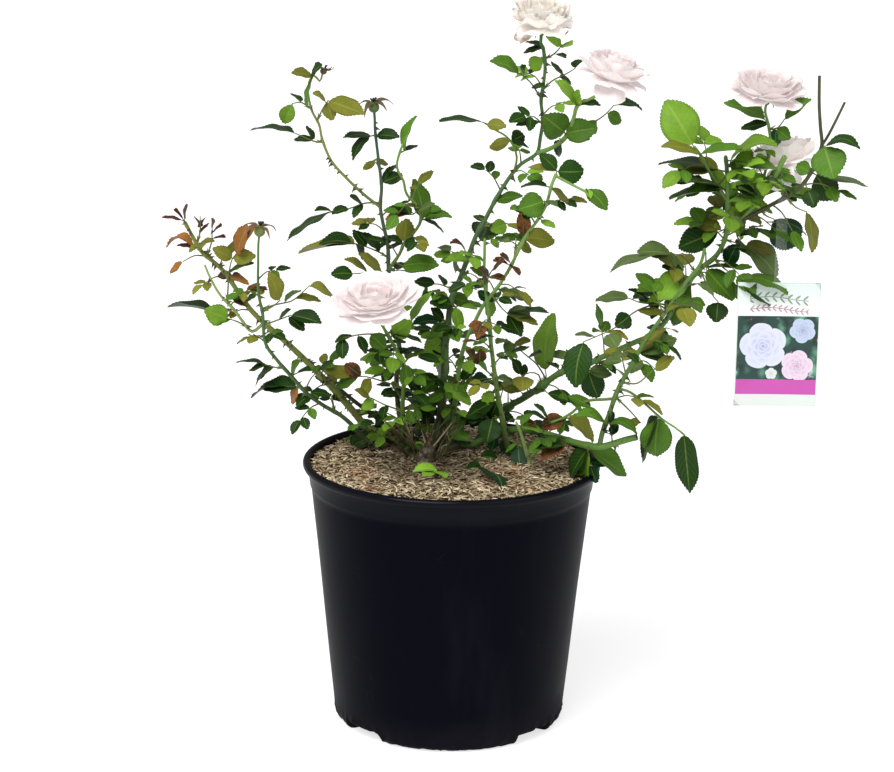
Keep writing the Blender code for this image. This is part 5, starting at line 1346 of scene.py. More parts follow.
class Finishes:
    """Every finish's material, each made once."""

    def __init__(self) -> None:
        """Make the materials."""
        self.leaf = LeafFinish().material()
        self.bark = BarkFinish().material()
        self.prickle = PrickleFinish().material()
        self.petal = PetalFinish().material()
        self.pot = PotFinish().material()
        self.hull = HullFinish().material()
        # The mulch bed is dark: partly the mulch below the hulls, partly painted shade showing in the gaps
        # between them.
        self.bed = SoilFinish("mulch_bed", srgb(70, 50, 34), srgb(176, 140, 96)).material()
        self.mix = SoilFinish("potting_mix").material()
        self.card = CardFinish().material()
        self.strap = StrapFinish().material()
        self.floor = FloorFinish().material()


def keep(piece: Thing, slot: str, material: bpy.types.Material, *nodes: str) -> None:
    """Dress a finished piece and join it to the pot's body.

    Args:
        piece: the piece.
        slot: the record's material slot for the piece; not used.
        material: its material.
        nodes: the CAD nodes that it stands for.
    """
    piece.data.materials.clear()
    piece.data.materials.append(material)
    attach(piece, ROOT)
    if nodes:
        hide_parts(*nodes)
    LOG.info("%s: %d faces", piece.name, len(piece.data.polygons))


def shade_of(colour: Sequence[float], factor: float = 1.0, alpha: float = 0.0) -> np.ndarray:
    """A colour made lighter or darker, with alpha."""
    return np.array([*(min(1.0, part * factor) for part in colour), alpha])


def unit(vector: np.ndarray) -> np.ndarray:
    """A vector of length 1 in the same direction."""
    return vector / (np.linalg.norm(vector) + 1e-9)


def turned_from(angle: float, others: Sequence[float]) -> float:
    """How many degrees lie between an angle and the nearest of some others."""
    return min(abs((angle - other + 180.0) % 360.0 - 180.0) for other in others)


@dataclass
class NurseryPot:
    """The moulded pot: a tapered wall with a stepped collar and a rolled lip, on a foot with four notches."""

    finishes: Finishes
    steps: int = 288
    wall: float = 1.6
    floor: float = 4.2
    collar: float = 222.5
    notch_angles: tuple[float, ...] = (49.0, 131.0, 229.0, 311.0)
    notch_width: float = 44.0
    notch_height: float = 9.5
    notch_inner: float = 80.0
    dent: float = 0.55
    burr: float = 3.2

    def outside(self) -> list[tuple[float, float, float, float]]:
        """The outer profile from the foot's middle to the lip: (radius, height) plain and in a notch."""
        low = FOOT_RADIUS
        rim = RIM_RADIUS
        deep = self.notch_inner
        roof = self.notch_height
        rows = [(0.0, 0.9, 0.0, 0.9), (60.0, 0.9, 60.0, 0.9), (deep - 3, 0.6, deep - 3, 0.6),
                (deep, 0.2, deep, 0.6), (low - 4, 0.0, deep + 0.6, roof - 1.5),
                (low, 0.15, deep + 3, roof - 0.3), (low + 2.6, 0.9, 92.0, roof),
                (low + 4.6, 2.4, 100.0, roof), (low + 6.0, 4.4, 105.0, roof),
                (low + 6.9, 7.2, low + 7.0, roof + 0.1), (low + 7.6, 10.6, low + 7.6, roof + 1.1)]
        top, foot = (rim - 8.6, self.collar), (low + 8.6, 20.0)
        plain = [(low + 8.1, 14.5), foot]
        plain += [(foot[0] + (top[0] - foot[0]) * share, foot[1] + (top[1] - foot[1]) * share)
                  for share in (k / 12 for k in range(1, 12))]
        plain += [top, (rim - 8.2, 226.2), (rim - 7.2, 228.2), (rim - 6.7, 229.6), (rim - 6.5, 231.5),
                  (rim - 5.9, 237.0), (rim - 5.3, 242.4), (rim - 4.6, 243.8), (rim - 2.6, 244.5),
                  (rim - 0.9, 245.6), (rim - 0.1, 247.2), (rim, 248.8), (rim - 0.5, 250.6),
                  (rim - 1.6, 251.9), (rim - 3.2, RIM_HEIGHT), (rim - 4.7, RIM_HEIGHT - 0.2),
                  (rim - 5.6, RIM_HEIGHT - 1.2)]
        return rows + [(r, z, r, z) for r, z in plain]

    def inside(self) -> list[tuple[float, float, float, float]]:
        """The inner profile from the lip down to the middle of the floor."""
        low = FOOT_RADIUS
        roof = self.notch_height + self.wall
        rim = RIM_RADIUS
        plain = [(rim - 6.6, 249.0), (rim - 7.4, 244.0), (rim - 8.8, 230.0), (rim - 10.1, 225.5),
                 (low + 6.6, 18.0)]
        return [(r, z, r, z) for r, z in plain] + [
            (low + 6.2, 12.0, low + 6.0, roof + 1.5), (low + 2.0, self.floor, low - 3.0, roof),
            (self.notch_inner - 2.5, self.floor, self.notch_inner - 2.5, roof),
            (self.notch_inner - 4.5, self.floor, self.notch_inner - 4.5, self.floor),
            (0.0, self.floor, 0.0, self.floor)]

    @property
    def half_notch(self) -> float:
        """Half a notch's width in degrees round the foot."""
        return math.degrees(math.asin(self.notch_width / 2.0 / (FOOT_RADIUS + 4.0)))

    def notch_share(self, angle: float) -> float:
        """How far a column of the wall at an angle in degrees lies in a notch: 0 for none, 1 for inside."""
        off = turned_from(angle, self.notch_angles)
        return 1.0 - min(1.0, max(0.0, (off - self.half_notch + 0.6) / 1.2))

    def columns(self) -> list[float]:
        """The angles of the wall's columns in degrees, close together at the notches' sides."""
        edges = [(middle + side * self.half_notch + step) % 360.0
                 for middle in self.notch_angles for side in (-1, 1) for step in (-0.9, -0.3, 0.3, 0.9)]
        plain = [360.0 * k / self.steps for k in range(self.steps)]
        return sorted([angle for angle in plain if turned_from(angle, edges) > 0.8] + edges)

    def build(self) -> None:
        """Make the pot and dress it."""
        angles = self.columns()
        rows = self.outside() + self.inside()
        points = []
        for r, z, notch_r, notch_z in rows:
            for angle in angles:
                share = self.notch_share(angle)
                radius = r + (notch_r - r) * share
                height = z + (notch_z - z) * share
                turn = math.radians(angle)
                wave = noise.noise(Vector((2.2 * math.sin(turn), 2.2 * math.cos(turn), height / 90.0)))
                radius += self.dent * wave * min(1.0, radius / 90.0)
                if radius > 88.0 and height < 12.5:
                    burr = noise.noise(Vector((math.sin(turn) * 15.0, math.cos(turn) * 15.0, height / 9.0)))
                    radius += self.burr * burr
                    height += self.burr * max(0.0, burr)
                points.append((radius * math.sin(turn), -radius * math.cos(turn), height))
        shell = Shell()
        shell.add(np.array(points), ring_faces(len(rows), len(angles)), np.zeros(4))
        pot = shell.mesh("moulded_pot", 32.0)
        bm = bmesh.new()
        bm.from_mesh(pot.data)
        bmesh.ops.remove_doubles(bm, verts=bm.verts, dist=1e-6)
        bmesh.ops.recalc_face_normals(bm, faces=bm.faces)
        bm.to_mesh(pot.data)
        bm.free()
        keep(pot, "pot", self.finishes.pot, "nursery_pot")


@dataclass
class Mulch:
    """The rice hulls: a bumpy bed with thousands of loose hulls strewn over it."""

    finishes: Finishes
    rings: int = 44
    spokes: int = 120
    swell: float = 1.6
    per_square_metre: float = 260000.0
    hull_length: float = 9.4
    hull_width: float = 1.9
    hull_height: float = 1.0

    def bed(self, name: str) -> Thing:
        """The bed's bumpy upper side, closed below."""
        shell = Shell()
        points = [(0.0, 0.0, MULCH_TOP - 0.6)]
        for ring in range(1, self.rings + 1):
            radius = MULCH_RADIUS * ring / self.rings
            for k in range(self.spokes):
                turn = 2.0 * math.pi * k / self.spokes
                x, y = radius * math.cos(turn), radius * math.sin(turn)
                rise = self.swell * noise.noise(Vector((x / 16.0, y / 16.0, 3.0)))
                rise += 0.5 * self.swell * noise.noise(Vector((x / 5.0, y / 5.0, 7.0)))
                points.append((x, y, MULCH_TOP - 0.8 + rise))
        last = 1 + (self.rings - 1) * self.spokes
        points += [(x * 0.97, y * 0.97, MULCH_TOP - 8.0) for x, y, _ in points[last:]]
        points.append((0.0, 0.0, MULCH_TOP - 8.0))
        faces = []
        for k in range(self.spokes):
            after = (k + 1) % self.spokes
            faces.append((0, 1 + k, 1 + after))
            for ring in range(self.rings):
                low = 1 + ring * self.spokes
                faces.append((low + k, low + self.spokes + k, low + self.spokes + after, low + after))
            under = last + self.spokes
            faces.append((under + k, len(points) - 1, under + after))
        shell.add(np.array(points), faces, np.zeros(4))
        return shell.mesh(name)

    def hull(self) -> Thing:
        """One hull: a pinched boat of a few faces."""
        shell = Shell()
        half, wide, tall = self.hull_length / 2.0, self.hull_width / 2.0, self.hull_height
        points = np.array([(-half, 0, 0.1), (-half * 0.2, -wide, 0.2), (half * 0.3, -wide * 0.8, 0.2),
                           (half, 0, 0), (half * 0.3, wide * 0.8, 0.2), (-half * 0.2, wide, 0.2),
                           (-half * 0.3, 0, tall), (half * 0.4, 0, tall * 0.8), (0, 0, -tall * 0.5)])
        faces = [(0, 1, 6), (1, 2, 7, 6), (2, 3, 7), (3, 4, 7), (4, 5, 6, 7), (5, 0, 6),
                 (1, 0, 8), (2, 1, 8), (3, 2, 8), (4, 3, 8), (5, 4, 8), (0, 5, 8)]
        shell.add(points, faces, np.zeros(4))
        return shell.mesh("hull", 80.0)

    def strewn(self) -> Thing:
        """The loose hulls, scattered and tumbled over the bed, the lower ones painted darker as shade."""
        growth = Growth("strewn_hulls", {"Density": self.per_square_metre, "Tumble": 0.42, "Lift": 2.6 * MM,
                                         "Smallest": 0.6, "Largest": 1.1}, "Hull")
        up = growth.node("GeometryNodeInputNormal").outputs[0]
        height = growth.node("ShaderNodeSeparateXYZ", None, {0: up})
        top = growth.node("FunctionNodeCompare", {"data_type": "FLOAT", "operation": "GREATER_THAN"},
                          {0: Value(growth, height.outputs[2]), 1: 0.3})
        spread = growth.node("GeometryNodeDistributePointsOnFaces", None, {
            "Mesh": growth.source.outputs["Geometry"], "Selection": top.outputs[0],
            "Density": growth.number("Density"), "Seed": 11})
        tumble = growth.number("Tumble")
        turn = growth.node("ShaderNodeCombineXYZ", None, {
            0: growth.random(tumble * -1.0, tumble, 3), 1: growth.random(tumble * -1.0, tumble, 4),
            2: growth.random(0.0, 2.0 * math.pi, 5)})
        drop = growth.node("ShaderNodeCombineXYZ", None, {2: growth.random(0.0, growth.number("Lift"), 6)})
        raised = growth.node("GeometryNodeSetPosition", None, {
            "Geometry": spread.outputs["Points"], "Offset": drop.outputs[0]})
        copies = growth.scatter(raised.outputs[0], turn.outputs[0], 8)
        # The shade value reuses the lift's random value (seed 6), so lower hulls get painted shade; the rest
        # is random tone.
        shade = growth.random(0.0, 1.0, 6) * 0.62 + growth.random(0.0, 1.0, 9) * 0.38
        shaded = growth.node("GeometryNodeStoreNamedAttribute", {"data_type": "FLOAT", "domain": "INSTANCE"},
                             {"Geometry": copies, "Name": "shade", "Value": shade})
        return growth.apply(self.bed("strewn_ground"), self.hull(), "loose_rice_hulls", shaded.outputs[0],
                            self.finishes.hull)

    def build(self) -> None:
        """Make the bed and the hulls and dress them."""
        keep(self.bed("mulch_bed"), "mulch", self.finishes.bed, "rice_hull_mulch")
        keep(self.strewn(), "mulch", self.finishes.hull, "rice_hull_mulch")


@dataclass
class Crown:
    """The woody stump that the canes grow from, half in the mulch."""

    finishes: Finishes
    place: tuple[float, float, float] = (-25.0, 251.0, 8.0)
    radii: tuple[float, float, float] = (10.0, 9.0, 15.0)
    lean: float = 24.0
    lift: float = 2.0
    tone: Rgb = srgb(58, 50, 32)
    twigs: int = 26
    twig_tones: tuple[Rgb, ...] = (srgb(62, 50, 30), srgb(46, 40, 26), srgb(70, 72, 38), srgb(150, 134, 102))

    def build(self) -> None:
        """Make the stump and dress it."""
        bm = bmesh.new()
        bmesh.ops.create_icosphere(bm, subdivisions=5, radius=1.0)
        bmesh.ops.scale(bm, vec=self.radii, verts=bm.verts)
        bmesh.ops.rotate(bm, matrix=Matrix.Rotation(math.radians(self.lean), 3, "Y"), verts=bm.verts)
        middle = seen(*self.place)
        for vert in bm.verts:
            way = vert.co.normalized()
            crack = abs(noise.noise(Vector((vert.co.x / 3.0, vert.co.y / 3.0, vert.co.z / 14.0))))
            knob = noise.noise(vert.co / 9.0)
            vert.co = (vert.co + way * (knob * 2.2 - crack * 2.4) + Vector((middle.x, middle.y, MULCH_TOP
                                                                              + self.lift))) * MM
        data = bpy.data.meshes.new("crown_stump")
        bm.to_mesh(data)
        bm.free()
        layer = data.color_attributes.new("tone", "FLOAT_COLOR", "POINT")
        colours = np.tile([*self.tone, 0.3], (len(data.vertices), 1))
        layer.data.foreach_set("color", colours.astype(np.float32).ravel())
        data.shade_smooth()
        keep(link("crown_stump", data), "wood", self.finishes.bark, "rose_crown")
        self.grow_arms(middle)
        self.grow_dead_twigs(middle)

    def grow_arms(self, middle: Vector) -> None:
        """The short woody arms between the stump and the feet of the canes near it."""
        shell = Shell()
        rng = random.Random(4)
        start = Vector((middle.x, middle.y, MULCH_TOP - 4.0))
        for name, thick in (("cane_left_arch", 5.2), ("cane_left_bloom", 3.8), ("cane_star_hip", 4.0),
                            ("cane_main", 5.4), ("cane_right_low", 4.2)):
            foot = stem_points(STEM_NAMED[name])[1]
            knee = start.lerp(foot, 0.55) + Vector((rng.uniform(-3, 3), rng.uniform(-3, 3), 3.0))
            path = smooth_path([start, knee, foot, foot.lerp(stem_points(STEM_NAMED[name])[2], 0.35)], 3.0)
            share = np.linspace(0.0, 1.0, len(path))
            radii = thick * (1.15 - 0.3 * share) * (1.0 + 0.1 * np.sin(share * 17.0 + thick))
            shell.tube(path, radii, 9, shade_of(srgb(62, 66, 34), rng.uniform(0.7, 1.1), 0.45))
        keep(shell.mesh("crown_arms"), "wood", self.finishes.bark)

    def grow_dead_twigs(self, middle: Vector) -> None:
        """The thin dry twigs and spent stalks that stand about the crown."""
        shell = Shell()
        rng = random.Random(12)
        for _ in range(self.twigs):
            turn = rng.uniform(0.0, 2.0 * math.pi)
            foot = Vector((middle.x + 34.0 * math.cos(turn) * rng.random() + 6.0,
                           middle.y + 26.0 * math.sin(turn) * rng.random() + 8.0, MULCH_TOP - 2.0))
            way = Vector((rng.uniform(-0.8, 0.8), rng.uniform(-0.7, 0.5), rng.uniform(0.5, 1.2))).normalized()
            length = rng.uniform(18.0, 62.0)
            bend = Vector((rng.uniform(-5, 5), rng.uniform(-5, 5), rng.uniform(-2, 5)))
            path = smooth_path([foot, foot + way * length * 0.5 + bend, foot + way * length], 4.0)
            share = np.linspace(0.0, 1.0, len(path))
            tone = shade_of(rng.choice(self.twig_tones), 1.0, 0.4)
            shell.tube(path, rng.uniform(0.8, 1.5) * (1.0 - 0.5 * share), 5, tone)
            if rng.random() < 0.6:
                fork = path[len(path) // 2]
                end = fork + np.array(way) * length * 0.3
                end += np.array([rng.uniform(-9, 9), rng.uniform(-9, 9), 5.0])
                shell.tube(np.array([fork, (fork + end) / 2 + 1.0, end]), np.array([0.7, 0.6, 0.4]), 4, tone)
        keep(shell.mesh("dry_twigs"), "wood", self.finishes.bark)


@dataclass
class LeafMaker:
    """Makes one leaflet: a serrated blade, folded along its midrib, arched and softly waved."""

    thickness: float = 0.34
    fold: float = 0.32
    droop: float = 0.09
    wave: float = 0.022
    tooth: float = 0.022
    tooth_pitch: float = 2.7
    fewest_teeth: int = 6
    most_teeth: int = 20
    fuller: float = 1.14
    belly: float = 0.62
    point: float = 0.85
    columns: tuple[float, ...] = (-1.0, -0.55, 0.0, 0.55, 1.0)

    def upper_side(self, ahead: np.ndarray, width: float, length: float,
                   middle: np.ndarray) -> tuple[np.ndarray, np.ndarray, float]:
        """The blade's sideways direction and its upper normal.

        Args:
            ahead: the direction from base to tip.
            width: the width at which the leaflet is seen.
            length: its real length.
            middle: its middle.

        Returns:
            The sideways direction, the upper normal and the real width.
        """
        sight = unit(middle - np.array(EYE))
        across = unit(np.cross(ahead, sight))
        away = unit(np.cross(ahead, across))
        real = max(width, length * LEAF_WIDTH_RATIO)
        share = min(1.0, width / real)
        roll = math.sqrt(max(0.0, 1.0 - share * share))
        best = None
        for side in (1.0, -1.0):
            edge = unit(across * share + away * roll * side)
            normal = unit(np.cross(edge, ahead))
            if normal.dot(sight) > 0.0:
                normal, edge = -normal, -edge
            if best is None or normal[2] > best[1][2] + 0.02:
                best = (edge, normal)
        edge, normal = best
        if normal[2] < -0.5:
            edge, normal = -edge, -normal
        return edge, normal, real

    def add(self, shell: Shell, base: np.ndarray, tip: np.ndarray, width: float, arch: float,
            tone: LeafTone, rng: random.Random, facing: np.ndarray | None = None) -> None:
        """Add a leaflet to a shell.

        Args:
            shell: the leaves' shell.
            base: where the blade starts.
            tip: its tip.
            width: the width at which it is seen.
            arch: how far its middle rises above the line from base to tip.
            tone: its colours.
            rng: what varies it.
            facing: the way that its upper side faces, or None to turn it as it is seen.
        """
        along = tip - base
        length = float(np.linalg.norm(along))
        ahead = along / length
        if facing is None:
            edge, normal, real = self.upper_side(ahead, width, length, (base + tip) / 2.0)
        else:
            edge, real = unit(np.cross(ahead, facing)), width
            normal = np.cross(edge, ahead)
        teeth = int(min(self.most_teeth, max(self.fewest_teeth, round(length / self.tooth_pitch))))
        rows = 2 * teeth + 2
        s = np.linspace(0.0, 1.0, rows)
        outline = np.power(s, self.belly) * np.power(1.0 - s, self.point) / 0.3675
        outline[0], outline[-1] = 0.06, 0.035
        saw = np.where(np.arange(rows) % 2 == 0, 1.0, -1.0) * self.tooth
        saw[0] = saw[-1] = 0.0
        u = np.array(self.columns)
        half = real / 2.0 * self.fuller
        reach = np.outer(outline, u) * half
        reach[:, 0] *= 1.0 + saw
        reach[:, -1] *= 1.0 + saw
        forward = np.zeros(reach.shape)
        forward[:, 0] = forward[:, -1] = np.maximum(saw, 0.0) / self.tooth * length / rows * 0.9
        forward[-1] = 0.0
        fold = self.fold * rng.uniform(0.5, 1.5)
        phase = rng.uniform(0.0, FULL_TURN)
        waves = rng.uniform(1.5, 2.6)
        rise = np.abs(reach) * fold - reach * reach / (real + 1.0) * 0.28
        ripple = np.sin(2 * math.pi * waves * s + phase)[:, None] * (u * u) * half * self.wave * 2.2
        ripple = ripple * np.where(u < 0, 1.0, -1.0)
        droop = self.droop * rng.uniform(0.4, 1.6) * length
        line = base + np.outer(s, along) + np.outer(4 * s * (1 - s), [0.0, 0.0, arch])
        line += np.outer(4 * s * (1 - s), normal) * droop * 0.6
        curl = rng.uniform(-0.035, 0.035) * length * np.sin(math.pi * s)
        line += np.outer(curl, edge)
        grid = line[:, None, :] + reach[:, :, None] * edge + (rise + ripple)[:, :, None] * normal
        grid += forward[:, :, None] * ahead
        factor = rng.uniform(0.72, 1.18)
        upper = shade_of(tone.upper, factor, tone.rust * rng.uniform(0.4, 1.3))
        under = shade_of([part * 0.8 + 0.045 for part in tone.upper], 0.95, tone.rust * 0.5)
        shell.blade(grid, self.thickness, upper, under)


@dataclass
class Canes:
    """The canes, shoots and twigs with their bark, the leaves that grow on them, and the prickles."""

    finishes: Finishes
    maker: LeafMaker = field(default_factory=LeafMaker)
    step: float = 4.0
    sides: int = 10
    stalk_radius: float = 0.75
    node_swell: float = 0.2
    stipule_profile: tuple[float, ...] = (0.25, 0.8, 0.95, 0.8, 0.1)
    prickles_per_square_metre: float = 15000.0
    prickle_length: float = 5.0
    prickle_seat: float = 0.94
    prickle_rings: tuple = ((-0.12, 0.0, 0.42, 0.2), (0.12, 0.03, 0.33, 0.15), (0.4, 0.1, 0.19, 0.09),
                            (0.72, 0.24, 0.1, 0.05))

    def path_of(self, stem: Stem) -> np.ndarray:
        """A stem's smooth centre line."""
        return smooth_path(stem_points(stem), self.step)

    def add_stem(self, bark: Shell, stem: Stem) -> None:
        """Add a stem's bark, swollen a little where leaves leave it, with a rounded or sawn end."""
        path = self.path_of(stem)
        lengths = lengths_along(path)
        share = lengths / lengths[-1]
        radii = stem.thin + (stem.thick - stem.thin) * (1.0 - share) ** SLENDER.get(stem.name, 1.0)
        rng = random.Random(stem.name)
        woody = np.clip(1.1 - share * 3.0, 0.0, 1.0) * (0.0 if stem.parent else 0.45)
        if stem.bark in (Bark.OLD, Bark.OLIVE):
            woody = np.maximum(woody, 0.4 - share * 0.25)
        for number, spray in sprays_of(stem):
            start = np.array(stalk_points(stem, spray, number)[0])
            gap = np.linalg.norm(path - start, axis=1)
            radii = radii * (1.0 + self.node_swell * np.exp(-(gap / 3.2) ** 2))
            woody = np.maximum(woody, 0.45 * np.exp(-(gap / 2.5) ** 2))
        uneven = [noise.noise(Vector((rng.random() * 0.2, k * 0.37, len(stem.name))))
                  for k in range(len(path))]
        radii = radii * (1.0 + 0.05 * np.array(uneven))
        low, high = np.array(stem.bark.value.low), np.array(stem.bark.value.high)
        colours = low + (high - low) * share[:, None]
        colours = np.hstack([colours, woody[:, None]])
        sawn = stem.name in SAWN_ENDS
        if not sawn:
            tip = path[-1] + unit(path[-1] - path[-2]) * radii[-1] * 0.7
            path = np.vstack([path, tip])
            radii = np.append(radii, radii[-1] * 0.5)
            colours = np.vstack([colours, colours[-1:]])
        sides = self.sides if stem.thick > 2.0 else self.sides - 3
        bark.tube(path, radii, sides, colours, SAWN_ENDS[stem.name] if sawn else None)

    def add_spray(self, shell: Shell, stem: Stem, spray: Spray, number: int) -> None:
        """Add a leaf: its stalk, its stipules and its leaflets.

        Args:
            shell: the leaves' shell.
            stem: the stem that carries it.
            spray: the leaf.
            number: its place in the list of sprays.
        """
        rng = random.Random(number * 7 + 1)
        points = stalk_points(stem, spray, number)
        if len(points) > 1:
            path = smooth_path(points, 4.0)
            share = lengths_along(path)
            share = share / max(share[-1], 1e-6)
            radii = self.stalk_radius * (1.25 - 0.6 * share)
            tone = shade_of(srgb(118, 126, 72), rng.uniform(0.8, 1.1), rng.uniform(0.0, 0.3))
            shell.tube(path, radii, 5, tone)
            self.add_stipules(shell, path, rng)
        away = 1.0 if number % 2 and spray.alone != OVER_TAG else -1.0
        for leaflet, letter in zip(spray.leaflets, spray.tones):
            root, tip = leaflet_ends(points, leaflet, away)
            base = np.array(root)
            arch = leaflet[5] if len(leaflet) > 5 else 0.0
            end = np.array(tip)
            self.add_petiolule(shell, base, end, rng)
            self.maker.add(shell, base + unit(end - base) * 1.2, end, leaflet[4], arch,
                           TONE_LETTERS[letter].value, rng)

    def add_petiolule(self, shell: Shell, base: np.ndarray, end: np.ndarray, rng: random.Random) -> None:
        """Add the short stalk of a leaflet."""
        way = unit(end - base)
        path = np.array([base - way * 0.4, base + way * 1.6])
        shell.tube(path, np.array([0.55, 0.5]), 4, shade_of(srgb(112, 122, 66), rng.uniform(0.8, 1.1)))

    def add_stipules(self, shell: Shell, path: np.ndarray, rng: random.Random) -> None:
        """Add the pair of narrow wings at a leaf stalk's foot."""
        if len(path) < 4:
            return
        ahead = unit(path[min(3, len(path) - 1)] - path[0])
        side = unit(np.cross(ahead, np.array([0.1, -1.0, 0.35])))
        up = np.cross(side, ahead)
        s = np.linspace(0.0, 1.0, 5)
        wide = np.array(self.stipule_profile)
        u = np.array([0.0, 0.5, 1.0])
        for turn in (-1.0, 1.0):
            line = path[0] + np.outer(s * 9.0, ahead) + np.outer(np.maximum(0.0, s - 0.6) * 5.0, side * turn)
            grid = line[:, None, :] + (np.outer(wide, u) * 1.3)[:, :, None] * side * turn
            grid += (np.outer(wide, u * u) * 0.5)[:, :, None] * up
            tone = shade_of(srgb(120, 138, 70), rng.uniform(0.8, 1.1), 0.2)
            shell.blade(grid if turn < 0 else grid[:, ::-1], 0.25, tone, tone)

    def add_cluster(self, shell: Shell, stem: Stem, cluster: Cluster) -> None:
        """Add the leaves of a cluster, each on its own stalk, turned round the stem one after another.

        Args:
            shell: the leaves' shell.
            stem: the stem that carries them.
            cluster: the cluster.
        """
        rng = random.Random(cluster.stem + cluster.tones)
        path = self.path_of(stem)
        for k in range(cluster.count):
            share = cluster.low + (cluster.high - cluster.low) * (k + rng.uniform(0.1, 0.9)) / cluster.count
            index = int(share * (len(path) - 2))
            ahead = unit(path[index + 1] - path[index])
            side = unit(np.cross(ahead, np.array([0.1, 1.0, 0.2])))
            turn = GOLDEN_ANGLE * k + rng.uniform(-0.5, 0.5)
            out = side * math.cos(turn) + np.cross(ahead, side) * math.sin(turn)
            way = unit(out + ahead * 0.3 + np.array([0.0, 0.0, 0.3]))
            length = cluster.size * rng.uniform(0.9, 1.6)
            points = [Vector(path[index]), Vector(path[index] + way * length * 0.5 + np.array([0, 0, 1.5])),
                      Vector(path[index] + way * length + np.array([0, 0, -length * 0.14]))]
            line = smooth_path(points, 4.0)
            part = lengths_along(line)
            radii = self.stalk_radius * (1.1 - 0.5 * part / part[-1])
            tone = shade_of(srgb(112, 122, 64), rng.uniform(0.75, 1.1), rng.uniform(0.0, 0.4))
            shell.tube(line, radii, 5, tone)
            along = unit(line[-1] - line[-2])
            face = unit(np.array([rng.uniform(-0.35, 0.35), rng.uniform(-0.8, 0.0), 1.0]))
            across = unit(np.cross(along, face))
            pairs = rng.choice((1, 1, 2))
            places = [(len(line) - 1, 0.0)]
            for pair in range(pairs):
                row = int((len(line) - 1) * (0.86 - 0.34 * pair))
                places += [(row, 1.0), (row, -1.0)]
            for row, hand in places:
                if hand and rng.random() < 0.12:
                    continue
                reach = cluster.size * rng.uniform(0.72, 1.08) * (0.85 if hand else 1.1)
                aim = unit(along * (0.5 if hand else 1.0) + across * hand * 0.85
                           + np.array([0.0, 0.0, rng.uniform(-0.45, 0.1)]))
                base = line[row]
                letter = cluster.tones[(k + rng.randrange(2)) % len(cluster.tones)]
                self.maker.add(shell, base + aim * 0.8, base + aim * reach, reach * rng.uniform(0.52, 0.64),
                               0.0, TONE_LETTERS[letter].value, rng, unit(face + across * hand * 0.25))

    def prickle(self) -> Thing:
        """One prickle: a flat-footed hook that points along +X from a foot on Z = 0."""
        size = self.prickle_length
        shell = Shell()
        rings = []
        for lift, out, length, width in self.prickle_rings:
            for k in range(5):
                turn = 2.0 * math.pi * k / 5
                place = (out + length * math.cos(turn), width * math.sin(turn), lift)
                rings.append(tuple(part * size for part in place))
        points = np.array(rings + [(0.44 * size, 0.0, 0.98 * size), (0.0, 0.0, -0.12 * size)])
        faces = ring_faces(4, 5) + [(15 + k, 15 + (k + 1) % 5, 20) for k in range(5)]
        shell.add(points, faces + [((k + 1) % 5, k, 21) for k in range(5)], np.zeros(4))
        return shell.mesh("prickle", 60.0)

    def grow_prickles(self) -> None:
        """Scatter prickles over the bark and dress them."""
        bark = Shell()
        for stem in STEMS:
            share = PRICKLY.get(stem.name, 0.0)
            if share:
                path = self.path_of(stem)[5:]
                part = lengths_along(path)
                radii = (stem.thick + (stem.thin - stem.thick) * part / part[-1]) * self.prickle_seat
                bark.tube(path, radii, 6, np.array([share, share, share, 1.0]))
        growth = Growth("grown_prickles", {"Density": self.prickles_per_square_metre, "Smallest": 0.5,
                                           "Largest": 1.2}, "Prickle")
        share = growth.node("GeometryNodeInputNamedAttribute", {"data_type": "FLOAT_COLOR"}, {"Name": "tone"})
        part = growth.node("FunctionNodeSeparateColor", None, {0: share.outputs["Attribute"]})
        spread = growth.node("GeometryNodeDistributePointsOnFaces", None, {
            "Mesh": growth.source.outputs["Geometry"],
            "Density": growth.number("Density") * Value(growth, part.outputs[0]), "Seed": 5})
        stand = growth.node("FunctionNodeAlignRotationToVector", {"axis": "Z"}, {
            "Vector": spread.outputs["Normal"]})
        hook = growth.node("FunctionNodeAlignRotationToVector", {"axis": "X", "pivot_axis": "Z"}, {
            "Rotation": stand.outputs[0], "Vector": (0.0, 0.0, -1.0)})
        copies = growth.scatter(spread.outputs["Points"], hook.outputs[0], 2)
        piece = growth.apply(bark.mesh("prickly_bark"), self.prickle(), "cane_prickles", copies,
                             self.finishes.prickle)
        keep(piece, "green_stem", self.finishes.prickle)

    def build(self, nodes: Sequence[str], woody: Sequence[str]) -> None:
        """Make every cane with its leaves and prickles, and dress them.

        Args:
            nodes: the names of the CAD nodes.
            woody: the nodes whose record slot is wood.
        """
        for root in (stem for stem in STEMS if solid_of(stem) == stem.name):
            bark, leaves = Shell(), Shell()
            for stem in (stem for stem in STEMS if solid_of(stem) == root.name):
                self.add_stem(bark, stem)
                for number, spray in sprays_of(stem):
                    if spray.alone in nodes:
                        single = Shell()
                        self.add_spray(single, stem, spray, number)
                        keep(single.mesh(spray.alone + "_blades"), "leaf", self.finishes.leaf, spray.alone)
                    else:
                        self.add_spray(leaves, stem, spray, number)
                for cluster in CLUSTERS:
                    if cluster.stem == stem.name:
                        self.add_cluster(leaves, stem, cluster)
            slot = "wood" if root.name in woody else "green_stem"
            keep(bark.mesh(root.name + "_bark"), slot, self.finishes.bark, root.name)
            if leaves.count:
                keep(leaves.mesh(root.name + "_leaves"), "leaf", self.finishes.leaf, root.name)
        self.grow_prickles()


@dataclass(frozen=True)
class Whorl:
    """A ring of petals.

    Its petals leave the axis at the rise angle and end at the spread angle, in degrees above the level.
    """

    count: int
    length: float
    width: float
    rise: float
    spread: float
    start: float
    low: float = 0.0


@dataclass(frozen=True)
class BloomLook:
    """What one bloom's petals look like: its whorls, its colours and how far its edges have browned."""

    head: str
    whorls: tuple[Whorl, ...]
    rim: Rgb
    heart: Rgb
    brown: float = 0.0
    ruffle: float = 1.0
    height: float = 1.0


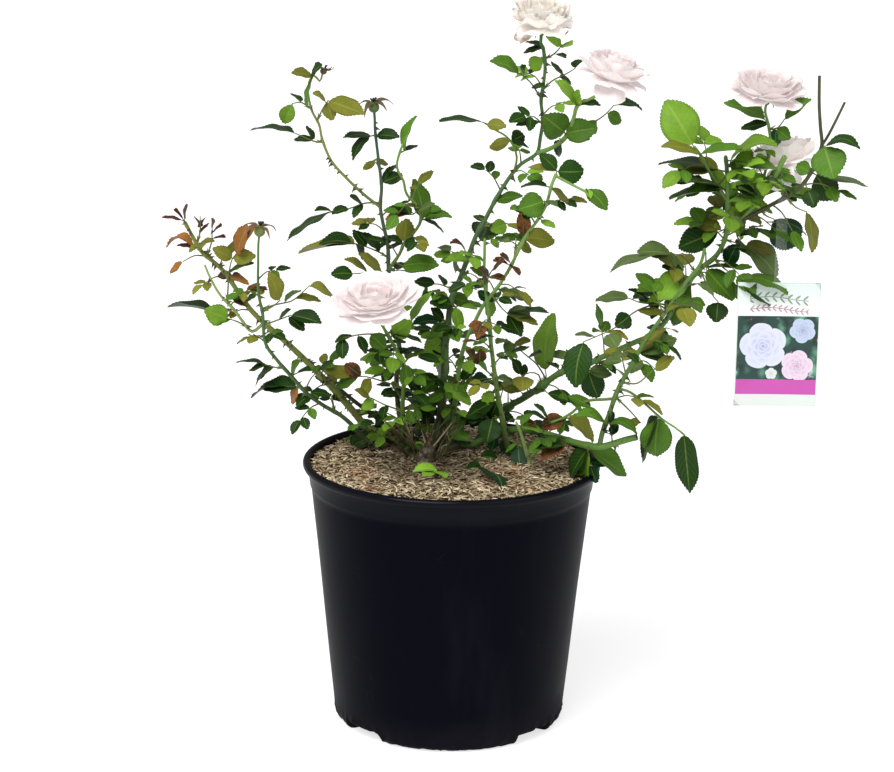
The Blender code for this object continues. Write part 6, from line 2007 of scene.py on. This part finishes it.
def bowl_whorls(size: float, plate: float, *hanging: Whorl) -> tuple[Whorl, ...]:
    """The whorls of a full bloom: a plate of outer petals under a bowl of overlapping ones.

    Args:
        size: the bowl's radius.
        plate: the angle above the level at which the outer petals end.
        hanging: single petals that hang under the plate.

    Returns:
        The whorls from the outside in.
    """
    return (
        *hanging,
        Whorl(5, size * 1.15, size * 1.1, 12, plate, 12),
        Whorl(5, size * 1.32, size * 1.36, 10, 66, 48),
        Whorl(5, size * 1.3, size * 1.3, 14, 84, 12),
        Whorl(6, size * 1.24, size * 1.1, 24, 94, 40, 0.5),
        Whorl(6, size * 1.16, size * 0.86, 38, 100, 5, 1.0),
        Whorl(6, size * 1.08, size * 0.64, 52, 104, 31, 1.5),
        Whorl(5, size * 1.0, size * 0.44, 68, 106, 60, 2.0),
    )


@dataclass
class Blooms:
    """The blooms with their calyxes, and the hips."""

    finishes: Finishes
    rows: int = 11
    petal_columns: int = 11
    thickness: float = 0.35
    calyx_radius: float = 3.2
    calyx_height: float = 8.0
    hip_radius: float = 5.2
    tiny_hip_radius: float = 3.2
    hip_height_ratio: float = 1.9
    hip_levels: tuple[float, ...] = (0.0, 0.06, 0.2, 0.4, 0.6, 0.78, 0.9, 1.0)
    hip_profile: tuple[float, ...] = (0.42, 0.6, 0.86, 1.0, 0.97, 0.84, 0.7, 0.66)
    sepal_profile: tuple[float, ...] = (0.8, 1.0, 0.9, 0.72, 0.52, 0.36, 0.2, 0.05)

    def seat_of(self, head: Head) -> tuple[np.ndarray, np.ndarray]:
        """The head's turn, whose columns are two sideways directions and its axis, and its foot."""
        turn = Vector((0.0, 0.0, 1.0)).rotation_difference(head_axis(head)).to_matrix()
        return np.array(turn), np.array(stem_points(STEM_NAMED[head.stem])[-1])

    def petal(self, whorl: Whorl, azimuth: float, rng: random.Random, ruffle: float) -> np.ndarray:
        """A petal's grid of points round +Z, from its foot to its rim."""
        t = np.linspace(0.0, 1.0, self.rows)
        u = np.linspace(-1.0, 1.0, self.petal_columns)
        lean = np.radians(whorl.rise + (whorl.spread - whorl.rise) * t ** 1.2)
        lean[-2:] -= math.radians(rng.uniform(5.0, 30.0))
        length = whorl.length * rng.uniform(0.92, 1.06)
        step = length / (self.rows - 1)
        radius = 1.4 + np.concatenate([[0.0], np.cumsum(np.cos((lean[1:] + lean[:-1]) / 2) * step)])
        height = np.concatenate([[0.0], np.cumsum(np.sin((lean[1:] + lean[:-1]) / 2) * step)])
        outline = 0.2 + 0.8 * np.sin(math.pi * np.minimum(t, 0.86) / 1.5)
        half = whorl.width / 2.0 * outline * rng.uniform(0.9, 1.1)
        hug = np.maximum(np.abs(radius), whorl.width * 0.34)
        grid = np.zeros((self.rows, self.petal_columns, 3))
        phase, phase2 = rng.uniform(0, FULL_TURN), rng.uniform(0, FULL_TURN)
        tilt = rng.uniform(-0.1, 0.1)
        for row in range(self.rows):
            bow = 1.0 - 0.24 * np.abs(u) ** 2.6 - 0.025 * np.exp(-(u / 0.2) ** 2)
            share = t[row] * bow if t[row] > 0.5 else t[row] * (1.0 - (1.0 - bow) * t[row] * 2)
            share = share * (self.rows - 1)
            low = np.clip(share.astype(int), 0, self.rows - 2)
            part = share - low
            r = radius[low] + (radius[low + 1] - radius[low]) * part
            z = height[low] + (height[low + 1] - height[low]) * part
            angle = half[row] * u / hug[row] * 0.92
            cup = whorl.width * 0.1 * u * u * math.sin(math.pi * min(1.0, t[row] * 1.2))
            ripple = np.sin(3.3 * u + phase) + np.sin(6.1 * u + phase2)
            wave = ruffle * whorl.width * 0.035 * t[row] ** 2 * ripple
            out = r * np.cos(angle) - cup * np.sin(lean[row]) - wave * np.sin(lean[row])
            side = hug[row] * np.sin(angle) + (r - hug[row]) * np.sin(angle) * 0.35 + tilt * t[row] * length
            up = z + (cup + wave) * np.cos(lean[row]) + whorl.low
            turn = math.radians(azimuth)
            grid[row, :, 0] = out * math.cos(turn) - side * math.sin(turn)
            grid[row, :, 1] = out * math.sin(turn) + side * math.cos(turn)
            grid[row, :, 2] = up
        return grid

    def petals(self, look: BloomLook, frame: np.ndarray, foot: np.ndarray) -> Shell:
        """A bloom's petals."""
        shell = Shell()
        rng = random.Random(look.head)
        rim, heart = np.array(look.rim), np.array(look.heart)
        t = np.linspace(0.0, 1.0, self.rows)[:, None]
        for level, whorl in enumerate(look.whorls):
            deep = level / max(1, len(look.whorls) - 1)
            for k in range(whorl.count):
                azimuth = whorl.start + 360.0 * k / whorl.count + rng.uniform(-9, 9)
                grid = self.petal(whorl, azimuth, rng, look.ruffle)
                grid[:, :, 2] *= look.height
                points = foot + (grid + np.array([0, 0, self.calyx_height + 0.4])) @ frame.T
                warm = np.clip(0.85 * deep + 0.5 * (1.0 - t) ** 1.5, 0.0, 1.0)
                tone = (rim + (heart - rim) * warm) * rng.uniform(0.95, 1.03)
                fade = np.full((self.rows, 1), look.brown * rng.uniform(0.3, 1.3) * (1.0 - deep * 0.6))
                row = np.hstack([tone, fade])[:, None, :]
                colours = np.broadcast_to(row, (self.rows, self.petal_columns, 4))
                # Undersides are painted darker, as painted shade.
                under = colours * np.array([0.9, 0.84, 0.85, 1.0])
                shell.blade(points, self.thickness, colours, under)
        return shell

    def calyx(self, name: str, frame: np.ndarray, foot: np.ndarray, radius: float, height: float,
              droop: bool, tones: tuple[np.ndarray, np.ndarray]) -> Shell:
        """The hip under a bloom, or a hip alone, with five sepals.

        Args:
            name: the bloom's or hip's name.
            frame: its turn.
            foot: its foot.
            radius: the hip's radius.
            height: the hip's height.
            droop: whether the sepals hang down under the petals.
            tones: the colours of the hip and the sepals, with alpha.

        Returns:
            The shell.
        """
        shell = Shell()
        rng = random.Random(name + "_calyx")
        path = foot + np.outer(np.array(self.hip_levels) * height, frame[:, 2])
        shell.tube(path, np.array(self.hip_profile) * radius, 14, tones[0])
        for k in range(5):
            turn = 2.0 * math.pi * (k + 0.3) / 5.0 + rng.uniform(-0.15, 0.15)
            out = np.array([math.cos(turn), math.sin(turn), 0.0])
            side = np.array([-math.sin(turn), math.cos(turn), 0.0])
            s = np.linspace(0.0, 1.0, 8)
            spread = 1.45 if radius > self.calyx_radius and droop else 1.0
            length = radius * (3.9 if droop else 3.3) * rng.uniform(0.85, 1.1)
            wide = np.array(self.sepal_profile) * (2.1 if droop else 1.7) * spread
            first, last = (10.0, -75.0) if droop else (-25.0, rng.uniform(30.0, 95.0))
            if spread > 1.0:
                first, last = 35.0, rng.uniform(-95.0, -50.0)
            lean = np.radians(first + (last - first) * s)
            run = np.concatenate([[0.0], np.cumsum(np.cos(lean[1:]) * length / 7)])
            rise = np.concatenate([[0.0], np.cumsum(np.sin(lean[1:]) * length / 7)])
            line = np.outer(radius * 0.6 + run, out) + np.outer(height - 0.8 + rise, [0.0, 0.0, 1.0])
            twist = np.sin(s * 3.0 + rng.uniform(0, 6)) * (0.25 if droop else 0.6)
            u = np.linspace(-1.0, 1.0, 5)
            across = np.cos(twist)[:, None] * side + np.sin(twist)[:, None] * np.array([0.0, 0.0, 1.0])
            grid = line[:, None, :] + np.outer(wide, u)[:, :, None] * across[:, None, :]
            grid += (np.outer(wide, u * u) * -0.35)[:, :, None] * np.array([0.0, 0.0, -1.0])
            shell.blade(foot + grid[:, ::-1] @ frame.T, 0.4, tones[1], tones[1])
        return shell

    def build(self) -> None:
        """Make the blooms and hips and dress them."""
        for look in BLOOM_LOOKS:
            frame, foot = self.seat_of(HEAD_NAMED[look.head])
            petals = self.petals(look, frame, foot).mesh(look.head + "_petals", 60.0)
            keep(petals, "petal", self.finishes.petal, look.head + "_outer_petals",
                 look.head + "_inner_petals")
            tones = (shade_of(srgb(92, 118, 62), 1.0, 0.1), shade_of(srgb(98, 126, 66), 1.0, 0.25))
            calyx = self.calyx(look.head, frame, foot, self.calyx_radius, self.calyx_height, True, tones)
            keep(calyx.mesh(look.head + "_sepals"), "green_stem", self.finishes.bark, look.head + "_calyx")
        for name, (hip, sepal) in HIP_TONES.items():
            frame, foot = self.seat_of(HEAD_NAMED[name])
            radius = self.tiny_hip_radius if name == "hip_tiny" else self.hip_radius
            body = self.calyx(name, frame, foot, radius, radius * self.hip_height_ratio, name != "hip_tiny",
                              (shade_of(hip, 1.0, 0.2), shade_of(sepal, 1.0, 0.6)))
            top = foot + frame[:, 2] * radius * self.hip_height_ratio
            dry = shade_of(srgb(44, 30, 22), 1.0, 0.3)
            for k in range(9):
                turn = GOLDEN_ANGLE * k
                lean = unit(frame @ np.array([math.cos(turn) * 0.6, math.sin(turn) * 0.6, 1.0]))
                stalk = top + np.outer([-0.6, radius * 0.35, radius * 0.8], lean)
                stalk += np.outer([0, 0.3, 1.0], lean[::-1])
                body.tube(stalk, np.array([0.7, 0.55, 0.75]) * radius * 0.2, 5, dry)
            keep(body.mesh(name + "_fruit"), "green_stem", self.finishes.bark, name)


@dataclass
class FallenLeaves:
    """The leaves that lie on the mulch."""

    finishes: Finishes
    maker: LeafMaker = field(default_factory=LeafMaker)
    seat: float = 0.35

    def build(self) -> None:
        """Make the leaves and dress them."""
        for number, (base, tip, width, tone) in enumerate(FALLEN_LEAVES, 1):
            shell = Shell()
            rng = random.Random(number * 31)
            first = np.array(seen_on_level(*base, MULCH_TOP + self.seat + 1.0))
            last = np.array(seen_on_level(*tip, MULCH_TOP + self.seat + 1.0))
            if tone is Tone.BRIGHT:
                for turn in (-0.9, -0.1, 0.8):
                    way = np.array(Matrix.Rotation(turn, 3, "Z") @ Vector(last - first))
                    self.maker.add(shell, first, first + way * 0.62, width * 0.5, 1.5, tone.value, rng)
            else:
                self.maker.add(shell, first, last, width, 1.0, tone.value, rng)
            piece = shell.mesh("dropped_leaf_%d" % number)
            keep(piece, "leaf", self.finishes.leaf, "fallen_leaf_%d" % number)


@dataclass
class CareTag:
    """The printed card and the clear strap that hangs it on a branch."""

    finishes: Finishes
    card_thickness: float = 0.9
    bow: float = 2.2
    strap_width: float = 10.0
    strap_thickness: float = 1.0
    loop: float = 4.4
    hole_radius: float = 1.5
    hole_heights: tuple[float, ...] = (16.0, 24.0)
    columns: int = 14
    rows: int = 18

    def make_card(self) -> Thing:
        """The card: a thin sheet, bowed a little from top to foot."""
        low, high = np.array(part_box("care_tag")) / MM
        u = np.linspace(0.0, 1.0, self.columns)
        v = np.linspace(0.0, 1.0, self.rows)
        front = high[1] - self.card_thickness
        grid = np.zeros((self.rows, self.columns, 3))
        for row, share in enumerate(v):
            grid[row, :, 0] = low[0] + (high[0] - low[0]) * u
            bend = self.bow * math.sin(math.pi * share) * 0.4
            grid[row, :, 1] = front - bend - self.bow * 0.3 * (2 * u - 1) ** 2
            grid[row, :, 2] = low[2] + (high[2] - low[2]) * share
        shell = Shell()
        shell.blade(grid, self.card_thickness, np.ones(4), np.zeros(4))
        return shell.mesh("tag_card", 30.0)

    def make_strap(self) -> Thing:
        """The strap: a strip up from the card, round the branch and back, with two punched holes."""
        low, high = np.array(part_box("tag_strap")) / MM
        middle = (low[0] + high[0]) / 2.0
        depth = (low[1] + high[1]) / 2.0
        loop = self.loop
        centre = high[2] - loop - 1.2
        foot = low[2]
        shell = Shell()
        line = [(depth, foot + (centre - loop - foot) * k / 10) for k in range(11)]
        line += [(depth + loop * math.sin(a) * 0.95, centre - loop * math.cos(a))
                 for a in np.linspace(0.35, 2 * math.pi - 0.35, 16)]
        path = np.array([(middle, y, z) for y, z in line])
        u = np.linspace(-1.0, 1.0, 5) * self.strap_width / 2.0
        grid = path[:, None, :] + u[None, :, None] * np.array([1.0, 0.0, 0.0])
        shell.blade(grid, self.strap_thickness * 0.8, np.ones(4), np.ones(4))
        strap = shell.mesh("tag_strip", 40.0)
        bm = bmesh.new()
        radius = self.hole_radius * MM
        level = Matrix.Rotation(math.radians(90), 4, "X")
        for rise in self.hole_heights:
            place = Matrix.Translation(Vector((middle, depth, foot + rise)) * MM)
            bmesh.ops.create_cone(bm, cap_ends=True, segments=16, radius1=radius, radius2=radius,
                                  depth=8 * MM, matrix=place @ level)
        data = bpy.data.meshes.new("holes")
        bm.to_mesh(data)
        bm.free()
        holes = link("holes", data)
        cut = strap.modifiers.new("holes", "BOOLEAN")
        cut.object = holes
        cut.operation = "DIFFERENCE"
        graph = bpy.context.evaluated_depsgraph_get()
        punched = bpy.data.meshes.new_from_object(strap.evaluated_get(graph), depsgraph=graph)
        strap.modifiers.clear()
        strap.data = punched
        bpy.data.objects.remove(holes)
        return strap

    def build(self) -> None:
        """Make the card and the strap and dress them."""
        keep(self.make_card(), "card", self.finishes.card, "care_tag")
        keep(self.make_strap(), "strap", self.finishes.strap, "tag_strap")


@dataclass
class Studio:
    """The camera at the photograph's angle, the pale floor and the soft lights."""

    finishes: Finishes
    pitch: float = 14.7
    roll: float = 0.7
    lens: float = 111.9
    floor_size: float = 60.0
    room_seen: float = 1.1
    room_light: float = 0.37

    def place_camera(self) -> None:
        """Make the camera at the viewer's eye."""
        data = bpy.data.cameras.new("eye")
        data.lens = self.lens
        data.sensor_width = 36.0
        data.clip_end = 100.0
        camera = link("eye", data)
        turn = Matrix.Rotation(math.radians(90.0 - self.pitch), 4, "X") @ Matrix.Rotation(
            math.radians(self.roll), 4, "Z")
        camera.matrix_world = Matrix.Translation(EYE * MM) @ turn
        bpy.context.scene.camera = camera

    def add_light(self, name: str, origin: tuple[float, float, float], spread: float, power: float) -> None:
        """Make a far soft light that shines from a direction, spread over an angle in degrees."""
        data = bpy.data.lights.new(name, "SUN")
        data.angle = math.radians(spread)
        data.energy = power
        light = link(name, data)
        light.rotation_mode = "QUATERNION"
        light.rotation_quaternion = (-Vector(origin)).to_track_quat("-Z", "Y")

    def light_up(self) -> None:
        """Make the lights, the pale surroundings and the floor."""
        self.add_light("key", (-0.55, -1.0, 1.3), 42.0, 2.8)
        self.add_light("fill", (1.0, -0.8, 0.8), 50.0, 0.7)
        world = bpy.data.worlds.new("pale_room")
        world.use_nodes = True
        room = Tree(world.node_tree)
        seen_part = room.node("ShaderNodeLightPath").outputs["Is Camera Ray"]
        strength = Value(room, seen_part) * (self.room_seen - self.room_light) + self.room_light
        back = world.node_tree.nodes["Background"]
        back.inputs[0].default_value = WHITE
        room.tree.links.new(strength.socket, back.inputs[1])
        bpy.context.scene.world = world
        bpy.context.scene.view_settings.view_transform = "Standard"
        data = bpy.data.meshes.new("studio_floor")
        half = self.floor_size / 2.0
        corners = [(-half, -half, 0), (half, -half, 0), (half, half, 0), (-half, half, 0)]
        data.from_pydata(corners, [], [(0, 1, 2, 3)])
        floor = link("studio_floor", data)
        data.materials.append(self.finishes.floor)


CLUSTERS = (
    Cluster("cane_right_arch", 0.62, 0.98, 15, 24.0, "mBmogBm"),
    Cluster("shoot_cut", 0.15, 0.8, 7, 24.0, "BmBB"),
    Cluster("shoot_stubs", 0.08, 0.45, 5, 24.0, "kmkB"),
    Cluster("twig_big_leaf", 0.1, 0.9, 4, 25.0, "BmB"),
    Cluster("twig_top_bloom", 0.1, 0.5, 4, 16.0, "Bmm"),
    Cluster("cane_right_arch", 0.2, 0.6, 9, 22.0, "kmmg"),
    Cluster("cane_right_arch", 0.03, 0.2, 6, 21.0, "ktm"),
    Cluster("cane_main", 0.03, 0.2, 5, 22.0, "tkm"),
    Cluster("cane_right_back", 0.1, 0.9, 8, 22.0, "kmog"),
    Cluster("cane_right_low", 0.25, 0.95, 6, 20.0, "kmt"),
    Cluster("cane_main", 0.08, 0.55, 13, 19.0, "BmBmt"),
    Cluster("cane_main", 0.62, 0.95, 6, 18.0, "kmB"),
    Cluster("cane_slanting", 0.12, 0.5, 10, 18.0, "mkBm"),
    Cluster("cane_slanting", 0.55, 0.95, 5, 19.0, "mko"),
    Cluster("cane_upright", 0.15, 0.85, 9, 17.0, "kmno"),
    Cluster("cane_left_bloom", 0.12, 0.8, 12, 19.0, "mBkB"),
    Cluster("cane_star_hip", 0.12, 0.55, 8, 19.0, "kmmg"),
    Cluster("cane_star_hip", 0.6, 0.85, 3, 18.0, "ko"),
    Cluster("shoot_star_right", 0.1, 0.7, 5, 17.0, "mko"),
    Cluster("cane_left_hip", 0.12, 0.45, 5, 17.0, "kmk"),
    Cluster("cane_left_arch", 0.15, 0.45, 5, 17.0, "kmo"),
    Cluster("cane_left_arch", 0.68, 0.94, 7, 17.0, "obno"),
    Cluster("cane_left_hip", 0.6, 0.9, 5, 16.0, "omk"),
    Cluster("cane_left_bloom", 0.5, 0.95, 5, 16.0, "kmB"),
)

# The stems that end in a cut, and the cut face's colour
SAWN_ENDS = {
    "cane_right_low": srgb(150, 118, 76), "shoot_cut": srgb(150, 168, 104), "shoot_stubs": srgb(104, 112, 92),
    "twig_stub_right": srgb(104, 112, 92), "cane_left_old": srgb(120, 96, 64),
}

# How prickly each stem is
PRICKLY = {
    "cane_left_arch": 1.7, "twig_left_arch": 1.0, "cane_left_old": 0.8, "cane_left_hip": 0.5,
    "cane_star_hip": 0.35, "shoot_star_left": 1.0, "shoot_star_right": 0.3, "cane_left_bloom": 0.5,
    "cane_main": 0.55, "cane_slanting": 0.4, "cane_upright": 1.1, "cane_right_arch": 0.9, "shoot_cut": 0.2,
    "cane_right_low": 0.4, "cane_right_back": 0.9,
}

# How soon the two tall canes grow thin on their way up
SLENDER = {"cane_main": 2.0, "cane_slanting": 2.0}

BLOOM_LOOKS = (
    BloomLook("bloom_top",
              bowl_whorls(26.5, 0.0, Whorl(2, 30, 24, 10, -62, 215), Whorl(1, 27, 13, -25, -72, 5)),
              srgb(247, 247, 242), srgb(242, 238, 224), 0.47, 1.9, 0.95),
    BloomLook("bloom_right", bowl_whorls(29.0, -6.0, Whorl(1, 33, 36, -10, -60, 262)), srgb(244, 238, 237),
              srgb(238, 228, 226), 0.05, 1.0, 0.84),
    BloomLook("bloom_far_right", bowl_whorls(32.0, 6.0), srgb(242, 236, 235), srgb(234, 224, 222), 0.05,
              1.0, 0.62),
    BloomLook("bloom_hidden", bowl_whorls(29.0, -4.0, Whorl(2, 42, 30, 0, -74, 262)), srgb(246, 240, 236),
              srgb(234, 226, 221), 0.05, 1.0, 0.9),
    BloomLook("bloom_left", bowl_whorls(40.0, 20.0), srgb(246, 241, 240), srgb(240, 231, 229), 0.0, 1.0,
              0.44),
)

HIP_TONES = {
    "hip_dark": (srgb(110, 124, 64), srgb(150, 112, 78)),
    "hip_star": (srgb(84, 104, 56), srgb(104, 92, 56)),
    "hip_tiny": (srgb(84, 74, 48), srgb(92, 76, 50)),
}


def main() -> None:
    """Build the plant, its pot and its tag, and set the scene."""
    logging.basicConfig(level=logging.INFO, format="%(message)s")
    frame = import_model()
    finishes = Finishes()
    studio = Studio(finishes)
    studio.place_camera()
    woody = [part["node"] for part in frame["record"]["subparts"] if part["material_slot"] == "wood"]
    NurseryPot(finishes).build()
    Mulch(finishes).build()
    Crown(finishes).build()
    Canes(finishes).build(list(frame["nodes"]), woody)
    Blooms(finishes).build()
    FallenLeaves(finishes).build()
    CareTag(finishes).build()
    mix = frame["nodes"]["potting_mix"]
    mix.data.materials.clear()
    mix.data.materials.append(finishes.mix)
    studio.light_up()


if __name__ == "__main__":
    main()
